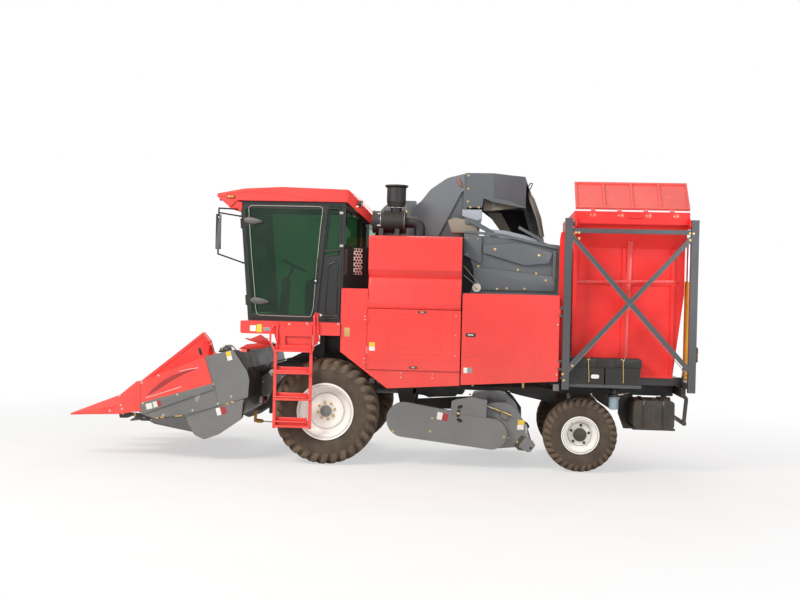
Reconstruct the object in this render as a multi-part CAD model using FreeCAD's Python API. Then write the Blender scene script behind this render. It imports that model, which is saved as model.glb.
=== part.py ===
import FreeCAD
import Part
import math
import os

# A four-row self-propelled corn harvester: corn head, cab, ear husker, side-tipping ear bin and a
# stalk shredder slung between the axles. Millimetres. +Z is up, -Y is the way it drives, +X is its
# left side. Everything is placed from the middle of the front axle on the ground (y = 0, z = 0);
# the parts are written with the origin under the middle of the overall length.

V = FreeCAD.Vector

# ---------------------------------------------------------------- wheels and axles
WHEELBASE = 3415.0
FRONT_TYRE_D = 1430.0        # 16.9-28 drive tyre
FRONT_TYRE_W = 430.0
FRONT_SEAT_D = 711.0
FRONT_FLANGE_D = 770.0
FRONT_TRACK = 2170.0
FRONT_HUB_R = 82.0
REAR_TYRE_D = 990.0          # 12.5/80-18 steering tyre
REAR_TYRE_W = 310.0
REAR_SEAT_D = 457.0
REAR_FLANGE_D = 505.0
REAR_TRACK = 1990.0
REAR_HUB_R = 72.0
RIM_GAP = 0.4                # tyre bead to rim
SPINDLE_CLEAR = 0.6          # radial, spindle in hub bore
JOINT_GAP = 6.0              # between moving pieces
PIN_CLEAR = 0.4              # radial, pin in eye
KINGPIN_X = 760.0
KINGPIN_R = 24.0
FRONT_SPINDLE_R = 45.0
REAR_SPINDLE_R = 34.0

FRONT_R = FRONT_TYRE_D / 2
REAR_R = REAR_TYRE_D / 2
FRONT_WHEEL_X = FRONT_TRACK / 2
REAR_WHEEL_X = REAR_TRACK / 2

# ---------------------------------------------------------------- chassis
RAIL_X0 = 380.0              # inner face of a rail
RAIL_W = 100.0
RAIL_Z0 = 1000.0
RAIL_H = 160.0
RAIL_FRONT_Y = -180.0
RAIL_REAR_Y = WHEELBASE + 1305
RAIL_Z1 = RAIL_Z0 + RAIL_H
RAIL_X1 = RAIL_X0 + RAIL_W

# ---------------------------------------------------------------- body
SIDE_X = 1300.0              # outer face of the side sills; panels lie outside it
SHEET = 14.0                 # folded sheet panel, with its lips
DOOR_T = 28.0
SEAM = 6.0                   # gap round a door
HOOD_Y0 = 545.0
HOOD_Y1 = 1790.0
HOOD_Z0 = 2123.0
HOOD_TOP = 3100.0
SKIRT_Y0 = 190.0
SKIRT_TOP = 2380.0
REAR_DOOR_Y0 = 1812.0
REAR_DOOR_Y1 = WHEELBASE - 325
REAR_DOOR_TOP = 2350.0
DOOR_SILL_Z = 1300.0         # seam under the engine door
LOWER_FRONT = (829.0, 1057.0)    # (y, z) where the wheel cut meets the lower edge
LOWER_REAR = (REAR_DOOR_Y1 + 2, 1209.0)
BODY_POST_Y = (590.0, 1740.0, REAR_DOOR_Y1 - 80)     # front faces of the posts under the panels
BODY_POST_X0, BODY_POST_X1 = 1120.0, 1180.0
ENGINE_HINGES = (1390.0, 1943.0)     # foot of each hinge barrel
REAR_HINGES = (1400.0, 2100.0)

# ---------------------------------------------------------------- cab
DECK_TOP = 1912.0
DECK_H = 170.0
DECK_Y0 = -1166.0
DECK_HALF = 1350.0
CAB_HALF = 945.0
PILLAR = 62.0
CAB_SILL = 1925.0
ROOF_LOW = 3530.0
A_FOOT_Y, A_HEAD_Y = -1120.0, -1262.0
B_FOOT_Y, B_HEAD_Y = -205.0, -72.0
C_FOOT_Y, C_HEAD_Y = 112.0, 150.0
CAB_REAR_Y = 480.0
CAB_REAR_HALF = 650.0
CAB_REAR_TOP = 3285.0
CAB_REAR_LOW = 2640.0        # sill of the rear windows
GLASS = 8.0
CAB_DOOR_Z0 = 1950.0
CAB_DOOR_Z1 = 3508.0
DOOR_FRAME_W = 52.0
CAB_DOOR_X0 = CAB_HALF + JOINT_GAP
CAB_DOOR_T = 26.0
CAB_HINGE_X = CAB_DOOR_X0 + CAB_DOOR_T + 8
CAB_HINGE_AHEAD = 36.0       # hinge line ahead of the pillar's centre line
CAB_HINGES = (2187.0, 3240.0)

# ---------------------------------------------------------------- corn head
ROW = 600.0                  # row spacing
HEAD_SIDE = 342.0            # outer row unit's side to the head's side: divider and end drive
TIP_Y = -3507.0
PIVOT_Y, PIVOT_Z = 60.0, 1420.0      # head and feeder pivot
AUGER_Y, AUGER_Z, AUGER_R = -1330.0, 850.0, 190.0
AUGER_STUB_R = 28.0
ROW_HALF = 138.0             # half width of a row unit over its side plates
HEAD_HALF = 1.5 * ROW + ROW_HALF + HEAD_SIDE
FEEDER_HALF = 350.0
FEEDER_FRONT_Y = -1052.0
LIFT_X = 270.0               # head lift cylinders
LIFT_FOOT = (-910.0, 600.0)  # (y, z) on the feeder
LIFT_EYE = (-190.0, 560.0)   # (y, z) at the axle
LIFT_PIN_R = 18.0
HEAD_SHAFT_R = 40.0
SEAT_GAP = 0.3               # a piece resting beside or on its neighbour

# ---------------------------------------------------------------- ear bin
BIN_Y0, BIN_Y1 = WHEELBASE - 140, WHEELBASE + 1325
BIN_FOOT_Y = BIN_Y1 - 130        # where the bin's rear wall starts to lean out
BIN_Z0, BIN_Z1 = 1285.0, 3330.0
BIN_X0, BIN_X1 = -1180.0, 1060.0
BIN_LIP_X = 1235.0           # outer face of the flared lip
BIN_FLARE_Z = 3000.0
BIN_WALL = 12.0
BIN_RIM = 145.0
BIN_PIVOT_X, BIN_PIVOT_Z = 1335.0, 3300.0
BIN_PIN_R = 28.0
POST = 95.0
POST_X0 = 1288.0
FRONT_POST_Y = BIN_Y0 - 93
REAR_POST_Y = BIN_Y1 + 72
BIN_CYL_Y = (BIN_Y0 - 70, REAR_POST_Y)
BIN_CYL_FOOT = (905.0, 1284.0)       # (x, z)
BIN_CYL_EYE = (905.0, 3150.0)

# ---------------------------------------------------------------- stalk shredder
SHRED_PIVOT_Y, SHRED_PIVOT_Z = 1050.0, 635.0
SHRED_HALF = 1050.0
SHRED_SHAFT_R = 30.0
ROTOR_SHAFT_R = 30.0
ROLLER_SHAFT_R = 16.0
ROTOR_Y, ROTOR_Z, ROTOR_R = 2190.0, 550.0, 270.0
ROLLER_Y, ROLLER_Z, ROLLER_R = 2727.0, 330.0, 62.0

TANK_X0, TANK_X1 = 560.0, 1150.0
TANK_Y0 = WHEELBASE + REAR_R + 200
TANK_Y1 = TANK_Y0 + 530
TANK_Z0, TANK_Z1 = 622.0, 985.0

REAR_END_Y = RAIL_REAR_Y + 150
TOW_PIN_R = 16.0
GUARD_BAR_Y = REAR_END_Y - 102
DOOR_PIN_R = 7.0
ORIGIN_Y = (TIP_Y + REAR_END_Y) / 2

NODES = {}


# ================================================================ helpers
def box(x0, x1, y0, y1, z0, z1):
    """A box between two corners."""
    return Part.makeBox(x1 - x0, y1 - y0, z1 - z0, V(x0, y0, z0))


def rounded_face(points, radius=0.0):
    """A planar face through points, with each corner rounded by radius (one number or one per corner)."""
    n = len(points)
    radii = radius if isinstance(radius, (list, tuple)) else [radius] * n
    edges, last, first = [], None, None
    for i in range(n):
        a, b, c = points[i - 1], points[i], points[(i + 1) % n]
        r = radii[i]
        if r <= 0:
            start = end = b
        else:
            u, w = (a - b).normalize(), (c - b).normalize()
            half = math.acos(max(-1.0, min(1.0, u.dot(w)))) / 2
            back = r / math.tan(half)
            start, end = b + u * back, b + w * back
            centre = b + (u + w).normalize() * (r / math.sin(half))
            mid = centre + (b - centre).normalize() * r
        if last is not None and (start - last).Length > 1e-6:
            edges.append(Part.LineSegment(last, start).toShape())
        if r > 0:
            edges.append(Part.Arc(start, mid, end).toShape())
        if first is None:
            first = start
        last = end
    if (first - last).Length > 1e-6:
        edges.append(Part.LineSegment(last, first).toShape())
    return Part.Face(Part.Wire(edges))


def slab_x(yz, x0, x1, radius=0.0):
    """An outline of (y, z) points, extruded from x0 to x1."""
    return rounded_face([V(x0, y, z) for y, z in yz], radius).extrude(V(x1 - x0, 0, 0))


def slab_y(xz, y0, y1, radius=0.0):
    """An outline of (x, z) points, extruded from y0 to y1."""
    return rounded_face([V(x, y0, z) for x, z in xz], radius).extrude(V(0, y1 - y0, 0))


def slab_z(xy, z0, z1, radius=0.0):
    """An outline of (x, y) points, extruded from z0 to z1."""
    return rounded_face([V(x, y, z0) for x, y in xy], radius).extrude(V(0, 0, z1 - z0))


def cyl_x(y, z, r, x0, x1):
    """A cylinder along X."""
    return Part.makeCylinder(r, x1 - x0, V(x0, y, z), V(1, 0, 0))


def cyl_y(x, z, r, y0, y1):
    """A cylinder along Y."""
    return Part.makeCylinder(r, y1 - y0, V(x, y0, z), V(0, 1, 0))


def cyl_z(x, y, r, z0, z1):
    """A cylinder along Z."""
    return Part.makeCylinder(r, z1 - z0, V(x, y, z0), V(0, 0, 1))


def rod(p, q, r):
    """A round bar from p to q."""
    p, q = V(*p), V(*q)
    return Part.makeCylinder(r, (q - p).Length, p, q - p)


def bar(p, q, wide, deep, side=(1, 0, 0)):
    """A square-cut bar from p to q, wide along side and deep across it."""
    p, q = V(*p), V(*q)
    along = (q - p).normalize()
    s = V(*side)
    s = (s - along * s.dot(along)).normalize()
    t = along.cross(s)
    corners = [p + s * (a * wide / 2) + t * (b * deep / 2) for a, b in ((-1, -1), (1, -1), (1, 1), (-1, 1))]
    return Part.Face(Part.makePolygon(corners + [corners[0]])).extrude(q - p)


def pipe(points, r, bend):
    """A round tube through points, with its corners bent to a radius."""
    pts = [V(*p) for p in points]
    edges, last = [], pts[0]
    for a, b, c in zip(pts, pts[1:], pts[2:]):
        u, w = (a - b).normalize(), (c - b).normalize()
        half = math.acos(u.dot(w)) / 2
        back = bend / math.tan(half)
        start, end = b + u * back, b + w * back
        centre = b + (u + w).normalize() * (bend / math.sin(half))
        edges.append(Part.LineSegment(last, start).toShape())
        edges.append(Part.Arc(start, centre + (b - centre).normalize() * bend, end).toShape())
        last = end
    edges.append(Part.LineSegment(last, pts[-1]).toShape())
    path = Part.Wire(edges)
    ring = Part.Wire(Part.Circle(pts[0], pts[1] - pts[0], r).toShape())
    return path.makePipeShell([ring], True, True)


def revolve_x(profile, y, z):
    """A closed profile of (x, r) points turned about the X axis through (y, z)."""
    face = rounded_face([V(x, y, z + r) for x, r in profile])
    return face.revolve(V(0, y, z), V(1, 0, 0), 360)


def flatten(items):
    """Every shape in nested lists and tuples."""
    shapes = []
    for item in items:
        shapes += flatten(item) if isinstance(item, (list, tuple)) else [item]
    return shapes


def fuse(*shapes):
    """One solid from touching or overlapping shapes."""
    flat = flatten(shapes)
    joined = flat[0] if len(flat) == 1 else flat[0].multiFuse(flat[1:])
    return joined.removeSplitter()


def cut(base, *tools):
    """base less every tool."""
    flat = flatten(tools)
    return base.cut(flat if len(flat) > 1 else flat[0]).removeSplitter()


def mirrored(shape):
    """The same piece on the machine's other side."""
    return shape.mirror(V(0, 0, 0), V(1, 0, 0))


def both_sides(shape):
    """A piece and its mirror image."""
    return [shape, mirrored(shape)]


def moved(shape, x=0.0, y=0.0, z=0.0):
    """A copy moved by an offset."""
    other = shape.copy()
    other.translate(V(x, y, z))
    return other


def band(points, thickness):
    """Outline of a sheet that follows (a, b) points, thickened towards the left of their travel."""
    offset = []
    for i, (a, b) in enumerate(points):
        turns = []
        for j, k in ((i - 1, i), (i, i + 1)):
            if 0 <= j and k < len(points):
                da, db = points[k][0] - points[j][0], points[k][1] - points[j][1]
                length = math.hypot(da, db)
                turns.append((-db / length, da / length))
        na, nb = sum(t[0] for t in turns), sum(t[1] for t in turns)
        size = math.hypot(na, nb)
        na, nb = na / size, nb / size
        reach = thickness / max(0.4, na * turns[0][0] + nb * turns[0][1])
        offset.append((a + na * reach, b + nb * reach))
    return list(points) + offset[::-1]


def add(name, *shapes):
    """Records a node as its solids."""
    NODES[name] = [solid for shape in flatten(shapes) for solid in shape.Solids]


# ================================================================ wheels
def tyre(centre_x, y, radius, width, seat_d, flange_d):
    """A plain tyre: bead, bulged side walls and a slightly crowned tread."""
    seat, half = seat_d / 2, width / 2
    heel = flange_d / 2 + 4.0
    bead = half * 0.80
    wall = seat + (radius - seat) * 0.42
    shoulder = radius - (radius - seat) * 0.17
    tread = half * 0.80
    crown = radius - width * 0.012

    def at(x, r):
        return V(centre_x + x, y, radius + r)

    edges = [
        Part.LineSegment(at(bead, seat), at(-bead, seat)).toShape(),
        Part.LineSegment(at(-bead, seat), at(-bead, heel)).toShape(),
        Part.Arc(at(-bead, heel), at(-half, wall), at(-half * 0.965, shoulder)).toShape(),
        Part.LineSegment(at(-half * 0.965, shoulder), at(-tread, crown)).toShape(),
        Part.Arc(at(-tread, crown), at(0, radius), at(tread, crown)).toShape(),
        Part.LineSegment(at(tread, crown), at(half * 0.965, shoulder)).toShape(),
        Part.Arc(at(half * 0.965, shoulder), at(half, wall), at(bead, heel)).toShape(),
        Part.LineSegment(at(bead, heel), at(bead, seat)).toShape(),
    ]
    face = Part.Face(Part.Wire(edges))
    return face.revolve(V(0, y, radius), V(1, 0, 0), 360)


def rim(centre_x, y, radius, width, seat_d, flange_d, dish, hub_r, hub_in, bore_r, cap):
    """A welded rim with a dished disc and a hub, bored from inside for its spindle. Outward is +X."""
    seat, flange, bead = seat_d / 2 - RIM_GAP, flange_d / 2, width * 0.40
    lip, wall, well = 18.0, 12.0, seat - 36.0
    profile = [
        (bead + lip, flange), (bead + RIM_GAP, flange), (bead + RIM_GAP, seat), (bead * 0.62, seat),
        (bead * 0.48, well), (-bead * 0.48, well), (-bead * 0.62, seat), (-bead - RIM_GAP, seat),
        (-bead - RIM_GAP, flange), (-bead - lip, flange), (-bead - lip, seat - wall),
        (-bead * 0.62 - 4, seat - wall), (-bead * 0.48 - 4, well - wall), (dish - 22, well - wall),
        (dish - 34, well * 0.80), (dish - 14, well * 0.72), (dish - 14, 1.0), (dish, 1.0),
        (dish, well * 0.74), (dish - 18, well * 0.82), (dish - 8, well - wall),
        (bead * 0.48 + 4, well - wall), (bead * 0.62 + 4, seat - wall), (bead + lip, seat - wall),
    ]
    shell = revolve_x([(centre_x + x, r) for x, r in profile], y, radius)
    hub = cyl_x(y, radius, hub_r, centre_x + hub_in, centre_x + dish + cap)
    bore = cyl_x(y, radius, bore_r + SPINDLE_CLEAR, centre_x + hub_in - 1, centre_x + dish)
    return cut(fuse(shell, hub), bore)


def wheels():
    """Front and rear wheels on both sides."""
    front_tyre = tyre(FRONT_WHEEL_X, 0.0, FRONT_R, FRONT_TYRE_W, FRONT_SEAT_D, FRONT_FLANGE_D)
    front_rim = rim(FRONT_WHEEL_X, 0.0, FRONT_R, FRONT_TYRE_W, FRONT_SEAT_D, FRONT_FLANGE_D,
                    60.0, FRONT_HUB_R, -110.0, FRONT_SPINDLE_R, 46.0)
    rear_tyre = tyre(REAR_WHEEL_X, WHEELBASE, REAR_R, REAR_TYRE_W, REAR_SEAT_D, REAR_FLANGE_D)
    rear_rim = rim(REAR_WHEEL_X, WHEELBASE, REAR_R, REAR_TYRE_W, REAR_SEAT_D, REAR_FLANGE_D,
                   24.0, REAR_HUB_R, -90.0, REAR_SPINDLE_R, 40.0)
    for name, shape in (("front_left_tyre", front_tyre), ("front_left_rim", front_rim),
                        ("rear_left_tyre", rear_tyre), ("rear_left_rim", rear_rim)):
        add(name, shape)
        add(name.replace("left", "right"), mirrored(shape))


def front_axle():
    """Drive axle: differential, tubes, final drives, brackets up to the rails and wheel spindles."""
    drum_x = FRONT_WHEEL_X - 160.0
    spindle_x = FRONT_WHEEL_X + 40.0
    parts = [
        cyl_x(0, FRONT_R, 95.0, -drum_x, drum_x),
        cyl_x(0, FRONT_R, 195.0, -120.0, 120.0),
        Part.makeCone(195.0, 95.0, 150.0, V(120, 0, FRONT_R), V(1, 0, 0)),
        Part.makeCone(195.0, 95.0, 150.0, V(-120, 0, FRONT_R), V(-1, 0, 0)),
        cyl_y(0, FRONT_R, 120.0, 0, 330.0),
    ]
    for s in (-1, 1):
        x0, x1 = sorted((s * (drum_x - 150.0), s * drum_x))
        parts.append(cyl_x(0, FRONT_R, 168.0, x0, x1))
        x0, x1 = sorted((s * (drum_x - 1), s * spindle_x))
        parts.append(cyl_x(0, FRONT_R, FRONT_SPINDLE_R, x0, x1))
        x0, x1 = sorted((s * RAIL_X0, s * RAIL_X1))
        parts.append(slab_x([(-90, FRONT_R), (90, FRONT_R), (150, RAIL_Z0), (-150, RAIL_Z0)], x0, x1))
        eye_y, eye_z = LIFT_EYE
        for off in (-42.0, 30.0):
            parts.append(slab_x([(0, FRONT_R - 80), (-50, FRONT_R), (eye_y - 35, eye_z + 45),
                                 (eye_y - 35, eye_z - 35),
                                 (eye_y + 40, eye_z - 40)], s * LIFT_X + off, s * LIFT_X + off + 12))
    add("front_axle", fuse(parts))


def rear_axle():
    """Steering axle beam on a centre trunnion, with its kingpin bosses and steering cylinder."""
    boss = 62.0
    parts = [
        box(-KINGPIN_X, KINGPIN_X, WHEELBASE - 60, WHEELBASE + 60, REAR_R - 45, REAR_R + 55),
        slab_y([(-160, REAR_R + 55), (160, REAR_R + 55), (RAIL_X0, RAIL_Z0), (-RAIL_X0, RAIL_Z0)],
               WHEELBASE - 90, WHEELBASE + 90),
        box(-RAIL_X1, RAIL_X1, WHEELBASE - 110, WHEELBASE + 110, RAIL_Z0 - 30, RAIL_Z0),
        cyl_x(WHEELBASE + 105, REAR_R + 20, 34.0, -260, 260),
        box(-200, 200, WHEELBASE + 60, WHEELBASE + 75, REAR_R - 20, REAR_R + 50),
    ]
    parts += [cyl_z(s * KINGPIN_X, WHEELBASE, boss, REAR_R - 90, REAR_R + 90) for s in (-1, 1)]
    bores = [cyl_z(s * KINGPIN_X, WHEELBASE, KINGPIN_R + PIN_CLEAR, REAR_R - 91, REAR_R + 91)
             for s in (-1, 1)]
    add("rear_axle", cut(fuse(parts), bores))


def knuckles():
    """Steering knuckles: a yoke round the kingpin boss, the kingpin, the wheel spindle and an arm."""
    for side, s in (("left", 1), ("right", -1)):
        web = KINGPIN_X + 62.0 + JOINT_GAP
        ear0, ear1 = 90.0 + JOINT_GAP, 126.0 + JOINT_GAP
        parts = [box(web, web + 30, WHEELBASE - 58, WHEELBASE + 58, REAR_R - ear1, REAR_R + ear1)]
        for lo, hi in ((ear0, ear1), (-ear1, -ear0)):
            parts.append(box(KINGPIN_X, web + 1, WHEELBASE - 50, WHEELBASE + 50, REAR_R + lo, REAR_R + hi))
            parts.append(cyl_z(KINGPIN_X, WHEELBASE, 50, REAR_R + lo, REAR_R + hi))
        parts.append(cyl_z(KINGPIN_X, WHEELBASE, KINGPIN_R, REAR_R - ear1, REAR_R + ear1))
        parts.append(cyl_x(WHEELBASE, REAR_R, REAR_SPINDLE_R, web, REAR_WHEEL_X + 15))
        parts.append(bar((KINGPIN_X, WHEELBASE, REAR_R + ear1 - 12),
                         (KINGPIN_X - 40, WHEELBASE + 215, REAR_R + ear1 - 12),
                         60, 22, side=(1, 0, 0)))
        knuckle = fuse(parts)
        add(f"{side}_knuckle", knuckle if s > 0 else mirrored(knuckle))


# ================================================================ chassis and body
def chassis_frame():
    """Ladder frame: rails, cross members, cab carriers, head pivot plates, rear guard and tow clevis.

    Each beam is a solid of its own, a seat gap from the beam that carries it.
    """
    inner, outer = RAIL_X0 - SEAT_GAP, RAIL_X1 + SEAT_GAP
    parts = both_sides(box(RAIL_X0, RAIL_X1, RAIL_FRONT_Y, RAIL_REAR_Y, RAIL_Z0, RAIL_Z1))
    for y in (240.0, 640.0, 1740.0, 2600.0, WHEELBASE - 85, WHEELBASE + 685, RAIL_REAR_Y - 90):
        parts.append(box(-inner, inner, y, y + 90, RAIL_Z0 + 20, RAIL_Z1))
    # cab carriers: brackets outside the rails, with uprights to the deck
    deck_under = DECK_TOP - DECK_H
    for y in (-170.0, 230.0):
        parts += both_sides(fuse(box(700, 780, y, y + 70, RAIL_Z1 - 60, deck_under),
                                 box(outer, 780, y, y + 70, RAIL_Z1 - 60, RAIL_Z1)))
    # bearing plates of the head pivot, standing on the rails
    foot_z = RAIL_Z1 + SEAT_GAP
    plate = slab_x([(PIVOT_Y - 130, foot_z), (PIVOT_Y + 130, foot_z), (PIVOT_Y + 65, PIVOT_Z + 75),
                    (PIVOT_Y - 65, PIVOT_Z + 75)],
                   RAIL_X0 + 20, RAIL_X0 + 80, [0, 0, 40, 40])
    pivot_bore = cyl_x(PIVOT_Y, PIVOT_Z, HEAD_SHAFT_R + PIN_CLEAR, RAIL_X0, RAIL_X1)
    parts += both_sides(cut(plate, pivot_bore))
    return parts + [rear_guard(), fuse(tank_cradle())]


def rear_guard():
    """Beam across the rails' rear ends with a low bar on two bent pipes, and the tow clevis."""
    beam_y1 = RAIL_REAR_Y + 60
    guard_z = 690.0
    parts = [box(-900, 1130, RAIL_REAR_Y + SEAT_GAP, beam_y1, RAIL_Z0 + 40, RAIL_Z1)]
    for x in (-860.0, 1100.0):
        parts.append(pipe([(x, RAIL_REAR_Y + 30, RAIL_Z0 + 60), (x, GUARD_BAR_Y + 28, RAIL_Z0 + 30),
                           (x, GUARD_BAR_Y, guard_z)], 26, 40))
    parts.append(cyl_x(GUARD_BAR_Y, guard_z + 8, 30, -900, 1140))
    clevis_z = RAIL_Z0 + 95
    for z in (clevis_z - 45, clevis_z + 25):
        parts.append(slab_z([(-50, beam_y1 - 1), (50, beam_y1 - 1), (50, REAR_END_Y), (-50, REAR_END_Y)],
                            z, z + 20, [0, 0, 45, 45]))
    hole = cyl_z(0, REAR_END_Y - 50, TOW_PIN_R, clevis_z - 60, clevis_z + 60)
    return cut(fuse(parts), hole)


def sill_low(y):
    """Height of a body sill's underside, level at its front and climbing to the rear."""
    front, rear, climb = 870.0, REAR_DOOR_Y1 - 10, 95.0
    return RAIL_Z1 - 40 + climb * max(0.0, y - front) / (rear - front)


def body_frame():
    """Outriggers with posts, sills and top rails that carry the body panels, standing on the ladder frame."""
    tall = 60.0
    hood_rail, door_rail = HOOD_TOP - SHEET, REAR_DOOR_TOP
    front, middle, rear = BODY_POST_Y
    sill_x0, sill_y0 = SIDE_X - 60, front + 110
    bends = (sill_y0, 870.0, REAR_DOOR_Y1 - 10)
    edge = [(y, sill_low(y)) for y in bends]
    parts = both_sides(slab_x(edge + [(y, z + tall) for y, z in edge[::-1]], sill_x0, SIDE_X))
    for y, top in ((front, hood_rail), (middle, hood_rail), (rear, door_rail)):
        end_x = SIDE_X if y + 70 < sill_y0 else sill_x0 - SEAT_GAP
        root_z, end_z = sill_low(0.0), sill_low(y)
        arm = slab_y([(RAIL_X1 + SEAT_GAP, root_z), (end_x, end_z), (end_x, end_z + tall),
                      (RAIL_X1 + SEAT_GAP, root_z + tall)],
                     y, y + 70)
        parts += both_sides(fuse(arm, box(BODY_POST_X0, BODY_POST_X1, y, y + tall, root_z + 30, top)))
    for y0, y1, top, deep in ((front, middle, hood_rail, 50.0), (middle, rear, door_rail, tall)):
        parts += both_sides(box(BODY_POST_X0, BODY_POST_X1, y0 + tall + SEAT_GAP, y1 - SEAT_GAP,
                                top - deep, top))
    inner = BODY_POST_X0 - SEAT_GAP
    for y, top in ((front, hood_rail), (middle, hood_rail), (middle, door_rail), (rear, door_rail)):
        parts.append(box(-inner, inner, y, y + tall, top - tall, top))
    add("body_frame", parts)


def panel_lower_z(y):
    """Height of the side panels' lower edge, which climbs to the rear."""
    (y0, z0), (y1, z1) = LOWER_FRONT, LOWER_REAR
    return z0 + (z1 - z0) * (y - y0) / (y1 - y0)


def side_panels():
    """Skirt panels round the engine door, cut away over the front wheel, with hinge lugs."""
    x0, x1 = SIDE_X, SIDE_X + SHEET
    y1 = HOOD_Y1 + 4
    outline = [(SKIRT_Y0, 1530), (SKIRT_Y0, SKIRT_TOP), (HOOD_Y0, SKIRT_TOP), (HOOD_Y0, DOOR_SILL_Z),
               (y1, DOOR_SILL_Z), (y1, panel_lower_z(y1)), LOWER_FRONT]
    left = slab_x(outline, x0, x1, [0, 14, 14, 0, 0, 0, 0])
    # the far side has one closed panel over the radiator and one over the husker
    right_front = slab_x([(SKIRT_Y0, 1530), (SKIRT_Y0, SKIRT_TOP), (HOOD_Y0, SKIRT_TOP),
                          (HOOD_Y0, HOOD_Z0 - SEAM), (y1, HOOD_Z0 - SEAM), (y1, panel_lower_z(y1)),
                          LOWER_FRONT], -x1, -x0)
    right_rear = slab_x([(REAR_DOOR_Y0, panel_lower_z(REAR_DOOR_Y0)),
                         (REAR_DOOR_Y1, panel_lower_z(REAR_DOOR_Y1)),
                         (REAR_DOOR_Y1, REAR_DOOR_TOP), (REAR_DOOR_Y0, REAR_DOOR_TOP)], -x1, -x0)
    hinge_x, hinge_y = SIDE_X + JOINT_GAP + DOOR_T + 8, HOOD_Y0 + 1
    lugs = [hinge_lug(hinge_x, hinge_y, z, SIDE_X + SHEET - 2, -1) for z in ENGINE_HINGES]
    add("side_skirts", fuse(left, lugs), right_front, right_rear)


def hinge_lug(x, y, z, x_in, toward):
    """Two fixed halves of a vertical hinge round a 70 mm barrel at z. toward is -1 if they reach -Y."""
    halves = []
    for low in (z - 30 - SEAT_GAP, z + 70 + SEAT_GAP):
        y0, y1 = sorted((y, y + toward * 18))
        halves += [cyl_z(x, y, DOOR_PIN_R, low, low + 30), box(x_in, x, y0, y1, low, low + 30)]
    return fuse(halves[:2]), fuse(halves[2:])


def engine_hood():
    """Folded cover over the engine: sides with a stepped louvre line, rounded shoulders and a flat top."""
    step_low, step_high = 2532.0, 2644.0
    waist = SIDE_X - 75.0
    outer = SIDE_X + 22.0
    half = [(SIDE_X - 6, HOOD_Z0), (SIDE_X + 8, HOOD_Z0 + 70), (waist + 25, step_low - 60),
            (waist, step_low),
            (outer, step_high), (outer, HOOD_TOP - 62), (outer - 22, HOOD_TOP - 18), (outer - 62, HOOD_TOP)]
    path = half + [(-x, z) for x, z in half[::-1]]
    skin = slab_y(band(path, SHEET), HOOD_Y0, HOOD_Y1)
    inner_half = [(SIDE_X - 6 - SHEET, SKIRT_TOP + 10), (waist - SHEET + 14, step_low - 60),
                  (waist - SHEET, step_low),
                  (outer - SHEET - 2, step_high + 8), (outer - SHEET - 2, HOOD_TOP - 62),
                  (outer - 64, HOOD_TOP - SHEET + 1)]
    plate = inner_half + [(-x, z) for x, z in inner_half[::-1]]
    front = slab_y(plate, HOOD_Y0, HOOD_Y0 + SHEET)
    add("engine_hood", fuse(skin, front))


def side_doors():
    """Left service doors: over the engine, hinged in front, and below the husker, hinged behind."""
    x0, x1 = SIDE_X + JOINT_GAP, SIDE_X + JOINT_GAP + DOOR_T
    hinge_x, hinge_y = x1 + 8, HOOD_Y0 + 1
    y0, y1 = HOOD_Y0 + 7, HOOD_Y1 + 4
    door = slab_x([(y0, DOOR_SILL_Z + SEAM), (y1, DOOR_SILL_Z + SEAM), (y1, HOOD_Z0 - SEAM),
                   (y0, HOOD_Z0 - SEAM)],
                  x0, x1, 10)
    barrels = [fuse(cyl_z(hinge_x, hinge_y, DOOR_PIN_R, z, z + 70),
                    box(x1 - 4, hinge_x, hinge_y, y0 + 30, z, z + 70))
               for z in ENGINE_HINGES]
    add("left_engine_door", fuse(door, barrels))
    y0, y1 = REAR_DOOR_Y0, REAR_DOOR_Y1
    door = slab_x([(y0, panel_lower_z(y0) + 10), (y1, panel_lower_z(y1) + 10), (y1, REAR_DOOR_TOP),
                   (y0, REAR_DOOR_TOP)],
                  x0, x1 + 4, [6, 6, 26, 26])
    hinge_x, hinge_y = x1 + 12, y1 + 6
    barrels = [fuse(cyl_z(hinge_x, hinge_y, DOOR_PIN_R, z, z + 70),
                    box(x1, hinge_x, y1 - 30, hinge_y, z, z + 70))
               for z in REAR_HINGES]
    add("left_rear_door", fuse(door, barrels))


def engine():
    """Engine and gearbox as one plain block on the rails."""
    add("engine_block", box(-470, 470, 760, 1690, RAIL_Z1, 2250))


# ================================================================ cab
def deck():
    """Operator's deck: floor plate, front beam and side skirts, with the walkway beside the cab."""
    z0, z1 = DECK_TOP - DECK_H, DECK_TOP
    plate = box(-DECK_HALF, DECK_HALF, DECK_Y0, SKIRT_Y0 - JOINT_GAP, z1 - 22, z1)
    outer = [slab_x([(DECK_Y0, z0), (SKIRT_Y0 - JOINT_GAP, z0), (SKIRT_Y0 - JOINT_GAP, z1), (DECK_Y0, z1)],
                    DECK_HALF - 16, DECK_HALF, [30, 0, 0, 12])]
    outer.append(mirrored(outer[0]))
    front = box(-DECK_HALF, DECK_HALF, DECK_Y0, DECK_Y0 + 16, z0 + 20, z1)
    beams = both_sides(box(700, 780, DECK_Y0 + 16, SKIRT_Y0 - JOINT_GAP, z0, z1 - 22))
    cross = [box(-DECK_HALF + 16, DECK_HALF - 16, y, y + 70, z0 + 40, z1 - 22) for y in (-640.0, -270.0)]
    rear = box(-780, 780, SKIRT_Y0 - JOINT_GAP, CAB_REAR_Y + 20, z1 - 22, z1)
    rear_beam = both_sides(box(700, 780, SKIRT_Y0 - JOINT_GAP, 300, z0, z1 - 22))
    add("operator_deck", fuse(plate, outer, front, beams, cross, rear, rear_beam))


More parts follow.
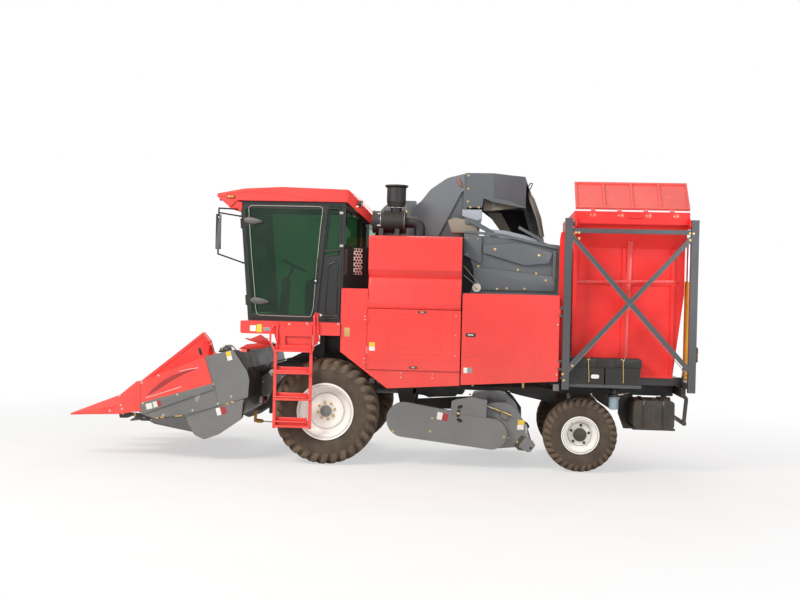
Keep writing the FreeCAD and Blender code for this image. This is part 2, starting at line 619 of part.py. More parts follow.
def ladder():
    """Ladder with four treads, the step well under the deck edge and its grab rails."""
    x0, x1 = DECK_HALF + 2, DECK_HALF + 110
    y0, y1 = -660.0, -180.0
    deck_low = DECK_TOP - DECK_H
    well_z = 1515.0
    parts = []
    for y in (y0, y1):
        parts.append(box(x0 + 60, x0 + 100, y - 20, y + 20, 492, well_z + 30))
    for z in (510.0, 870.0, 1222.0, well_z):
        parts.append(box(x0 + 20, x1 + 28, y0 - 5, y1 + 5, z, z + 28))
        parts.append(box(x0 + 20, x0 + 32, y0, y1, z + 28, z + 90))
    gusset = [(-705, well_z - 10), (-655, well_z - 10), (-560, DECK_TOP - 20), (-590, DECK_TOP - 20)]
    parts.append(slab_x(gusset, x0, x0 + 14))
    parts.append(box(x0, x0 + 12, -640, -190, deck_low - 20, DECK_TOP - 60))
    for y in (-652.0, -192.0):
        parts.append(slab_y([(x0, well_z), (x0 + 100, well_z), (x0 + 40, DECK_TOP - 20),
                             (x0, DECK_TOP - 20)], y, y + 12))
    parts.append(pipe([(x0 + 80, -168, well_z + 10), (x0 + 80, -150, 1600), (x0 + 80, -150, 2010),
                       (x0 + 12, -150, 2010),
                       (x0 + 12, -150, DECK_TOP - 40)], 14, 28))
    parts.append(pipe([(x0 + 85, -672, well_z + 10), (x0 + 85, -735, 1640), (x0 + 85, -735, 1800),
                       (x0 + 10, -700, 1860)],
                      14, 30))
    # hanger to the deck skirt
    parts.append(box(DECK_HALF, x0 + 1, -640, -190, deck_low + 10, DECK_TOP - 60))
    add("access_ladder", fuse(parts))


def cab_side_line(y_foot, y_head, z):
    """y of a cab pillar's line at height z."""
    return y_foot + (y_head - y_foot) * (z - CAB_SILL) / (ROOF_LOW - CAB_SILL)


def cab_frame():
    """Pillars, sills, headers, lower quarter panels and rear wall of the cab, as one welded frame."""
    inner = CAB_HALF - PILLAR
    parts = []
    for foot, head, deep in ((A_FOOT_Y, A_HEAD_Y, 70), (B_FOOT_Y, B_HEAD_Y, 60), (C_FOOT_Y, C_HEAD_Y, 60)):
        p = (CAB_HALF - PILLAR / 2, foot, CAB_SILL)
        q = (CAB_HALF - PILLAR / 2, head, ROOF_LOW + (27 if foot > 0 else 0))
        parts += both_sides(bar(p, q, PILLAR, deep))
    parts += both_sides(bar((CAB_REAR_HALF, CAB_REAR_Y - 30, CAB_SILL),
                            (CAB_REAR_HALF, CAB_REAR_Y - 40, CAB_REAR_TOP), 60, 60))
    parts += both_sides(box(inner, CAB_HALF, A_FOOT_Y - 30, C_FOOT_Y + 20, CAB_SILL - 13, CAB_SILL + 22))
    parts += both_sides(box(inner, CAB_HALF, A_HEAD_Y - 30, C_HEAD_Y + 25, ROOF_LOW - 20, ROOF_LOW + 30))
    parts.append(box(-CAB_HALF, CAB_HALF, A_FOOT_Y - 33, A_FOOT_Y + 30, CAB_SILL - 13, CAB_SILL + 70))
    parts.append(box(-CAB_HALF, CAB_HALF, A_HEAD_Y - 30, A_HEAD_Y + 40, ROOF_LOW - 20, ROOF_LOW + 30))
    parts.append(box(-CAB_HALF, CAB_HALF, C_HEAD_Y - 30, C_HEAD_Y + 30, ROOF_LOW, ROOF_LOW + 30))
    floor = slab_z([(-CAB_HALF, A_FOOT_Y - 30), (CAB_HALF, A_FOOT_Y - 30), (CAB_HALF, C_FOOT_Y),
                    (CAB_REAR_HALF + 30, CAB_REAR_Y),
                    (-CAB_REAR_HALF - 30, CAB_REAR_Y), (-CAB_HALF, C_FOOT_Y)], CAB_SILL - 13, CAB_SILL)
    parts.append(floor)
    quarter_top = 2830.0
    lower_quarter = slab_x([(B_FOOT_Y, CAB_SILL), (C_FOOT_Y, CAB_SILL), (C_FOOT_Y + 20, quarter_top),
                            (cab_side_line(B_FOOT_Y, B_HEAD_Y, quarter_top),
                             quarter_top)], CAB_HALF - 36, CAB_HALF - 4)
    parts += both_sides(lower_quarter)
    # chamfered rear corners and rear wall, with the ventilation box on them
    rear_low = CAB_REAR_LOW
    corner = slab_z([(CAB_HALF - 4, C_FOOT_Y + 10), (CAB_REAR_HALF + 24, CAB_REAR_Y - 6),
                     (CAB_REAR_HALF - 10, CAB_REAR_Y - 30),
                     (CAB_HALF - 36, C_FOOT_Y)], CAB_SILL, rear_low)
    parts += both_sides(corner)
    parts.append(box(-CAB_REAR_HALF, CAB_REAR_HALF, CAB_REAR_Y - 40, CAB_REAR_Y - 10, CAB_SILL, rear_low))
    parts += both_sides(bar((CAB_REAR_HALF, CAB_REAR_Y - 40, CAB_REAR_TOP),
                            (CAB_HALF - 40, C_HEAD_Y, ROOF_LOW - 10), 50, 50))
    parts.append(box(-CAB_REAR_HALF, CAB_REAR_HALF, CAB_REAR_Y - 70, CAB_REAR_Y - 10, CAB_REAR_TOP - 40,
                     CAB_REAR_TOP + 10))
    # hinge halves of the left door, along the leaning front pillar
    for z in CAB_HINGES:
        up = V(0, A_HEAD_Y - A_FOOT_Y, ROOF_LOW - CAB_SILL).normalize()
        p = V(CAB_HINGE_X, cab_side_line(A_FOOT_Y, A_HEAD_Y, z) - CAB_HINGE_AHEAD, z)
        for sign in (-1, 1):
            near, far = p + up * (sign * (45 + SEAT_GAP)), p + up * (sign * 68)
            parts.append(rod(tuple(near), tuple(far), 9))
            mid = (CAB_HINGE_X + CAB_HALF - 8) / 2
            parts.append(bar((mid, near.y, near.z), (mid, far.y, far.z), CAB_HINGE_X - CAB_HALF + 8, 14))
    add("cab_frame", fuse(parts))


def cab_outline(inset):
    """The side window or door outline in (y, z), taken in by inset."""
    z0, z1 = CAB_DOOR_Z0 + inset, CAB_DOOR_Z1 - inset
    return [(cab_side_line(A_FOOT_Y, A_HEAD_Y, z0) - 20 + inset, z0),
            (cab_side_line(A_FOOT_Y, A_HEAD_Y, z1) - 20 + inset, z1),
            (cab_side_line(B_FOOT_Y, B_HEAD_Y, z1) + 8 - inset,
             z1), (cab_side_line(B_FOOT_Y, B_HEAD_Y, z0) + 8 - inset, z0)]


def cab_door():
    """Left cab door: a slim frame and its pane, on two hinges along the front pillar."""
    x0, x1 = CAB_DOOR_X0, CAB_DOOR_X0 + CAB_DOOR_T
    frame = cut(slab_x(cab_outline(0), x0, x1, 45), slab_x(cab_outline(DOOR_FRAME_W), x0 - 1, x1 + 1, 30))
    barrels = []
    for z in CAB_HINGES:
        y = cab_side_line(A_FOOT_Y, A_HEAD_Y, z) - CAB_HINGE_AHEAD
        up = V(0, A_HEAD_Y - A_FOOT_Y, ROOF_LOW - CAB_SILL).normalize()
        p = V(CAB_HINGE_X, y, z)
        barrels.append(rod(tuple(p - up * 45), tuple(p + up * 45), 9))
        barrels.append(bar((CAB_HINGE_X - 4, y, z), (x1 + 4, y + 190, z), 14, 62))
    add("cab_door_frame", fuse(frame, barrels))
    pane = slab_x(cab_outline(DOOR_FRAME_W + 0.5), x0 + 8, x0 + 8 + GLASS, 30)
    add("cab_door_glass", pane)


def cab_windows():
    """Fixed panes: bowed windscreen, far side pane, upper quarter vents, rear corner and rear panes."""
    lean = V(0, (A_HEAD_Y - A_FOOT_Y) * 0.955, (ROOF_LOW - CAB_SILL) * 0.955 - 20)
    half, bow = CAB_HALF - PILLAR - 2, 70.0
    y, z = A_FOOT_Y - 36, CAB_SILL + 72
    arcs = []
    for off in (0.0, GLASS):
        arcs.append(Part.Arc(V(-half, y + off, z), V(0, y - bow + off, z), V(half, y + off, z)).toShape())
    sides = [Part.LineSegment(V(s * half, y, z), V(s * half, y + GLASS, z)).toShape() for s in (-1, 1)]
    screen = Part.Face(Part.Wire(Part.__sortEdges__(arcs + sides))).extrude(lean)
    side_x = CAB_HALF - 30
    far_side = mirrored(slab_x([(cab_side_line(A_FOOT_Y, A_HEAD_Y, zz) + 36, zz)
                                for zz in (CAB_SILL + 23, ROOF_LOW - 22)]
                               + [(cab_side_line(B_FOOT_Y, B_HEAD_Y, zz) - 31, zz)
                                  for zz in (ROOF_LOW - 22, CAB_SILL + 23)],
                               side_x, side_x + GLASS))
    vent = slab_x([(cab_side_line(B_FOOT_Y, B_HEAD_Y, 2832) + 32, 2832), (C_FOOT_Y - 11, 2832),
                   (cab_side_line(C_FOOT_Y, C_HEAD_Y, ROOF_LOW - 22) - 31, ROOF_LOW - 22),
                   (cab_side_line(B_FOOT_Y, B_HEAD_Y, ROOF_LOW - 22) + 31,
                    ROOF_LOW - 22)], side_x, side_x + GLASS)
    low = CAB_REAR_LOW + SEAT_GAP
    reach = CAB_REAR_HALF - 30 - SEAT_GAP
    rear = box(-reach, reach, CAB_REAR_Y - 44, CAB_REAR_Y - 36, low, CAB_REAR_TOP - 40 - SEAT_GAP)
    # the corner pane stands on the chamfered wall between the rear side pillar and the rear corner
    p, q = V(CAB_HALF - 4, C_FOOT_Y + 10, low), V(CAB_REAR_HALF + 24, CAB_REAR_Y - 6, low)
    along = (q - p).normalize()
    inward = V(-along.y, along.x, 0)
    a, b = p + along * 85 + inward * 10, q - along * 45 + inward * 10
    c, d = V(b.x, b.y, CAB_REAR_TOP - 40), V(a.x, a.y, ROOF_LOW - 92)
    pane = Part.Face(Part.makePolygon([a, b, c, d, a])).extrude(inward * GLASS)
    add("cab_windows", screen, far_side, both_sides(vent), rear, both_sides(pane))


def cab_roof():
    """Thick moulded roof with a drooping nose over the windscreen and a sloped tail."""
    under = ROOF_LOW + 30 + SEAT_GAP
    side = [(-1650, 3640), (-1431, 3462), (-1330, under), (C_HEAD_Y + 40, under), (490, 3292), (528, 3392),
            (215, 3728), (-700, 3752), (-1232, 3722)]
    body = slab_x(side, -1010, 1010, [8, 30, 60, 30, 10, 14, 50, 900, 300])
    plan = [(-1010, -1615), (-620, -1652), (620, -1652), (1010, -1615), (1010, 190), (720, 540),
            (-720, 540), (-1010, 190)]
    trim = slab_z(plan, 3200, 3800, [40, 900, 900, 40, 60, 60, 60, 60])
    add("cab_roof", body.common(trim).removeSplitter())


def cab_fittings():
    """Seat, steering column with its wheel, side console and the outside mirrors."""
    seat_x, seat_y = 0.0, -230.0
    seat = fuse(
        slab_x([(seat_y - 260, 2370), (seat_y + 200, 2350), (seat_y + 200, 2470), (seat_y - 250, 2480)],
               seat_x - 240, seat_x + 240, 30),
        slab_x([(seat_y + 150, 2440), (seat_y + 260, 2440), (seat_y + 360, 3060), (seat_y + 270, 3070)],
               seat_x - 230, seat_x + 230, 35),
        box(seat_x - 180, seat_x + 180, seat_y - 180, seat_y + 180, CAB_SILL + 0.3, 2365),
    )
    add("cab_seat", seat)
    column = fuse(
        slab_x([(-900, CAB_SILL + 0.3), (-780, CAB_SILL + 0.3), (-760, 2500), (-840, 2540)], -90, 90, 12),
        rod((0, -800, 2480), (0, -700, 2690), 22),
        Part.makeTorus(190, 15, V(0, -700, 2700), V(0, 0.43, 0.9)),
        rod((-190, -700, 2700), (190, -700, 2700), 11),
        rod((0, -871, 2782), (0, -529, 2618), 11),
    )
    console = slab_x([(-600, CAB_SILL + 0.3), (100, CAB_SILL + 0.3), (100, 2560), (-420, 2560),
                      (-600, 2460)], -800, -430, 20)
    add("operator_controls", column, console)


def mirrors():
    """Wing mirrors on two-arm brackets from the front pillars."""
    shapes = []
    y, x = -1470.0, 1455.0
    head = slab_z([(x - 95, y + 18), (x - 80, y - 22), (x + 35, y - 30), (x + 45, y + 6)], 2865, 3330, 8)
    post = rod((x - 20, y - 4, 2790), (x - 20, y - 4, 3420), 11)
    arms, feet = [], []
    for z, far in ((3440.0, 3412.0), (3345.0, 3352.0), (2700.0, 2800.0)):
        line = cab_side_line(A_FOOT_Y, A_HEAD_Y, z)
        arms.append(rod((CAB_HALF - 10, line - 54, z), (x - 20, y - 4, far), 10))
        feet.append(box(CAB_HALF - 34, CAB_HALF + 4, line - 66, line - 36.6, z - 12, z + 12))
    shapes = fuse(head, post, arms, feet)
    add("mirrors", both_sides(shapes))


# ================================================================ corn head
def hood_shell(centre_x, stations, thickness=10.0):
    """A long folded sheet hood, open below, through (y, low z, ridge z, low half width, ridge half width)."""
    wires = []
    for y, low, ridge, wide, narrow in stations:
        t, mid = thickness, (low + ridge) / 2
        pts = [(-wide, low), (-wide, mid), (-narrow, ridge), (narrow, ridge), (wide, mid), (wide, low),
               (wide - t, low), (wide - t, mid - t * 0.4), (narrow - t * 0.5, ridge - t),
               (-narrow + t * 0.5, ridge - t), (-wide + t, mid - t * 0.4), (-wide + t, low)]
        corners = [V(centre_x + x, y, z) for x, z in pts]
        wires.append(Part.makePolygon(corners + [corners[0]]))
    return Part.makeLoft(wires, True, True)


def dividers():
    """Outer dividers with flat side cheeks, low inner dividers between the rows and a tall middle one."""
    wide = 108.0
    outer_x = HEAD_HALF - 2 - wide
    outer = [(TIP_Y, 560, 585, 34, 12), (-3300, 575, 665, 62, 26), (-2809, 600, 861, 98, 50),
             (-2580, 640, 1050, wide, 62), (-2505, 668, 1057, wide, 62), (-1640, 1000, 1413, wide, 62)]
    cheek = slab_x([(-2534, 640), (-1525, 1056), (-1638, 1413), (-2505, 1057), (-2580, 1050)],
                   HEAD_HALF - 14, HEAD_HALF)
    add("outer_dividers", both_sides(fuse(hood_shell(outer_x, outer), cheek)))
    # the lower edges sit against the row units' side plates
    wide = ROW / 2 - ROW_HALF - SEAT_GAP
    low = [(-3330, 560, 590, 34, 12), (-2850, 600, 815, 90, 50), (-2640, 610, 960, wide, 62),
           (-1760, 895, 1340, wide, 60), (-1690, 915, 1270, wide, 60)]
    tall = [(-3440, 560, 590, 34, 12), (-2960, 600, 925, 90, 50), (-2800, 610, 1055, wide, 62),
            (-2015, 812, 1690, wide, 60), (-1916, 845, 1575, wide, 60), (-1862, 862, 1400, wide, 60),
            (-1690, 915, 1290, wide, 60)]
    add("inner_dividers", [hood_shell(-ROW, low), hood_shell(0.0, tall), hood_shell(ROW, low)])


def end_shields():
    """Grey sheet guards over the chain drives on both ends of the head, with a bellied lower guard."""
    outline = [(-2490, 610), (-2330, 560), (-1881, 592), (-1039, 884), (-1024, 1123), (-1058, 1235),
               (-1253, 1517), (-1638, 1413), (-1540, 1056), (-2534, 640)]
    upper = slab_x(outline, HEAD_HALF - 28, HEAD_HALF - 14 - SEAT_GAP)
    lower = slab_x([(-1881, 580), (-1097, 856), (-1116, 585), (-1420, 372), (-1620, 296), (-1760, 357)],
                   HEAD_HALF - 12, HEAD_HALF, [0, 10, 20, 60, 70, 70])
    wedge = slab_x([(-2376, 505), (-1761, 392), (-1700, 640), (-2330, 575)], HEAD_HALF - 44, HEAD_HALF - 27)
    tie = slab_x([(-1870, 590), (-1090, 870), (-1090, 820), (-1870, 545)], HEAD_HALF - 29, HEAD_HALF - 11)
    add("head_end_shields", both_sides(fuse(upper, tie, lower, wedge)))


def head_frame():
    """Auger trough, end plates, toolbar and the stub shafts of the cross auger, as one weldment."""
    end_in, end_out = HEAD_HALF - 62, HEAD_HALF - 46
    trough = [(-1640, 800), (-1560, 660), (-1420, 602), (-1240, 602), (-1110, 690), (-1062, 850),
              (-1062, 1260), (-1120, 1480)]
    sheet = slab_x(band(trough, -10), -end_in, end_in)
    mouth = box(-FEEDER_HALF + 40, FEEDER_HALF - 40, -1120, -1000, 700, 1120)
    end_plate = slab_x([(-2470, 560), (-1700, 420), (-1420, 420), (-1110, 600), (-1052, 860), (-1052, 1260),
                        (-1110, 1490), (-1260, 1490), (-1640, 1000), (-2500, 640)], end_in, end_out)
    parts = [cut(sheet, mouth), box(-end_out, end_out, -1560, -1440, 470, 590),
             box(-end_out, end_out, -2300, -2230, 540, 590)]
    parts += both_sides(end_plate)
    parts += [box(x - 15, x + 15, -1500, -1300, 590, 612) for x in (-900.0, -300.0, 300.0, 900.0)]
    for s in (-1, 1):
        parts.append(cyl_x(AUGER_Y, AUGER_Z, AUGER_STUB_R, *sorted((s * (end_in - 90), s * end_in))))
    parts += both_sides(cyl_x(-1300, 1100, 20, end_out, HEAD_HALF - 28))
    parts += both_sides(cyl_x(-2300, 610, 20, end_out, HEAD_HALF - 28))
    add("head_frame", fuse(parts))


def row_units():
    """Four row units: deck plates, side plates, snapping rolls on their gearbox and chain guides."""
    units = []
    for i in range(4):
        x = (i - 1.5) * ROW
        parts = [box(x - 150, x + 150, -1690, -1650, 620, 985)]
        for s in (-1, 1):
            plate = slab_x([(-2700, 590), (-1660, 985), (-1660, 999), (-2700, 604)],
                           *sorted((x + s * 28, x + s * 126)))
            side = slab_x([(-2560, 600), (-1660, 890), (-1660, 990), (-2560, 650)],
                          *sorted((x + s * (ROW_HALF - 12), x + s * ROW_HALF)))
            roll = rod((x + s * 52, -2640, 520), (x + s * 52, -1660, 876), 42)
            nose = Part.makeCone(42, 10, 150, V(x + s * 52, -2640, 520), V(0, -980, -356))
            chain = slab_x([(-2640, 618), (-1680, 983), (-1680, 1036), (-2640, 664)],
                           *sorted((x + s * 62, x + s * 118)))
            parts += [plate, side, roll, nose, chain]
        # a beam end under the unit carries it on the head frame's toolbar
        hanger = [(-1688, 640), (-1652, 640), (-1560, 560), (-1560, 480), (-1600, 480)]
        units.append(fuse(parts, slab_x(hanger, x - 12, x + 12)))
    add("row_units", units)


def cross_auger():
    """Cross auger: tube bored for its stub shafts, two opposed flights and paddles at the feeder mouth."""
    end_in = HEAD_HALF - 62
    tube = cyl_x(AUGER_Y, AUGER_Z, 95, -end_in + JOINT_GAP, end_in - JOINT_GAP)
    flights = [auger_scroll(s * (FEEDER_HALF + 60), s * (end_in - 40), s) for s in (-1, 1)]
    paddles = [box(-FEEDER_HALF + 30, FEEDER_HALF - 30, AUGER_Y - 8, AUGER_Y + 8,
                   *sorted((AUGER_Z + s * 80, AUGER_Z + s * (AUGER_R - 15))))
               for s in (-1, 1)]
    bores = [cyl_x(AUGER_Y, AUGER_Z, AUGER_STUB_R + SPINDLE_CLEAR,
                   *sorted((s * (end_in - 100), s * end_in)))
             for s in (-1, 1)]
    add("cross_auger", cut(fuse(tube, flights, paddles), bores))


def auger_scroll(x0, x1, hand):
    """A helical flight as a swept blade, from x0 to x1."""
    length, pitch, inner, outer = abs(x1 - x0), 420.0, 88.0, AUGER_R
    helix = Part.makeHelix(pitch, length - 16, (inner + outer) / 2, 0, hand < 0)
    start = V((inner + outer) / 2, 0, 0)
    half = (outer - inner) / 2
    blade = Part.makePolygon([start + V(-half, 0, -4), start + V(half, 0, -4), start + V(half, 0, 4),
                              start + V(-half, 0, 4), start + V(-half, 0, -4)])
    flight = Part.Wire(helix.Edges).makePipeShell([Part.Wire(blade.Edges)], True, True)
    flight.rotate(V(0, 0, 0), V(0, 1, 0), 90)
    flight.translate(V(min(x0, x1) + 8, AUGER_Y, AUGER_Z))
    return flight


def feeder():
    """Feeder house between the head and the pivot, with its drive guard, pivot shaft and cylinder lugs."""
    y0 = FEEDER_FRONT_Y
    outer = [(y0, 640), (y0, 1160), (-70, 1672), (150, 1600), (170, 1250), (-500, 830)]
    hollow = [(y0 - 1, 700), (y0 - 1, 1120), (-90, 1620), (60, 1540), (100, 1330), (-520, 885)]
    shell = cut(slab_x(outer, -FEEDER_HALF, FEEDER_HALF),
                slab_x(hollow, -FEEDER_HALF + 30, FEEDER_HALF - 30))
    guard = slab_x([(-960, 720), (-800, 740), (-640, 990), (-230, 1270), (-270, 1420), (-760, 1180),
                    (-960, 920)],
                   FEEDER_HALF, FEEDER_HALF + 26, 50)
    parts = [shell, guard] + both_sides(cyl_x(PIVOT_Y, PIVOT_Z, HEAD_SHAFT_R, FEEDER_HALF - 1, RAIL_X1))
    foot_y, foot_z = LIFT_FOOT
    for s in (-1, 1):
        x = s * LIFT_X
        for off in (-40.0, 28.0):
            parts.append(box(x + off, x + off + 12, foot_y - 45, foot_y + 20, foot_z - 40, foot_z + 100))
        parts.append(cyl_x(foot_y, foot_z, LIFT_PIN_R, x - 40, x + 40))
    add("feeder_house", fuse(parts))


# ================================================================ shredder
def shredder():
    """Stalk shredder: open-bottomed housing on two arms, belt guard, flail rotor and rear gauge roller."""
    half = SHRED_HALF
    outer = [(1850, 640), (1960, 860), (2200, 905), (2440, 860), (2600, 700), (2680, 520), (2660, 330),
             (2600, 330),
             (2600, 520), (2540, 680), (2410, 815), (2200, 855), (1990, 815), (1900, 640), (1840,
                                                                                            420), (1790,
                                                                                                   420)]
    skin = slab_x(outer, -half, half)
    cheek = slab_x([(1790, 420), (1850, 640), (1960, 860), (2200, 905), (2440, 860), (2600, 700),
                    (2680, 520),
                    (2660, 330), (2560, 320), (1900, 320)], half, half + 12)
    arm = slab_x([(SHRED_PIVOT_Y - 70, SHRED_PIVOT_Z - 60), (1980, 560), (1980, 780),
                  (SHRED_PIVOT_Y - 70, SHRED_PIVOT_Z + 70)],
                 half + 12, half + 30, 40)
    roller_arm = slab_x([(2540, 320), (2640, 470), (2790, 390), (2815, 330), (2740, 252), (2600, 262)],
                        half + 12, half + 26, 22)
    bush = cyl_x(SHRED_PIVOT_Y, SHRED_PIVOT_Z, SHRED_SHAFT_R + 15, half - 80, half + 30)
    parts = [skin] + both_sides(cheek) + both_sides(arm) + both_sides(roller_arm) + both_sides(bush)
    bores = [cyl_x(y, z, r + PIN_CLEAR, -half - 60, half + 60)
             for y, z, r in ((SHRED_PIVOT_Y, SHRED_PIVOT_Z, SHRED_SHAFT_R),
                             (ROTOR_Y, ROTOR_Z, ROTOR_SHAFT_R),
                             (ROLLER_Y, ROLLER_Z, ROLLER_SHAFT_R))]
    add("shredder_housing", cut(fuse(parts), bores))
    gx0, gx1 = half + 62, half + 150
    front = (SHRED_PIVOT_Y + 8, SHRED_PIVOT_Z, 235.0)
    rear = (2235.0, 478.0, 205.0)
    cap = slab_x([(1704, 700), (1704, 906), (1760, 930), (1994, 968), (2170, 929), (2146, 640)], gx0 - 20,
                 gx1 - 12,
                 [0, 20, 0, 20, 20, 0])
    stays = [box(half + 30, gx0 + 2, 1480, 1540, 600, 660), box(half + 12, gx0 - 18, 2040, 2090, 830, 870)]
    guard = fuse([cyl_x(y, z, r, gx0, gx1) for y, z, r in (front, rear)]
                 + [belt_web(*front, *rear, gx0, gx1), cap] + stays)
    add("shredder_belt_guard", cut(guard, cyl_x(SHRED_PIVOT_Y, SHRED_PIVOT_Z, SHRED_SHAFT_R + JOINT_GAP,
                                                gx0 - 1, gx1 - 10)))

    parts = [cyl_x(ROTOR_Y, ROTOR_Z, 85, -half + JOINT_GAP, half - JOINT_GAP),
             cyl_x(ROTOR_Y, ROTOR_Z, ROTOR_SHAFT_R, -half - 36, half + 40)]
    for i in range(14):
        x = -half + 70 + i * (2 * half - 140) / 13
        for k in range(2):
            a = math.radians(90 * (i % 2) + 180 * k + 20)
            c, d = math.cos(a), math.sin(a)
            parts.append(bar((x, ROTOR_Y + 75 * c, ROTOR_Z + 75 * d),
                             (x, ROTOR_Y + ROTOR_R * c, ROTOR_Z + ROTOR_R * d), 46, 26))
    add("shredder_rotor", fuse(parts))
    add("gauge_roller", fuse(cyl_x(ROLLER_Y, ROLLER_Z, ROLLER_R, -half - 6, half + 6),
                             cyl_x(ROLLER_Y, ROLLER_Z, ROLLER_SHAFT_R, -half - 30, half + 30)))


def belt_web(y0, z0, r0, y1, z1, r1, x0, x1):
    """The part of a belt guard between its two round ends: the outer common tangents."""
    d = math.hypot(y1 - y0, z1 - z0)
    base, lean = math.atan2(z1 - z0, y1 - y0), math.acos((r0 - r1) / d)
    pts = []
    for s in (1, -1):
        a = base + s * lean
        pts.append(((y0 + r0 * math.cos(a), z0 + r0 * math.sin(a)),
                    (y1 + r1 * math.cos(a), z1 + r1 * math.sin(a))))
    (p0, p1), (q0, q1) = pts
    return slab_x([p0, p1, q1, q0], x0, x1)


def shredder_hangers():
    """Brackets down from the rails to the shredder's pivot, with the pivot shaft."""
    shaft = cyl_x(SHRED_PIVOT_Y, SHRED_PIVOT_Z, SHRED_SHAFT_R, -SHRED_HALF - 46, SHRED_HALF + 46)
    arms = both_sides(slab_x([(SHRED_PIVOT_Y - 60, SHRED_PIVOT_Z - 50),
                              (SHRED_PIVOT_Y + 60, SHRED_PIVOT_Z - 50),
                              (SHRED_PIVOT_Y + 120, RAIL_Z0), (SHRED_PIVOT_Y - 160, RAIL_Z0)],
                             RAIL_X0 + 20, RAIL_X1 - 20))
    return shaft, arms


# ================================================================ top of the machine
def elevator():
    """Elevator head behind the cab: fan casing and the upper end of the ear elevator."""
    x0, x1, top = -330.0, 450.0, HOOD_TOP
    profile = [(1080, top), (1080, top + 460), (1174, top + 540), (1300, top + 704), (1532, top + 869),
               (1800, top + 940),
               (1800, top + 690), (1745, top + 690),
               (1430, top + 60), (1430, top)]
    tower = slab_x(profile, x0, x1, [0, 40, 120, 200, 300, 0, 0, 60, 0, 0])
    fan = cyl_x(880, top + 225, 335, 40, 330)
    fan = fan.cut(box(0, 400, 400, 1300, top - 300, top))
    duct = box(40, 330, 880, 1090, top + 300, top + 550)
    foot = box(x0 - 30, x1 + 30, 1050, 1460, top, top + 24)
    add("elevator_head", fuse(tower, fan, duct, foot))


def discharge_hood():
    """Discharge hood on the elevator: two side cheeks, a roof and a curved tail deflector, open below."""
    x0, x1, top = -330.0, 470.0, HOOD_TOP
    t = 10.0
    near = slab_x([(1800, top + 460), (2030, top + 460), (2050, top + 590), (2190, top + 540),
                   (2640, top + 460), (2625, top + 895),
                   (2200, top + 943), (1800, top + 943)],
                  x1 - t, x1)
    far = slab_x([(1800, top + 460), (2030, top + 460), (2490, top + 120), (2880, top + 50),
                  (2740, top + 590), (2625, top + 895),
                  (2200, top + 943), (1800, top + 943)],
                 x0, x0 + t)
    roof = slab_x(band([(1800, top + 943), (2200, top + 943), (2625, top + 895), (2745, top + 580),
                        (2896, top + 40)], -t), x0, x1)
    front = box(x0, x1, 1800, 1800 + t, top + 460, top + 700)
    add("discharge_hood", fuse(near, far, roof, front))


def husker():
    """Ear husker housing: side cheeks, top cover and end sheets, open where the ears drop in and leave."""
    z_low, half, t = 2350.0, 1000.0, 12.0
    cheek = [(1800, z_low), (3118, z_low), (3118, 3023), (2250, 3120), (1800, 3150)]
    cheeks = both_sides(slab_x(cheek, half - t, half))
    floor = slab_x(band([(1800, 2560), (3118, 2400)], -t), -half, half)
    front = box(-half, half, 1800, 1812, z_low, 3150)
    cover = slab_x(band([(2250, 3118), (3118, 3021)], -t), -half, half)
    bolt_on = slab_x([(2054, 2918), (2361, 3028), (2711, 3004), (2991, 2855), (2614, 2744)], half,
                     half + 30, 20)
    bolt_on = [bolt_on, mirrored(bolt_on)]
    base = both_sides(box(half - 40, half, 1740 + 60, 3118, z_low, z_low + 40))
    arms = [fuse(bar((900, 1880, 3330), (900, 2195, 3165), 60, 36), box(872, 928, 2150, 2215, 3100, 3190)),
            fuse(bar((900, 2540, 3262), (900, 2855, 3095), 60, 36), box(872, 928, 2810, 2880, 3030, 3110))]
    bridge = [box(840, 900, 1812, 1880, 3300, 3345), box(872, 928, 2150, 2260, 3095, 3118)]
    chute = slab_x([(1800, 3150), (1990, 3150), (2030, 3400), (2030, 3500), (1800, 3500)], 300, 860)
    add("husker_housing", fuse(cheeks, floor, front, cover, bolt_on, base, arms, bridge, chute))
    rolls = []
    for i in range(10):
        x = -855 + i * 190
        rolls.append(rod((x, 1850, 2720), (x, 3080, 2600), 46))
    axle = [box(-988, 988, 1850, 1880, 2600, 2800), box(-988, 988, 3060, 3085, 2520, 2680)]
    add("husking_rolls", fuse(rolls + axle))


def air_intake():
    """Air cleaner canister, pre-cleaner bowl, elbow and cradle on the hood."""
    x, z = 880.0, HOOD_TOP + 205
    body = fuse(cyl_y(x, z, 150, 545, 1000), cyl_y(x, z, 156, 545, 570), cyl_y(x, z, 156, 975, 1000))
    neck = cyl_z(x, 860, 78, z + 100, z + 220)
    bowl = fuse(Part.makeCone(115, 132, 60, V(x, 860, z + 215)), cyl_z(x, 860, 132, z + 275, z + 465),
                Part.makeCone(132, 160, 22, V(x, 860, z + 465)),
                cyl_z(x, 860, 160, z + 485, z + 503))
    elbow = pipe([(x, 990, z), (x, 1190, z), (x, 1190, HOOD_TOP)], 75, 90)
    cradle = [slab_y([(x - 150, HOOD_TOP), (x + 150, HOOD_TOP), (x + 110, z - 60), (x - 110, z - 60)], y,
                     y + 60) for y in (640.0, 860.0)]
    add("air_cleaner", fuse(body, neck, bowl, elbow, cradle))


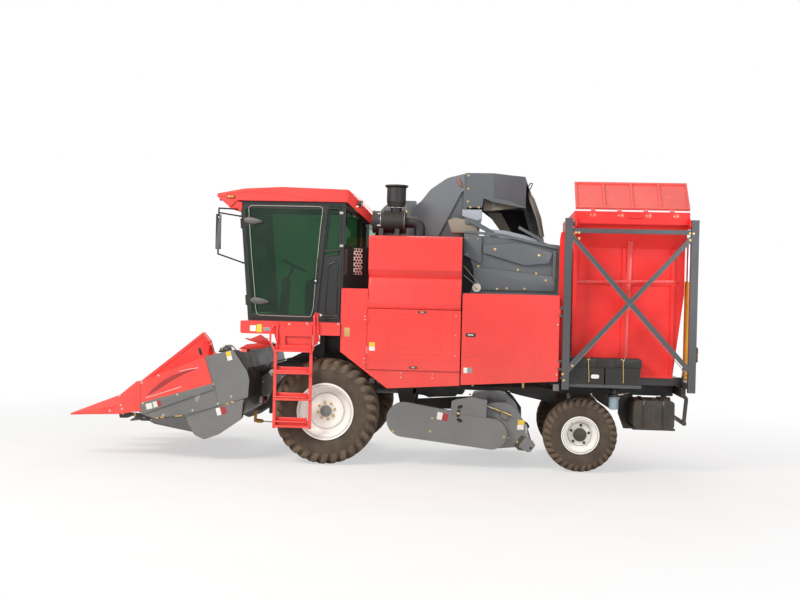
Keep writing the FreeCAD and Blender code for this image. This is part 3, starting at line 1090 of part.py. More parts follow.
# ================================================================ ear bin
def bin_parts():
    """Tipping ear bin with ribs, flared left lip and rim, its sloped flap, and the tip cylinders."""
    w, foot_y = BIN_WALL, BIN_FOOT_Y
    shelf_z = 2400.0
    side = [(BIN_Y0, BIN_Z0), (foot_y, BIN_Z0), (BIN_Y1, shelf_z), (BIN_Y1, BIN_Z1), (BIN_Y0, BIN_Z1)]
    side_in = [(BIN_Y0 + w, BIN_Z0 + w), (foot_y - w, BIN_Z0 + w), (BIN_Y1 - w, shelf_z),
               (BIN_Y1 - w, BIN_Z1 + 1), (BIN_Y0 + w, BIN_Z1 + 1)]
    flare = [(BIN_X0, BIN_Z0), (BIN_X1, BIN_Z0), (BIN_X1, BIN_FLARE_Z), (BIN_LIP_X, BIN_Z1 - 30),
             (BIN_LIP_X, BIN_Z1), (BIN_X0, BIN_Z1)]
    flare_in = [(BIN_X0 + w, BIN_Z0 + w), (BIN_X1 - w, BIN_Z0 + w), (BIN_X1 - w, BIN_FLARE_Z + 6),
                (BIN_LIP_X - w, BIN_Z1 - 24),
                (BIN_LIP_X - w, BIN_Z1 + 1), (BIN_X0 + w, BIN_Z1 + 1)]
    far = BIN_LIP_X + 1
    outer = slab_x(side, BIN_X0 - 1, far).common(slab_y(flare, BIN_Y0 - 1, BIN_Y1 + 1))
    inner = slab_x(side_in, BIN_X0 - 1, far).common(slab_y(flare_in, BIN_Y0 - 1, BIN_Y1 + 1))
    tub = outer.cut(inner)
    rim_z1 = BIN_Z1 + BIN_RIM
    rim = cut(box(BIN_X0 - 30, BIN_LIP_X + 30, BIN_Y0 - 10, BIN_Y1 + 18, BIN_Z1 - 20, rim_z1),
              box(BIN_X0 + w, BIN_LIP_X - w, BIN_Y0 + w, BIN_Y1 - w, BIN_Z1 - 30, rim_z1 + 10))
    rib, ribs = 26.0, []
    for x, top in ((BIN_X1, BIN_FLARE_Z), (BIN_X0 - rib, BIN_Z1)):
        for y in (BIN_Y0, (BIN_Y0 + foot_y) / 2 - 25, foot_y - 50):
            ribs.append(box(x, x + rib, y, y + 50, BIN_Z0, top))
        ribs.append(box(x, x + rib, BIN_Y0, foot_y + 20, 2520, 2570))
        ribs.append(box(x, x + rib, BIN_Y0, foot_y, BIN_Z0, BIN_Z0 + 50))
    ears = []
    for y in (BIN_Y0 - 10, BIN_Y1 - 4):
        ears.append(slab_y([(BIN_LIP_X - 20, BIN_PIVOT_Z - 46), (BIN_PIVOT_X + 46, BIN_PIVOT_Z - 46),
                            (BIN_PIVOT_X + 46, BIN_PIVOT_Z + 46), (BIN_LIP_X - 20,
                                                                   BIN_PIVOT_Z + 120)], y, y + 22, [0, 44,
                                                                                                    44, 0]))
    eye_x, eye_z = BIN_CYL_EYE
    front, rear = BIN_CYL_Y
    reach = 26 + JOINT_GAP
    pins = [cyl_y(eye_x, eye_z, 26, front + reach, BIN_Y0 + 1),
            cyl_y(eye_x, eye_z, 26, BIN_Y1 - 1, rear - reach),
            cyl_y(eye_x, eye_z, 60, BIN_Y0 - 10, BIN_Y0 + 1), cyl_y(eye_x, eye_z, 60, BIN_Y1 - 1,
                                                                    BIN_Y1 + 10)]
    bores = [cyl_y(BIN_PIVOT_X, BIN_PIVOT_Z, BIN_PIN_R + PIN_CLEAR, y, y + 40)
             for y in (BIN_Y0 - 20, BIN_Y1 - 10)]
    add("ear_bin", cut(fuse(tub, rim, ribs, ears, pins), bores))

    # flap: a ribbed panel that leans in over the bin from the rim's outer edge
    hx, hz = flap_hinge()
    y0, y1 = BIN_Y0 - 6, BIN_Y1 + 14
    lean = V(-330, 0, 372).normalize()
    out = V(lean.z, 0, -lean.x)
    length, thick = 500.0, 16.0
    base = V(hx - 6, y0, hz + DOOR_PIN_R + 5)

    def strip(from_d, to_d, from_t, to_t, ya, yb):
        p = [base + lean * d + out * t for d,
             t in ((from_d, from_t), (to_d, from_t), (to_d, to_t), (from_d, to_t))]
        p = [V(q.x, ya, q.z) for q in p]
        return Part.Face(Part.makePolygon(p + [p[0]])).extrude(V(0, yb - ya, 0))

    parts = [strip(0, length, 0, thick, y0, y1)]
    for i in range(5):
        y = y0 + i * (y1 - y0 - 30) / 4
        parts.append(strip(20, length, thick, thick + 20, y, y + 30))
    parts += [strip(0, 30, thick, thick + 20, y0, y1),
              strip(length - 30, length, thick, thick + 20, y0, y1)]
    for i in range(4):
        y = y0 + 200 + i * (y1 - y0 - 460) / 3
        parts.append(cyl_y(hx, hz, DOOR_PIN_R + 0.7, y, y + 60))
        parts.append(slab_y([(hx - 5, hz), (hx + 6, hz), (base.x + 14, base.z + 22),
                             (base.x - 8, base.z + 14)], y, y + 60))
    add("bin_flap", fuse(parts))

    # tip cylinders
    foot_x, foot_z = BIN_CYL_FOOT
    top_z = 2580.0
    barrels, rods = [], []
    for y in BIN_CYL_Y:
        tube = fuse(cyl_z(foot_x, y, 42, foot_z + 40, top_z), cyl_y(foot_x, foot_z, 34, y - 26, y + 26),
                    cyl_z(foot_x, y, 24, foot_z, foot_z + 60))
        barrels.append(cut(tube, cyl_z(foot_x, y, 23.5, foot_z + 70, top_z + 1),
                           cyl_y(foot_x, foot_z, 16 + PIN_CLEAR, y - 30, y + 30)))
        rods.append(fuse(cyl_z(eye_x, y, 23, top_z - 850, eye_z), cyl_y(eye_x, eye_z, 34, y - 26, y + 26)))
    add("bin_cylinder_barrels", barrels)
    add("bin_cylinder_rods", rods)


def flap_hinge():
    """(x, z) of the flap's hinge line, along the rim's outer top edge."""
    return BIN_LIP_X + 32.0, BIN_Z1 + BIN_RIM + DOOR_PIN_R + 1.0


def bin_support():
    """Portal frame at the left of the bin: posts, top bar, cross braces, cross beams and the pivot pins."""
    x0, x1 = POST_X0, POST_X0 + 92
    beam_z0, beam_z1 = RAIL_Z1, RAIL_Z1 + 76
    parts = []
    for y in (FRONT_POST_Y, REAR_POST_Y):
        parts.append(box(x0, x1, y - POST / 2, y + POST / 2, beam_z0 - 40, BIN_PIVOT_Z + 70))
        parts.append(box(-1240, x1, y - 40, y + 40, beam_z0, beam_z1))
    bar_z = BIN_PIVOT_Z - 90
    parts.append(box(x0 + 8, x0 + 70, FRONT_POST_Y, REAR_POST_Y, bar_z - 30, bar_z + 30))
    a, b = (x1 - 14, FRONT_POST_Y + 30, bar_z - 60), (x1 - 14, REAR_POST_Y - 30, 1400.0)
    c, d = (x1 - 14, REAR_POST_Y - 30, bar_z - 60), (x1 - 14, FRONT_POST_Y + 30, 1400.0)
    parts += [bar(a, b, 14, 62), bar(c, d, 14, 62)]
    for y0, y1 in ((FRONT_POST_Y + POST / 2 - 1, BIN_Y0 + 14), (BIN_Y1 - 6, REAR_POST_Y - POST / 2 + 1)):
        parts.append(cyl_y(BIN_PIVOT_X, BIN_PIVOT_Z, BIN_PIN_R, y0, y1))
    # fixed halves of the rear service door's hinges
    hinge_x, hinge_y = SIDE_X + JOINT_GAP + DOOR_T + 4 + 12, REAR_DOOR_Y1 + 6
    for z in REAR_HINGES:
        for low in (z - 30 - SEAT_GAP, z + 70 + SEAT_GAP):
            parts.append(cyl_z(hinge_x, hinge_y, DOOR_PIN_R, low, low + 30))
            parts.append(box(hinge_x - 6, hinge_x + 6, hinge_y, FRONT_POST_Y - POST / 2 + 1, low, low + 30))
    # cylinder feet
    fx, fz = BIN_CYL_FOOT
    for y in BIN_CYL_Y:
        parts.append(cyl_y(fx, fz, 16, y - 46, y + 46))
        for s in (-1, 1):
            ya, yb = sorted((y + s * 32, y + s * 46))
            parts.append(box(fx - 40, fx + 40, ya, yb, beam_z0 + 20, fz + 28))
    # rests under the bin
    for x in (-900.0, -20.0, 760.0):
        parts.append(box(x, x + 80, FRONT_POST_Y + 39, REAR_POST_Y - 39, beam_z0 + 10, BIN_Z0 - SEAT_GAP))
    rack, batteries = battery_rack()
    add("battery_boxes", batteries)
    add("bin_support_frame", fuse(parts, rack))


# ================================================================ other fittings
def fuel_tank():
    """Moulded fuel tank with its filler neck."""
    tank = slab_x([(TANK_Y0, TANK_Z0), (TANK_Y1, TANK_Z0), (TANK_Y1, TANK_Z1), (TANK_Y0, TANK_Z1)],
                  TANK_X0, TANK_X1, 45)
    add("fuel_tank", fuse(tank, cyl_z(1000, (TANK_Y0 + TANK_Y1) / 2, 40, TANK_Z1 - 1, TANK_Z1 + 35)))


def tank_cradle():
    """Shelf, hangers and two straps that hold the fuel tank under the rear of the left rail."""
    hold = slab_x([(TANK_Y0 - 90, TANK_Z0), (TANK_Y1 + 90, TANK_Z0), (TANK_Y1 + 90, TANK_Z1),
                   (TANK_Y0 - 90, TANK_Z1)],
                  TANK_X0, TANK_X1)
    parts = []
    for y in (TANK_Y0 + 110, TANK_Y1 - 160):
        strap = slab_x([(y, TANK_Z0 - 12), (y + 50, TANK_Z0 - 12), (y + 50, TANK_Z1 + 12),
                        (y, TANK_Z1 + 12)],
                       TANK_X0 - 12, TANK_X1 + 12)
        parts.append(cut(strap, hold))
    parts.append(box(RAIL_X1 - 30, TANK_X1 + 12, TANK_Y0 - 10, TANK_Y1 + 10, TANK_Z0 - 24, TANK_Z0))
    parts += [box(RAIL_X1 - 30, RAIL_X1 - 16, y, y + 60, TANK_Z0 - 24, RAIL_Z0 - SEAT_GAP)
              for y in (TANK_Y0 + 5, TANK_Y1 - 65)]
    return parts


def battery_rack():
    """Rack between the bin and its side frame, and the two battery boxes standing on it."""
    top = RAIL_Z1 + 30
    rack = [box(BIN_X1 - 100, SIDE_X - 14, BIN_Y0 - 39, BIN_Y0 + 905, top - 40, top)]
    rack += [box(830, BIN_X1 - 99, y, y + 60, top - 14, top) for y in (BIN_Y0 + 125, BIN_Y0 + 725)]
    boxes = [slab_x([(y, top), (y + 455, top), (y + 455, 1530), (y, 1530)], BIN_X1 + 36, SIDE_X - 20, 10)
             for y in (BIN_Y0 - 35, BIN_Y0 + 435)]
    return rack, boxes


def lift_cylinders():
    """Two head-lift cylinders: barrels pinned under the feeder, rods running back to the front axle."""
    barrels, rods = [], []
    (fy, fz), (ey, ez) = LIFT_FOOT, LIFT_EYE
    u = V(0, ey - fy, ez - fz).normalize()
    for s in (-1, 1):
        x = s * LIFT_X
        foot, eye = V(x, fy, fz), V(x, ey, ez)
        tube = fuse(Part.makeCylinder(36, 350, foot + u * 28, u), cyl_x(fy, fz, 32, x - 24, x + 24))
        barrels.append(cut(tube, cyl_x(fy, fz, LIFT_PIN_R + PIN_CLEAR, x - 30, x + 30),
                           Part.makeCylinder(20.5, 350, foot + u * 48, u)))
        rods.append(fuse(Part.makeCylinder(20, (eye - foot).Length - 190, foot + u * 190, u),
                         cyl_x(ey, ez, 30, x - 24, x + 24)))
    add("lift_cylinder_barrels", barrels)
    add("lift_cylinder_rods", rods)


# ================================================================ build
def build():
    """Makes every node."""
    wheels()
    front_axle()
    rear_axle()
    knuckles()
    frame = chassis_frame()
    add("chassis_frame", frame)
    add("shredder_hangers", cut(fuse(shredder_hangers()), frame))
    body_frame()
    side_panels()
    engine_hood()
    side_doors()
    engine()
    deck()
    ladder()
    cab_frame()
    cab_door()
    cab_windows()
    cab_roof()
    cab_fittings()
    mirrors()
    dividers()
    end_shields()
    head_frame()
    row_units()
    cross_auger()
    feeder()
    lift_cylinders()
    shredder()
    elevator()
    discharge_hood()
    husker()
    air_intake()
    bin_parts()
    bin_support()
    fuel_tank()


def write():
    """Writes one STEP file for each node, with the origin under the middle of the length."""
    os.makedirs("parts", exist_ok=True)
    for name, solids in NODES.items():
        shapes = []
        for solid in solids:
            copy = solid.copy()
            copy.translate(V(0, -ORIGIN_Y, 0))
            shapes.append(copy)
        shape = shapes[0] if len(shapes) == 1 else Part.makeCompound(shapes)
        valid = all(s.isValid() for s in shapes)
        volume = sum(s.Volume for s in shapes) / 1e9
        print(f"{name}: {len(shapes)} solids, {volume:.4f} m3{'' if valid else '  INVALID'}")
        shape.exportStep(f"parts/{name}.step")


build()
write()
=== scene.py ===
"""Looks of a corn harvester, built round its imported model: finishes, trim, tyres, seat and stage."""
import logging
import math
from dataclasses import dataclass, field
from enum import Enum
from typing import Sequence

import bpy
import numpy as np
from mathutils import Matrix, Vector
from mathutils.bvhtree import BVHTree


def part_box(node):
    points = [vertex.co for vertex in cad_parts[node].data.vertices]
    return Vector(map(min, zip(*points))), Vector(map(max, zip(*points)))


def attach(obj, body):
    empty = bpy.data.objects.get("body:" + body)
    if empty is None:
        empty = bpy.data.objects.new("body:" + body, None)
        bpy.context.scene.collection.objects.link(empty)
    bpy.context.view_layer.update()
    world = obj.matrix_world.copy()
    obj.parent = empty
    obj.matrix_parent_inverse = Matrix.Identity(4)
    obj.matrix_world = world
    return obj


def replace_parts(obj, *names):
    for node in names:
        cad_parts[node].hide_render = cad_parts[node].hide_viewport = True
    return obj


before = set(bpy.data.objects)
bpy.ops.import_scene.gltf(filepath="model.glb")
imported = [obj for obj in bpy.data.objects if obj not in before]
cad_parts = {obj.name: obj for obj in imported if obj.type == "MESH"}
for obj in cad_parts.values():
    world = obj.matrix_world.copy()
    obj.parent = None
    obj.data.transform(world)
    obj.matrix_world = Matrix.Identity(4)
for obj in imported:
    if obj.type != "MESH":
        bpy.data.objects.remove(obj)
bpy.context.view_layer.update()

LOG = logging.getLogger("harvester")

Array = np.ndarray
Point = tuple[float, float, float]
Shape = tuple[Array, list]                  # points and faces
Outline = Sequence[Sequence[float]]
Socket = bpy.types.NodeSocket
LEFT, RIGHT, AHEAD, BACK, UP = (1, 0, 0), (-1, 0, 0), (0, -1, 0), (0, 1, 0), (0, 0, 1)
ORIGIN = np.zeros(3)
ACROSS = np.array((-1.0, 1.0, 1.0))         # turns a place into its mirror image


# --- places
def corners(node: str) -> tuple[Array, Array]:
    """Lowest and highest corner of a CAD node, in metres."""
    low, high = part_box(node)
    return np.array(low), np.array(high)


WHEELS = ("front_left", "front_right", "rear_left", "rear_right")
AXLE_Y = float(sum(corners("front_left_rim"))[1]) / 2


def spot(x: float, y: float, z: float) -> Array:
    """A place measured from the ground under the middle of the front axle, in metres."""
    return np.array((x, AXLE_Y + y, z))


def wall(x: float, *pairs: Sequence[float]) -> Array:
    """Places at one x from (y, z) pairs, measured as in spot."""
    return np.array([spot(x, y, z) for y, z in pairs])


def row_of(start: Array, end: Array, count: int) -> Array:
    """Evenly spaced places from start to end."""
    return start + (end - start) * np.linspace(0, 1, count)[:, None]


def strip(x: float, start: Sequence[float], end: Sequence[float], count: int) -> Array:
    """Evenly spaced places at one x from one (y, z) to another."""
    return row_of(*wall(x, start, end), count)


# --- surfaces
@dataclass
class Surface:
    """A mesh being put together from whole arrays of points and faces.

    Args:
        name: name of the piece.
        finishes: materials of the piece, in the order that parts refer to them.
        points: arrays of points added so far.
        faces: faces added so far, as indices into all the points.
        marks: position of each face's finish.
        count: number of points added so far.
    """

    name: str
    finishes: Sequence["Finish"]
    points: list[Array] = field(default_factory=list)
    faces: list[tuple[int, ...]] = field(default_factory=list)
    marks: list[int] = field(default_factory=list)
    count: int = 0

    def add(self, shape: Shape, finish: int = 0) -> None:
        """Adds a shape in one finish.

        Args:
            shape: points (n, 3) and the faces that index into them.
            finish: position of its finish among the surface's finishes.
        """
        points, faces = shape
        self.points.append(np.asarray(points, float).reshape(-1, 3))
        self.faces += [tuple(int(i) + self.count for i in face) for face in faces]
        self.marks += [finish] * len(faces)
        self.count += len(self.points[-1])

    def both(self, shape: Shape, finish: int = 0) -> None:
        """Adds a shape and its mirror image across the machine."""
        self.add(shape, finish)
        self.add(mirror(shape), finish)

    def slab(self, outline: Outline, x: float, depth: float, bevel: float = 0.002, finish: int = 0,
             corner: float = 0.0, both: bool = False) -> None:
        """Adds a plate that faces left.

        Args:
            outline: (y, z) points, measured as in spot.
            x: where its inner face lies.
            depth: thickness.
            bevel: radius of its rims.
            finish: number of its finish.
            corner: radius of the outline's corners; 0 leaves them sharp.
            both: whether its mirror image is added too.
        """
        drawn = rounded(outline, corner) if corner > 0 else outline
        (self.both if both else self.add)(plate(drawn, spot(x, 0, 0), Facing.LEFT, depth, bevel), finish)

    def slabs(self, outline: Outline, x: float, depth: float, bevel: float = 0.002, finish: int = 0,
              corner: float = 0.0) -> None:
        """Adds a plate that faces left and its mirror image."""
        self.slab(outline, x, depth, bevel, finish, corner, True)

    def loop(self, outline: Outline, x: float, section: Array, finish: int = 0, both: bool = False) -> None:
        """Adds a section carried round a closed (y, z) outline at one x, on one side or on both."""
        shape = sweep(wall(x, *outline), section, closed=True, up=LEFT)
        (self.both if both else self.add)(shape, finish)

    def stamp(self, shape: Shape, places: Array, finish: int = 0) -> None:
        """Repeats one small shape at many places.

        Args:
            shape: points and faces round the origin.
            places: (n, 3) places.
            finish: position of its finish among the surface's finishes.
        """
        points, faces = shape
        places = np.atleast_2d(places)
        block = places[:, None, :] + points[None, :, :]
        tiled = [[i + k * len(points) for i in face] for k in range(len(places)) for face in faces]
        self.add((block, tiled), finish)

    def piece(self, body: str, slot: str, smooth: float = 35.0) -> bpy.types.Object:
        """Makes the object, shades it and lets it ride on a body.

        Args:
            body: CAD body that the piece moves with.
            slot: name of a material slot; not used.
            smooth: angle in degrees under which neighbouring faces are shaded as one.

        Returns:
            The new object.
        """
        mesh = bpy.data.meshes.new(self.name)
        mesh.from_pydata(np.concatenate(self.points).tolist(), [], self.faces)
        for finish in self.finishes:
            mesh.materials.append(finish.material())
        mesh.polygons.foreach_set("material_index", np.array(self.marks, np.int32))
        mesh.shade_smooth()
        mesh.set_sharp_from_angle(angle=math.radians(smooth))
        mesh.validate()
        mesh.update()
        made = bpy.data.objects.new(self.name, mesh)
        bpy.context.scene.collection.objects.link(made)
        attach(made, body)
        LOG.info("%s: %d faces on %s", self.name, len(self.faces), body)
        return made


def lattice(rows: int, columns: int, wrap_rows: bool = False, wrap_columns: bool = False) -> list[list[int]]:
    """Quads of a grid of points counted row by row.

    Args:
        rows: number of rows.
        columns: points in a row.
        wrap_rows: whether the last row joins the first.
        wrap_columns: whether the last column joins the first.

    Returns:
        Index quads.
    """
    i, j = np.meshgrid(np.arange(rows if wrap_rows else rows - 1),
                       np.arange(columns if wrap_columns else columns - 1), indexing="ij")
    i, j = i.ravel(), j.ravel()
    a, b = (i + 1) % rows, (j + 1) % columns
    return np.stack([i * columns + j, i * columns + b, a * columns + b, a * columns + j], 1).tolist()


def ends(rows: int, columns: int) -> list[list[int]]:
    """The two flat faces that close a tube of rows rings."""
    last = (rows - 1) * columns
    return [list(range(columns))[::-1], [last + i for i in range(columns)]]


def smooth_line(points: Sequence[Sequence[float]], count: int) -> Array:
    """A curve through points: between two of them each coordinate is the cubic of Catmull and Rom.

    Args:
        points: (n, 3) or (n, 2) points to pass through.
        count: number of points along the whole curve.

    Returns:
        (count, 3) or (count, 2) points.
    """
    p = np.asarray(points, float)
    t = np.linspace(0, len(p) - 1, count)
    k = np.minimum(t.astype(int), len(p) - 2)
    u = (t - k)[:, None]
    a, b, c, d = (p[np.clip(k + step, 0, len(p) - 1)] for step in (-1, 0, 1, 2))
    return 0.5 * (2 * b + (c - a) * u + (2 * a - 5 * b + 4 * c - d) * u**2 + (3 * b - a - 3 * c + d) * u**3)


def circle(radius: float, sides: int, turn: float = 0.0) -> Array:
    """Points (cos, sin) times radius, evenly round a circle."""
    a = np.linspace(0, 2 * np.pi, sides, endpoint=False) + turn
    return radius * np.stack([np.cos(a), np.sin(a)], 1)


def rounded(outline: Outline, radius: float, steps: int = 4) -> Array:
    """An outline with its corners replaced by arcs, each tangent to both of its sides.

    Args:
        outline: closed (n, 2) outline.
        radius: radius of the arcs, less where a side is short.
        steps: number of pieces of each arc.

    Returns:
        (m, 2) points of the rounded outline.
    """
    p = np.asarray(outline, float)
    made = []
    for a, b, c in zip(np.roll(p, 1, 0), p, np.roll(p, -1, 0)):
        u, w = a - b, c - b
        lu, lw = np.linalg.norm(u), np.linalg.norm(w)
        u, w = u / lu, w / lw
        half = math.acos(float(np.clip(u @ w, -1, 1))) / 2
        back = min(radius / math.tan(half), lu * 0.45, lw * 0.45)
        if back < 1e-5 or half > 1.5:
            made.append(b[None, :])
            continue
        r = back * math.tan(half)
        centre = b + (u + w) / np.linalg.norm(u + w) * (r / math.sin(half))
        start, end = b + u * back - centre, b + w * back - centre
        turn = math.atan2(start[0] * end[1] - start[1] * end[0], start @ end)
        t = np.linspace(0, turn, steps + 1)
        made.append(centre + np.stack([start[0] * np.cos(t) - start[1] * np.sin(t),
                                       start[0] * np.sin(t) + start[1] * np.cos(t)], 1))
    return np.concatenate(made)


def signed_area(outline: Array) -> float:
    """Twice the area of an outline, below 0 if it runs clockwise."""
    x, y = outline[:, 0], outline[:, 1]
    return float(np.sum(x * np.roll(y, -1) - np.roll(x, -1) * y))


def inset(outline: Array, amount: float) -> Array:
    """The outline with each point moved inwards along the mean of its two sides' normals.

    Args:
        outline: closed (n, 2) outline.
        amount: how far each side moves.

    Returns:
        (n, 2) points.
    """
    normals = []
    for side in (np.roll(outline, -1, 0) - outline, outline - np.roll(outline, 1, 0)):
        normal = np.stack([-side[:, 1], side[:, 0]], 1)
        normals.append(normal / np.maximum(np.linalg.norm(normal, axis=1, keepdims=True), 1e-9))
    mean = normals[0] + normals[1]
    mean /= np.maximum((mean * normals[0]).sum(1, keepdims=True), 0.4)
    return outline + mean * amount * math.copysign(1.0, signed_area(outline))


class Facing(Enum):
    """The plane that a flat part is drawn in, as the axes of its outline and of its depth."""

    LEFT = ((0, 1, 0), (0, 0, 1), (1, 0, 0))
    RIGHT = ((0, -1, 0), (0, 0, 1), (-1, 0, 0))
    REAR = ((-1, 0, 0), (0, 0, 1), (0, 1, 0))
    UP = ((1, 0, 0), (0, 1, 0), (0, 0, 1))


def plate(outline: Outline, origin: Array, axes: Facing | Sequence[Sequence[float]], depth: float,
          bevel: float = 0.002) -> Shape:
    """A slab from an outline, with rounded rims.

    The point of outline corner k at level d is origin + u * outline_x + v * outline_y + w * d, and near
    both ends the outline is drawn in by a quarter round of the bevel.

    Args:
        outline: (n, 2) points, either way round.
        origin: where the outline's (0, 0) lies.
        axes: the outline's two axes and the axis of its depth.
        depth: thickness along the third axis.
        bevel: radius of the rims.

    Returns:
        Points and faces.
    """
    outline = np.asarray(outline, float)
    u, v, w = (np.array(a, float) for a in (axes.value if isinstance(axes, Facing) else axes))
    bevel = min(bevel, depth / 2.2)
    angle = np.radians([0.0, 30.0, 60.0, 90.0])
    rise, pull_in = bevel * (1 - np.cos(angle)), bevel * (1 - np.sin(angle))
    levels = np.concatenate([rise, depth - rise[::-1]])
    rings = []
    for level, pull in zip(levels, np.concatenate([pull_in, pull_in[::-1]])):
        flat = inset(outline, pull) if pull > 0 else outline
        rings.append(origin + flat[:, :1] * u + flat[:, 1:] * v + level * w)
    faces = lattice(len(rings), len(outline), wrap_columns=True) + ends(len(rings), len(outline))
    if float(np.dot(np.cross(u, v), w)) * signed_area(outline) < 0:
        faces = [face[::-1] for face in faces]
    return np.concatenate(rings), faces


def rectangle(wide: float, high: float, radius: float = 0.0, steps: int = 3) -> Array:
    """A centred rectangle, with rounded corners if a radius is given."""
    p = np.array([(-wide, -high), (wide, -high), (wide, high), (-wide, high)]) / 2
    return rounded(p, radius, steps) if radius > 0 else p


def lathe(profile: Outline, origin: Array, axis: Sequence[float], sides: int = 24, turn: float = 0.0) -> Shape:
    """A profile of (height, radius) turned about an axis: p(h, a) = origin + axis h + (e cos a + f sin a) r(h).

    Args:
        profile: heights along the axis and radii, from the start to the end.
        origin: point of the axis at height 0.
        axis: direction of the axis.
        sides: divisions round the axis.
        turn: angle of the first division.

    Returns:
        Points and faces, with both ends closed.
    """
    w = np.array(axis, float)
    w /= np.linalg.norm(w)
    e = np.cross(w, UP if abs(w[2]) < 0.9 else LEFT)
    e /= np.linalg.norm(e)
    f = np.cross(w, e)
    ring = circle(1.0, sides, turn)
    around = ring[:, :1] * e + ring[:, 1:] * f
    h, r = np.asarray(profile, float).T
    points = (origin + h[:, None, None] * w + r[:, None, None] * around[None]).reshape(-1, 3)
    return points, lattice(len(h), sides, wrap_columns=True) + ends(len(h), sides)


def sweep(path: Array, section: Array, closed: bool = False, up: Sequence[float] = UP) -> Shape:
    """A section carried along a path: p(i, j) = path_i + side_i s_j + top_i t_j.

    Args:
        path: (n, 3) points.
        section: (m, 2) closed outline, in the side and top directions.
        closed: whether the path returns to its start.
        up: a direction that the section's top leans towards.

    Returns:
        Points and faces.
    """
    path = np.asarray(path, float)
    along = np.roll(path, -1, 0) - np.roll(path, 1, 0) if closed else np.gradient(path, axis=0)
    along /= np.linalg.norm(along, axis=1, keepdims=True)
    up = np.array(up, float)
    if np.abs(along @ up).max() > 0.97:
        up = np.array(LEFT if abs(up[0]) < 0.5 else BACK, float)
    side = np.cross(along, up)
    side /= np.linalg.norm(side, axis=1, keepdims=True)
    top = np.cross(side, along)
    points = path[:, None] + side[:, None] * section[None, :, :1] + top[:, None] * section[None, :, 1:]
    n, m = len(path), len(section)
    faces = lattice(n, m, wrap_rows=closed, wrap_columns=True) + ([] if closed else ends(n, m))
    return points.reshape(-1, 3), faces


def tube(points: Sequence[Sequence[float]], radius: float, bend: float = 0.0, sides: int = 10) -> Shape:
    """A round bar through points, its corners eased by sampling a rounded line.

    Args:
        points: (n, 3) places along the bar's middle.
        radius: radius of the bar.
        bend: length of each side that a corner's curve takes up; 0 leaves the corners sharp.
        sides: number of sides of the section.

    Returns:
        Points and faces.
    """
    p = np.asarray(points, float)
    if bend > 0 and len(p) > 2:
        made = [p[:1]]
        for a, b, c in zip(p, p[1:], p[2:]):
            u, w = (a - b) / np.linalg.norm(a - b), (c - b) / np.linalg.norm(c - b)
            start, end = b + u * bend, b + w * bend
            t = np.linspace(0, 1, 6)[:, None]
            made.append(start * (1 - t) ** 2 + 2 * b * t * (1 - t) + end * t**2)
        p = np.concatenate(made + [p[-1:]])
    return sweep(p, circle(radius, sides))


def hexagon_bolt(radius: float, height: float, axis: Sequence[float]) -> Shape:
    """A hexagonal head on its washer, standing on the origin along an axis.

    Args:
        radius: radius over the head's corners.
        height: height of washer and head together.
        axis: the way that the head stands out.

    Returns:
        Points and faces.
    """
    washer = lathe([(0, 0.001), (0, radius * 1.5), (height * 0.22, radius * 1.5), (height * 0.26, radius * 1.42),
                    (height * 0.26, radius * 0.9)], ORIGIN, axis, 12)
    head = lathe([(height * 0.2, radius), (height * 0.85, radius), (height, radius * 0.84)], ORIGIN, axis, 6)
    offset = len(washer[0])
    return np.concatenate([washer[0], head[0]]), washer[1] + [[i + offset for i in face] for face in head[1]]


def dome_screw(radius: float, height: float, axis: Sequence[float]) -> Shape:
    """A low domed head: its radius falls off as a quarter ellipse of its height.

    Args:
        radius: radius at the foot.
        height: height of the dome.
        axis: the way that the head stands out.

    Returns:
        Points and faces.
    """
    t = np.linspace(0, 1, 4) * np.pi / 2
    profile = np.stack([height * np.sin(t), np.maximum(radius * np.cos(t), radius * 0.08)], 1)
    return lathe(profile, ORIGIN, axis, 10)


def mirror(shape: Shape) -> Shape:
    """The same shape on the machine's other side: x changes sign, so every face turns round."""
    points, faces = shape
    return points * ACROSS, [list(face)[::-1] for face in faces]


# --- finishes
def colour(code: str) -> tuple[float, float, float, float]:
    """An sRGB hex value as linear colour: each channel c is ((c + 0.055) / 1.055) to the power 2.4."""
    parts = (int(code[i:i + 2], 16) / 255 for i in (1, 3, 5))
    return (*(c / 12.92 if c <= 0.04045 else ((c + 0.055) / 1.055) ** 2.4 for c in parts), 1.0)


DUST = colour("#A38F78")        # dry field soil
SOIL = colour("#85725F")        # soil rubbed into rubber
RUBBED = colour("#3D362F")      # rubber where its bloom is worn off
RUST = colour("#6B3A22")        # iron oxide
HAZE = colour("#8F9B8C")        # dust film on glass
GLOSS = (0.55, 0.85, 0.68, 1.0)     # what tinted glass leaves of a reflection
WHITE = (1.0, 1.0, 1.0, 1.0)
SOLID = (1.0,)                  # alpha of an opaque colour


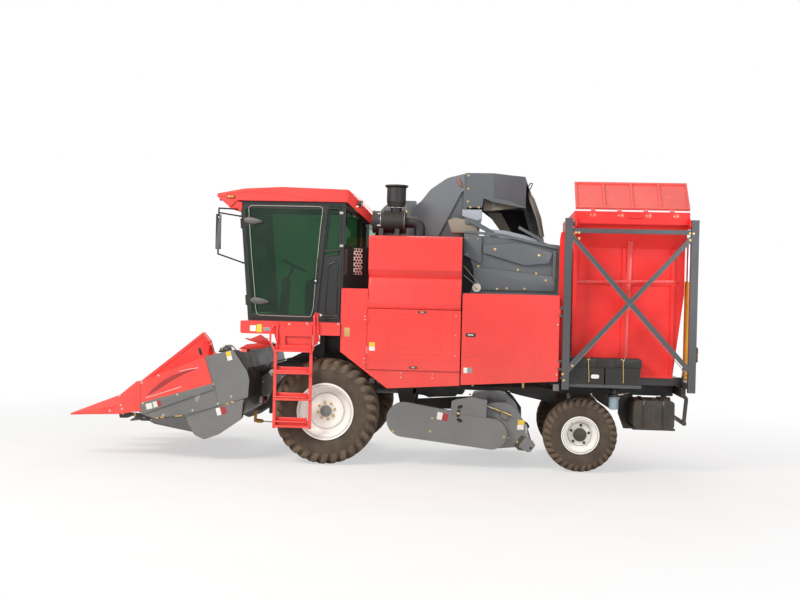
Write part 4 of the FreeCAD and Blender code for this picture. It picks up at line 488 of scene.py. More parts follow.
class Maps:
    """The node tree of one material, with one way to add a node.

    Args:
        name: material name.
    """

    def __init__(self, name: str) -> None:
        """Starts a material with its shader and its object coordinates.

        Args:
            name: name of the material.
        """
        self.material = bpy.data.materials.new(name)
        self.material.use_nodes = True
        self.tree = self.material.node_tree
        self.shader = self.tree.nodes["Principled BSDF"]
        self.place = self.add("ShaderNodeTexCoord").outputs["Object"]

    def add(self, kind: str, settings: dict | None = None, **inputs: object) -> bpy.types.Node:
        """Adds a node.

        Args:
            kind: Blender's name of the node type.
            settings: properties of the node.
            inputs: value or link of each input, its name in lower case with _ for spaces, or in0, in1 by number.

        Returns:
            The node.
        """
        node = self.tree.nodes.new(kind)
        for key, value in (settings or {}).items():
            setattr(node, key, value)
        for key, value in inputs.items():
            if key.startswith("in") and key[2:].isdigit():
                socket = node.inputs[int(key[2:])]
            else:
                socket = next(s for s in node.inputs if s.name.lower().replace(" ", "_") == key and s.enabled)
            self.plug(socket, value)
        return node

    def plug(self, socket: Socket, value: object) -> None:
        """Links an output to a socket, or sets the socket's value.

        Args:
            socket: the input to feed.
            value: an output of another node, or a plain value.
        """
        if isinstance(value, bpy.types.NodeSocket):
            self.tree.links.new(value, socket)
        else:
            socket.default_value = value

    def finish(self, shader: bpy.types.Node) -> None:
        """Makes a shader the one that the surface shows."""
        self.plug(self.tree.nodes["Material Output"].inputs["Surface"], shader.outputs[0])

    def noise(self, size: float, detail: float = 3.0, stretch: Point = (1, 1, 1)) -> Socket:
        """Noise whose blobs are about size metres across, drawn out by a factor along each axis."""
        scaled = self.add("ShaderNodeMapping", scale=[1 / (size * s) for s in stretch], vector=self.place)
        return self.add("ShaderNodeTexNoise", vector=scaled.outputs[0], scale=1.0, detail=detail).outputs["Fac"]

    def ramp(self, value: Socket, low: float, high: float, start: float = 0.0, end: float = 1.0) -> Socket:
        """A value carried from the range low..high to start..end and held at its ends."""
        return self.add("ShaderNodeMapRange", value=value, from_min=low, from_max=high, to_min=start,
                        to_max=end).outputs["Result"]

    def cloud(self, size: float, detail: float, *span: float) -> Socket:
        """Even noise passed through ramp."""
        return self.ramp(self.noise(size, detail), *span)

    def times(self, a: object, b: object) -> Socket:
        """Product of two values."""
        return self.add("ShaderNodeMath", {"operation": "MULTIPLY"}, in0=a, in1=b).outputs[0]

    def plus(self, a: object, b: object) -> Socket:
        """Sum of two values, held between 0 and 1."""
        return self.add("ShaderNodeMath", {"operation": "ADD", "use_clamp": True}, in0=a, in1=b).outputs[0]

    def mix(self, share: object, a: object, b: object) -> Socket:
        """Mixes two colours.

        Args:
            share: 0 for colour a to 1 for colour b.
            a: first colour or an output that gives one.
            b: second colour or an output that gives one.

        Returns:
            Output with the mixed colour.
        """
        node = self.tree.nodes.new("ShaderNodeMix")
        node.data_type = "RGBA"
        for index, value in ((0, share), (6, a), (7, b)):
            self.plug(node.inputs[index], value)
        return node.outputs[2]

    def edges(self, reach: float) -> Socket:
        """Finds outward edges: how far a bevelled normal leans from the plain one.

        Args:
            reach: radius of the bevel, in metres.

        Returns:
            Output that is 1 along outward edges and 0 on flats.
        """
        bevel = self.add("ShaderNodeBevel", {"samples": 4}, radius=reach).outputs[0]
        plain = self.add("ShaderNodeNewGeometry").outputs["Normal"]
        lean = self.add("ShaderNodeVectorMath", {"operation": "DOT_PRODUCT"}, in0=bevel, in1=plain).outputs["Value"]
        return self.ramp(lean, 0.99, 0.86)

    def upward(self) -> Socket:
        """1 on surfaces that face up, 0 on walls."""
        normal = self.add("ShaderNodeNewGeometry").outputs["Normal"]
        return self.ramp(self.add("ShaderNodeSeparateXYZ", vector=normal).outputs[2], 0.3, 0.95)

    def low(self, bottom: float = 0.2, top: float = 1.9) -> Socket:
        """1 near the ground, 0 above the given height, broken up by cloudy noise."""
        height = self.add("ShaderNodeSeparateXYZ", vector=self.place).outputs[2]
        return self.times(self.ramp(height, bottom, top, 1.0, 0.0), self.cloud(0.4, 5.0, 0.35, 0.7, 0.25, 1.0))

    def surface(self, base: object, rough: object, bump: Sequence[tuple[Socket, float]] = (),
                **fixed: object) -> bpy.types.Material:
        """Wires colour, roughness and a chain of bumps into the shader.

        Args:
            base: colour or link.
            rough: roughness or link.
            bump: (height, depth in metres) pairs, coarse first.
            fixed: other inputs of the shader, by name.

        Returns:
            The finished material.
        """
        wires = {"Base Color": base, "Roughness": rough}
        wires.update({key.replace("_", " ").title().replace("Ior", "IOR"): value for key, value in fixed.items()})
        normal = None
        for height, depth in bump:
            step = self.add("ShaderNodeBump", height=height, distance=depth, strength=1.0)
            if normal is not None:
                self.plug(step.inputs["Normal"], normal)
            wires["Normal"] = normal = step.outputs[0]
        for key, value in wires.items():
            self.plug(self.shader.inputs[key], value)
        return self.material


@dataclass(frozen=True)
class Finish:
    """A named finish that makes its material once and hands out the same one afterwards.

    Args:
        name: material name.
        shade: main colour, sRGB hex.
    """

    name: str
    shade: str

    def material(self) -> bpy.types.Material:
        """The material, made on first use."""
        return bpy.data.materials.get(self.name) or self.build(Maps(self.name))

    def build(self, maps: Maps) -> bpy.types.Material:
        """Draws the node tree."""
        raise NotImplementedError


@dataclass(frozen=True)
class Enamel(Finish):
    """Sprayed alkyd enamel on steel sheet: glossy, with faint orange peel, dust low down and on ledges.

    Args:
        rough: roughness of the clean paint.
        worn: colour of the metal or primer at rubbed edges.
        dust: how much soil lies on it, 0 to 1.
        peel: depth of the orange peel in metres.
        coat: share of clear gloss over the colour.
    """

    rough: float = 0.3
    worn: str = "#8C857E"
    dust: float = 0.5
    peel: float = 0.00012
    coat: float = 0.35

    def build(self, maps: Maps) -> bpy.types.Material:
        """Paint colour drifting a little, streaks and soil, rubbed edges, gloss broken by haze.

        Args:
            maps: the material being built.

        Returns:
            The finished material.
        """
        base = colour(self.shade)[:3]
        faded, deep = tuple(min(1.0, c * 1.1 + 0.006) for c in base) + SOLID, tuple(c * 0.88 for c in base) + SOLID
        paint = maps.mix(maps.cloud(0.9, 3.0, 0.3, 0.7), deep, faded)
        soil = maps.times(maps.low(), self.dust)
        ledge = maps.times(maps.times(maps.upward(), self.dust * 0.75), maps.cloud(0.09, 6.0, 0.3, 0.75, 0.3, 1.0))
        streak = maps.ramp(maps.noise(0.018, 4.0, (1, 1, 22)), 0.6, 0.82, 0.0, 0.16 * self.dust)
        dirt = maps.plus(maps.plus(soil, ledge), streak)
        dusty = maps.mix(maps.times(dirt, 0.8), paint, DUST)
        chips = maps.times(maps.edges(0.0035), maps.cloud(0.05, 6.0, 0.52, 0.64))
        seen = maps.mix(maps.times(chips, 0.85), dusty, colour(self.worn))
        haze = maps.cloud(0.25, 5.0, 0.3, 0.7, self.rough * 0.85, self.rough * 1.25)
        dents, peel = maps.noise(0.45, 1.0), maps.noise(0.006, 1.0)
        return maps.surface(seen, maps.plus(haze, maps.times(dirt, 0.55)), [(dents, 0.0035), (peel, self.peel)],
                            coat_weight=self.coat, coat_roughness=0.12)


@dataclass(frozen=True)
class Rubber(Finish):
    """Carbon-black tyre rubber, dull, with dry soil rubbed into it and fine grain.

    Args:
        soil: share of soil on the outside.
    """

    soil: float = 0.75

    def build(self, maps: Maps) -> bpy.types.Material:
        """Black rubber under a brown bloom that is thin where the lugs rub.

        Args:
            maps: the material being built.

        Returns:
            The finished material.
        """
        bloom = maps.times(maps.cloud(0.12, 6.0, 0.25, 0.62, 0.45, 1.0), self.soil)
        fine = maps.cloud(0.012, 5.0, 0.3, 0.7, 0.75, 1.0)
        seen = maps.mix(maps.times(bloom, fine), colour(self.shade), SOIL)
        rubbed = maps.mix(maps.times(maps.edges(0.006), 0.45), seen, RUBBED)
        grains = [(maps.noise(0.03, 4.0), 0.0008), (maps.noise(0.002), 0.0003)]
        return maps.surface(rubbed, maps.cloud(0.06, 3.0, 0.3, 0.7, 0.78, 0.95), grains, specular_ior_level=0.3)


@dataclass(frozen=True)
class Plastic(Finish):
    """Moulded plastic with a leather-like grain.

    Args:
        rough: roughness.
        dust: share of dust on upward faces and low down.
        grain: depth of the grain in metres.
    """

    rough: float = 0.5
    dust: float = 0.4
    grain: float = 0.0002

    def build(self, maps: Maps) -> bpy.types.Material:
        """Even colour, pale dust, grain from cells about 2 mm wide, drawn coarse enough to show.

        Args:
            maps: the material being built.

        Returns:
            The finished material.
        """
        dirt = maps.plus(maps.times(maps.upward(), self.dust * 0.6), maps.times(maps.low(), self.dust))
        seen = maps.mix(maps.times(dirt, maps.cloud(0.07, 5.0, 0.3, 0.7, 0.4, 1.0)), colour(self.shade), DUST)
        cells = maps.add("ShaderNodeTexVoronoi", vector=maps.place, scale=450.0).outputs["Distance"]
        return maps.surface(seen, maps.plus(self.rough, maps.times(dirt, 0.3)), [(cells, self.grain)])


@dataclass(frozen=True)
class Metal(Finish):
    """Bare or plated metal.

    Args:
        rough: roughness.
        rust: share of rust in blotches.
        brushed: depth of fine scratches in metres.
    """

    rough: float = 0.3
    rust: float = 0.0
    brushed: float = 0.00006

    def build(self, maps: Maps) -> bpy.types.Material:
        """Metal with scratches, and rust blotches that are neither shiny nor metallic.

        Args:
            maps: the material being built.

        Returns:
            The finished material.
        """
        spots = maps.times(maps.cloud(0.04, 7.0, 0.48, 0.62), self.rust)
        seen = maps.mix(spots, colour(self.shade), RUST)
        scratch = maps.noise(0.004, 3.0, (1, 12, 1))
        return maps.surface(seen, maps.plus(self.rough, maps.times(spots, 0.45)), [(scratch, self.brushed)],
                            metallic=maps.ramp(spots, 0.0, 1.0, 1.0, 0.05))


@dataclass(frozen=True)
class Glass(Finish):
    """Tinted safety glass: see-through, green, with a film of dust towards its edges."""

    def build(self, maps: Maps) -> bpy.types.Material:
        """A thin tint by mixing clear passage with a gloss, so that no light bends.

        Args:
            maps: the material being built.

        Returns:
            The finished material.
        """
        film = maps.cloud(0.5, 4.0, 0.35, 0.75, 0.01, 0.05)
        clear = maps.add("ShaderNodeBsdfTransparent", color=colour(self.shade))
        gloss = maps.add("ShaderNodeBsdfGlossy", color=GLOSS, roughness=0.03)
        haze = maps.add("ShaderNodeBsdfDiffuse", color=HAZE)
        bounce = maps.add("ShaderNodeFresnel", ior=1.5)
        dusty = maps.add("ShaderNodeMixShader", fac=film, in1=clear.outputs[0], in2=haze.outputs[0])
        done = maps.add("ShaderNodeMixShader", fac=bounce.outputs[0], in1=dusty.outputs[0], in2=gloss.outputs[0])
        maps.tree.nodes.remove(maps.shader)
        maps.finish(done)
        return maps.material


@dataclass(frozen=True)
class Lens(Finish):
    """Moulded lamp lens with fine ribs across it."""

    def build(self, maps: Maps) -> bpy.types.Material:
        """Coloured acrylic, lightly see-through at its surface, ribs 12 mm apart.

        Args:
            maps: the material being built.

        Returns:
            The finished material.
        """
        ribs = maps.add("ShaderNodeTexWave", {"bands_direction": "Z"}, vector=maps.place, scale=26.0,
                        distortion=0.0).outputs["Fac"]
        return maps.surface(colour(self.shade), 0.12, [(ribs, 0.0008)], coat_weight=0.6, transmission_weight=0.25)


@dataclass(frozen=True)
class Cloth(Finish):
    """Woven polyester seat cover.

    Args:
        pace: scale of the weave's waves; threads lie pi / (10 pace) metres apart, coarse enough to show.
    """

    pace: float = 125.0

    def build(self, maps: Maps) -> bpy.types.Material:
        """Warp and weft as two crossed waves that darken and sink between threads.

        Args:
            maps: the material being built.

        Returns:
            The finished material.
        """
        waves = [maps.add("ShaderNodeTexWave", {"bands_direction": way}, vector=maps.place, scale=self.pace,
                          distortion=0.3).outputs["Fac"] for way in "XY"]
        weave = maps.times(*waves)
        base = colour(self.shade)
        light = tuple(c * 2.2 + 0.01 for c in base[:3]) + SOLID
        worn = maps.mix(maps.cloud(0.12, 4.0, 0.4, 0.75, 0.0, 0.5), maps.mix(weave, base, light), DUST)
        return maps.surface(worn, 0.85, [(maps.noise(0.05), 0.003), (weave, 0.0006)], sheen_weight=0.35,
                            sheen_roughness=0.5)


PRIMER = "#7C2A22"      # dark red primer under the red paint
BARE = "#8A857D"        # dulled steel

# alkyd enamel, sprayed and stoved, on sheet and on frames
RED = Enamel("red_alkyd_enamel", "#EE3A34", rough=0.26, worn=PRIMER, dust=0.3)
# unpolished red for inward faces, deeper than RED: the deeper colour is painted shade on the bin's inside, the cross
# auger and the tall divider
RED_INNER_SHADE = Enamel("red_enamel_unpolished", "#F3241D", rough=0.5, worn=PRIMER, dust=0.08, coat=0.0)
# paler red than RED: painted sunlight on the flap's upturned face
FLAP = Enamel("red_enamel_pressed_flap", "#F0605A", rough=0.34, worn=PRIMER, dust=0.35)
GREY = Enamel("grey_alkyd_enamel", "#6A6C6D", rough=0.36, worn="#B5B0A8", dust=0.22)
DARK_GREY = Enamel("dark_grey_enamel", "#575C60", rough=0.4, worn="#9B958C", dust=0.25)
BOX_GREY = Enamel("pale_blue_grey_enamel", "#9BA1AB", rough=0.4, dust=0.1)
# darker grey for plates that paint shade: the lower fold of the end shields and the turned facet of the discharge
# hood
SHADE_GREY = Enamel("weathered_grey_enamel", "#4D4D52", rough=0.5, worn=BARE, dust=0.15, coat=0.1)
FRAME_GREY = Enamel("frame_grey_enamel", "#434649", rough=0.35, worn=BARE, dust=0.15, coat=0.2)
SHEET_GREY = Enamel("pale_sheet_enamel", "#6E7479", rough=0.38, worn=BARE, dust=0.15, coat=0.2)
# pale dusty beige: the husker's top box, and plates inside the discharge hood that paint the light on its sunlit
# inner walls
HUSK_DUST_AND_PAINTED_LIGHT = Enamel("husk_dusted_steel", "#8E8779", rough=0.6, worn="#A9A298", dust=0.5, coat=0.0)
BLACK = Enamel("black_chassis_enamel", "#161617", rough=0.45, worn="#77706A", dust=0.22, coat=0.1)
DOOR_BLACK = Enamel("black_cab_enamel", "#131314", rough=0.3, worn="#5A5650", dust=0.14, coat=0.3)
CAST = Enamel("grey_cast_iron_paint", "#4A4D50", rough=0.6, dust=0.5, peel=0.0006, coat=0.0)
YELLOW = Enamel("yellow_cylinder_enamel", "#DDA017", rough=0.34, worn="#8B8378")
ORANGE = Enamel("orange_hook_enamel", "#B9572A", rough=0.4, dust=0.3)
RIM = Enamel("cream_wheel_enamel", "#F1EFEA", rough=0.36, worn="#8A8076", dust=0.18)
# gel-coated glass fibre
ROOF_RED = Enamel("red_gelcoat", "#EE3A34", rough=0.52, worn=PRIMER, dust=0.3, coat=0.04)
# vinyl film, without orange peel
LABEL = Enamel("white_vinyl_film", "#E9E7E1", rough=0.4, dust=0.2, peel=0.0, coat=0.2)
LABEL_YELLOW = Enamel("yellow_vinyl_film", "#E9C534", rough=0.4, dust=0.2, peel=0.0, coat=0.2)
LABEL_GREY = Enamel("pale_grey_film", "#8E9091", rough=0.45, dust=0.2, peel=0.0, coat=0.1)
SWOOSH = Enamel("crimson_vinyl_film", "#A3131F", rough=0.25, dust=0.15, peel=0.0, coat=0.4)
FILMS = (LABEL, LABEL_YELLOW, SWOOSH, LABEL_GREY)
# tyre rubber: lugs, and walls that pick up less soil
TYRE = Rubber("tyre_rubber_dusty", "#24211F")
TYRE_WALL = Rubber("tyre_rubber_sidewall", "#2B2927", 0.42)
# moulded plastics and rubber seals
FAIRING = Plastic("grey_moulded_fairing", "#5B585A", rough=0.45, dust=0.2)
BLACK_PLASTIC = Plastic("black_moulded_plastic", "#1B1B1C")
TANK_PLASTIC = Plastic("black_tank_polyethylene", "#232221", rough=0.6, dust=0.35)
BATTERY = Plastic("black_battery_polypropylene", "#100F0E", rough=0.45, dust=0.12)
# also laid as flat plates that paint shade: inside the discharge hood and over the husker's belt well
MATT_BLACK = Plastic("matt_black_panel", "#131314", rough=0.85, dust=0.1)
FILTER = Plastic("pale_blue_filter_lacquer", "#93A6B0", rough=0.35, dust=0.2, grain=0.00005)
SEAL = Plastic("pale_door_rubber", "#A8A79E", rough=0.7, dust=0.2)
# steel, bare or plated
STEEL = Metal("ground_steel", "#A8A39B", rough=0.38, rust=0.35)
BRIGHT = Metal("bright_zinc_plate", "#C9C5BA", rough=0.3)
BRASS = Metal("yellow_zinc_plate", "#CDAE74", rough=0.34)
CHROME = Metal("hard_chrome", "#DADDE0", rough=0.06, brushed=0.0)
SILVERED = Metal("mirror_silvering", "#E8ECEE", rough=0.02, brushed=0.0)
# glass, lamp lenses and seat cloth
GLASS = Glass("green_tinted_glass", "#80B298")
AMBER = Lens("amber_lens", "#F08A10")
RED_LENS = Lens("red_lens", "#B01812")
WHITE_LENS = Lens("clear_lamp_lens", "#EDEDE6")
CLOTH = Cloth("charcoal_seat_weave", "#26272B")


# --- fitting to the model
TREES: dict[str, BVHTree] = {}


def skin(node: str) -> BVHTree:
    """Search tree of a CAD node's surface, made once.

    Args:
        node: the node's name.

    Returns:
        The tree, in the machine's frame.
    """
    if node not in TREES:
        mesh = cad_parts[node].data
        points = np.empty(len(mesh.vertices) * 3)
        mesh.vertices.foreach_get("co", points)
        corner, start = np.empty(len(mesh.loops), np.int32), np.empty(len(mesh.polygons), np.int32)
        mesh.loops.foreach_get("vertex_index", corner)
        mesh.polygons.foreach_get("loop_start", start)
        faces = [chunk.tolist() for chunk in np.split(corner, start[1:])]
        TREES[node] = BVHTree.FromPolygons(points.reshape(-1, 3).tolist(), faces)
    return TREES[node]


def seated(node: str, places: Array, axis: Sequence[float] = LEFT, reach: float = 0.6) -> Array:
    """Places moved along an axis until they lie on a node's surface; a place that meets nothing stays.

    Args:
        node: CAD node to lie on.
        places: (n, 3) points near it.
        axis: direction that the surface faces there.
        reach: how far outside the places the search starts.

    Returns:
        (n, 3) points on the surface.
    """
    out = Vector(axis).normalized()
    made = []
    for place in np.atleast_2d(places):
        hit = skin(node).ray_cast(Vector(place) + out * reach, -out, reach * 2)[0]
        made.append(place if hit is None else np.array(hit))
    return np.array(made)


def touch(node: str, place: Array, axis: Sequence[float] = LEFT, reach: float = 0.6) -> Array:
    """One place moved along an axis on to a node's surface."""
    return seated(node, place, axis, reach)[0]


def face_of(node: str, x: float, y: float, z: float) -> float:
    """The x of a node's left face beside (y, z), searched from x."""
    return float(touch(node, spot(x, y, z))[0])


def bead(node: str, line: Array, wide: float, proud: float, axis: Sequence[float] = LEFT,
         count: int = 0) -> Shape:
    """A flat strip laid along a line on a node's surface.

    Args:
        node: CAD node to lie on.
        line: (n, 3) points near the surface.
        wide: width across the line.
        proud: height over the surface.
        axis: direction that the surface faces.
        count: points to divide the line into; 0 keeps its own.

    Returns:
        Points and faces.
    """
    path = seated(node, smooth_line(line, count) if count else line, axis)
    return sweep(path, rectangle(wide, proud * 2, min(wide, proud) * 0.4, 2), up=axis)


def dress(finish: Finish, *nodes: str) -> None:
    """Gives CAD nodes a finish.

    Args:
        finish: what they are coated with or made of.
        nodes: names of the nodes.
    """
    for node in nodes:
        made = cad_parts[node]
        if not made.material_slots:
            made.data.materials.append(finish.material())
        for slot in made.material_slots:
            slot.material = finish.material()


@dataclass
class Bolts:
    """Rows of hexagon bolts or screws that share a finish and a body.

    Args:
        name: name of the joined piece.
        body: body that it rides on.
        finish: finish of the heads.
        radius: half the width across corners.
        height: height of a head.
    """

    name: str
    body: str
    finish: Finish = BRASS
    radius: float = 0.010
    height: float = 0.008
    surface: Surface = field(init=False)

    def __post_init__(self) -> None:
        """Starts the joined mesh."""
        self.surface = Surface(self.name, [self.finish])

    def on(self, node: str, places: Array, axis: Sequence[float] = LEFT, screw: bool = False,
           both: bool = False, scale: float = 1.0) -> None:
        """Seats a head at each place on a node.

        Args:
            node: the CAD node that carries the heads.
            places: (n, 3) places beside its surface.
            axis: the way that the heads stand out.
            screw: low domes in place of hexagonal heads.
            both: repeats them on the other side of the machine.
            scale: size beside the set's own radius and height.
        """
        make = dome_screw if screw else hexagon_bolt
        self.surface.stamp(make(self.radius * scale, self.height * scale, axis), seated(node, places, axis))
        if both:
            self.on(node, places * ACROSS, np.array(axis) * ACROSS, screw, False, scale)

    def build(self) -> None:
        """Makes the piece."""
        self.surface.piece(self.body, "worn_steel")


@dataclass
class Stickers:
    """Blank vinyl labels on one body.

    Args:
        name: name of the joined piece.
        body: body that they ride on.
        finishes: films in use.
    """

    name: str
    body: str
    finishes: Sequence[Finish] = FILMS[:3]
    surface: Surface = field(init=False)

    def __post_init__(self) -> None:
        """Starts the joined mesh."""
        self.surface = Surface(self.name, self.finishes)

    def on(self, node: str, centre: Array, wide: float, high: float, film: int = 0, tilt: float = 0.0) -> None:
        """Lays a rounded label on a node's left face.

        Args:
            node: the CAD node that carries the label.
            centre: place of its middle, beside the surface.
            wide: width along the machine.
            high: height.
            film: position of its finish among the set's films.
            tilt: turn in degrees.
        """
        a = math.radians(tilt)
        turn = np.array(((math.cos(a), math.sin(a)), (-math.sin(a), math.cos(a))))
        outline = rectangle(wide, high, min(wide, high) * 0.08) @ turn
        self.surface.add(plate(outline, touch(node, centre), Facing.LEFT, 0.0016, 0.0005), film)

    def build(self) -> None:
        """Makes the piece."""
        self.surface.piece(self.body, "white_rim_paint")


# --- wheels
@dataclass
class Tyre:
    """A lugged field tyre: carcass of revolution with angled bars on its tread.

    Args:
        wheel: axle and side of its wheel.
        radius: outer radius over the bars.
        width: section width.
        seat: radius of the bead seat.
        bars: number of bars on each side.
        bar_height: height of a bar over the tread.
        bar_width: width of a bar at its top.
        lean: angle that a bar covers on its way out, in degrees.
        turns: divisions of the carcass round the axle.
    """

    wheel: str
    radius: float
    width: float
    seat: float
    bars: int
    bar_height: float
    bar_width: float
    lean: float
    turns: int = 96

    def profile(self) -> Array:
        """Closed section of the carcass, bead to bead and back.

        Returns:
            (n, 2) pairs of distance out from the middle plane and radius.
        """
        wall = self.radius - self.bar_height - self.seat
        side = np.array([(0.74, 0.0), (0.80, 0.03), (0.83, 0.075), (0.86, 0.085), (0.865, 0.13), (0.90, 0.16),
            (0.97, 0.33), (0.995, 0.5), (0.985, 0.66), (0.95, 0.79), (0.93, 0.81), (0.86, 0.895), (0.7, 0.95),
            (0.4, 0.988), (0.0, 1.0)])
        out = side * (self.width / 2, wall) + (0, self.seat)
        return np.concatenate([out, (out * (-1, 1))[::-1][1:]])

    def carcass(self, centre: Array) -> Shape:
        """The section turned once round the axle, eased by cubic curves between its points.

        Args:
            centre: middle of the wheel.

        Returns:
            Points and faces.
        """
        x, r = smooth_line(self.profile(), 56).T
        around = circle(1.0, self.turns)
        points = np.empty((self.turns, len(x), 3))
        points[:, :, 0] = centre[0] + x
        points[:, :, 1] = centre[1] + around[:, :1] * r
        points[:, :, 2] = centre[2] + around[:, 1:] * r
        return points, lattice(self.turns, len(x), wrap_rows=True, wrap_columns=True)

    def bars_of(self, side: int, centre: Array) -> list[Shape]:
        """The bars of one side: along one, s runs from the middle out over the shoulder; the angle grows with s.

        Args:
            side: 1 for the tread's half towards the left of the machine, -1 for the other.
            centre: middle of the wheel.

        Returns:
            Points and faces of each bar.
        """
        s = np.linspace(0, 1, 10)
        out = self.width / 2 * np.interp(s, [0, 0.62, 0.8, 1], [0.03, 0.72, 0.97, 1.02])
        base = np.interp(s, [0, 0.62, 0.8, 1], [0.985, 0.94, 0.82, 0.63])
        base = self.seat + (self.radius - self.bar_height - self.seat) * base
        top = np.interp(s, [0, 0.55, 0.76, 0.9, 1], [1.0, 0.985, 0.945, 0.82, 0.67])
        top = self.seat + (self.radius - self.seat) * top
        top[0] -= self.bar_height * 0.25
        bend = math.radians(self.lean) * (s ** 0.85)
        grip = self.bar_width * (1 + 0.25 * s)
        section = np.array([(-0.72, 0.0), (-0.5, 0.92), (-0.42, 1.0), (0.42, 1.0), (0.5, 0.92), (0.72, 0.0)])
        quads = lattice(len(s), len(section), wrap_columns=True) + ends(len(s), len(section))
        if side > 0:
            quads = [quad[::-1] for quad in quads]
        r = base[:, None] + (top - base)[:, None] * section[None, :, 1]
        x = side * np.repeat(out[:, None], len(section), 1)
        pitch, made = 2 * np.pi / self.bars, []
        for k in range(self.bars):
            first = (k + (0.5 if side > 0 else 0.0)) * pitch
            angle = first + bend[:, None] + grip[:, None] * section[None, :, 0] / self.radius
            made.append((centre + np.stack([x, r * np.cos(angle), r * np.sin(angle)], 2), quads))
        return made

    def build(self) -> None:
        """Makes the tyre in place of its plain CAD ring."""
        node = f"{self.wheel}_tyre"
        centre = sum(corners(node)) / 2
        made = Surface(f"{node}_tread", [TYRE_WALL, TYRE])
        made.add(self.carcass(centre))
        for bar in self.bars_of(-1, centre) + self.bars_of(1, centre):
            made.add(bar, 1)
        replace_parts(made.piece(f"{self.wheel}_wheel", "tyre_rubber", 50), node)


@dataclass
class WheelTrim:
    """What is on a wheel: nuts on studs, hub cap, dark rings that paint the shade of the steps rolled in the disc,
    and the valve.

    Args:
        wheel: axle and side of its wheel.
        nuts: number of wheel nuts.
        nut_circle: radius of the nuts' circle.
        cap_radius: radius of the hub cap.
    """

    wheel: str
    nuts: int
    nut_circle: float
    cap_radius: float

    def build(self) -> None:
        """Seats the nuts and the cap on the disc's outer face."""
        node, body = f"{self.wheel}_rim", f"{self.wheel}_wheel"
        low, high = corners(node)
        centre, radius = (low + high) / 2, (high[2] - low[2]) / 2
        axis = np.array(LEFT if "left" in self.wheel else RIGHT, float)

        def on_disc(ring: Array) -> Array:
            """Places on the disc from (y, z) offsets from its centre."""
            ring = np.atleast_2d(ring)
            return seated(node, centre + np.concatenate([np.zeros((len(ring), 1)), ring], 1), axis)

        front = self.wheel.startswith("front")
        nuts = Surface(f"{self.wheel}_wheel_nuts", [BRASS if front else BLACK])
        stud = lathe([(0.0, 0.021), (0.004, 0.021), (0.005, 0.0155), (0.02, 0.0155), (0.023, 0.013), (0.0235, 0.0075),
            (0.034, 0.0075), (0.036, 0.006)], ORIGIN, axis, 6)
        nuts.stamp(stud, on_disc(circle(self.nut_circle, self.nuts, 0.2)))
        nuts.piece(body, "worn_steel", 30)
        cap = Surface(f"{self.wheel}_hub_cap", [GREY if front else BLACK])
        dome = np.array([(-0.004, 1), (0.008, 1), (0.012, 0.97), (0.014, 0.9), (0.016, 0.55), (0.024, 0.5),
            (0.027, 0.4), (0.028, 0.05)]) * (1, self.cap_radius)
        cap.add(lathe(dome, on_disc((0, 0))[0], axis, 40))
        cap.piece(body, "grey_paint", 30)
        # thin dark rings just inside the disc: painted shade in its rolled steps
        rings = Surface(f"{self.wheel}_rim_seams", [CAST])
        for share in (0.92, 0.62):
            rings.add(sweep(on_disc(circle(radius * share, 64)) - axis * 0.001, circle(0.0035, 6), closed=True,
                up=axis))
        rings.piece(body, "dark_grey_paint", 30)
        valve = Surface(f"{self.wheel}_valve", [BRIGHT])
        foot = circle(radius * 0.72, 1, 2.2)
        valve.add(lathe([(-0.004, 0.008), (0.02, 0.006), (0.034, 0.006), (0.036, 0.0045), (0.046, 0.004)],
            on_disc(foot)[0], axis, 12))
        valve.piece(body, "worn_steel", 30)


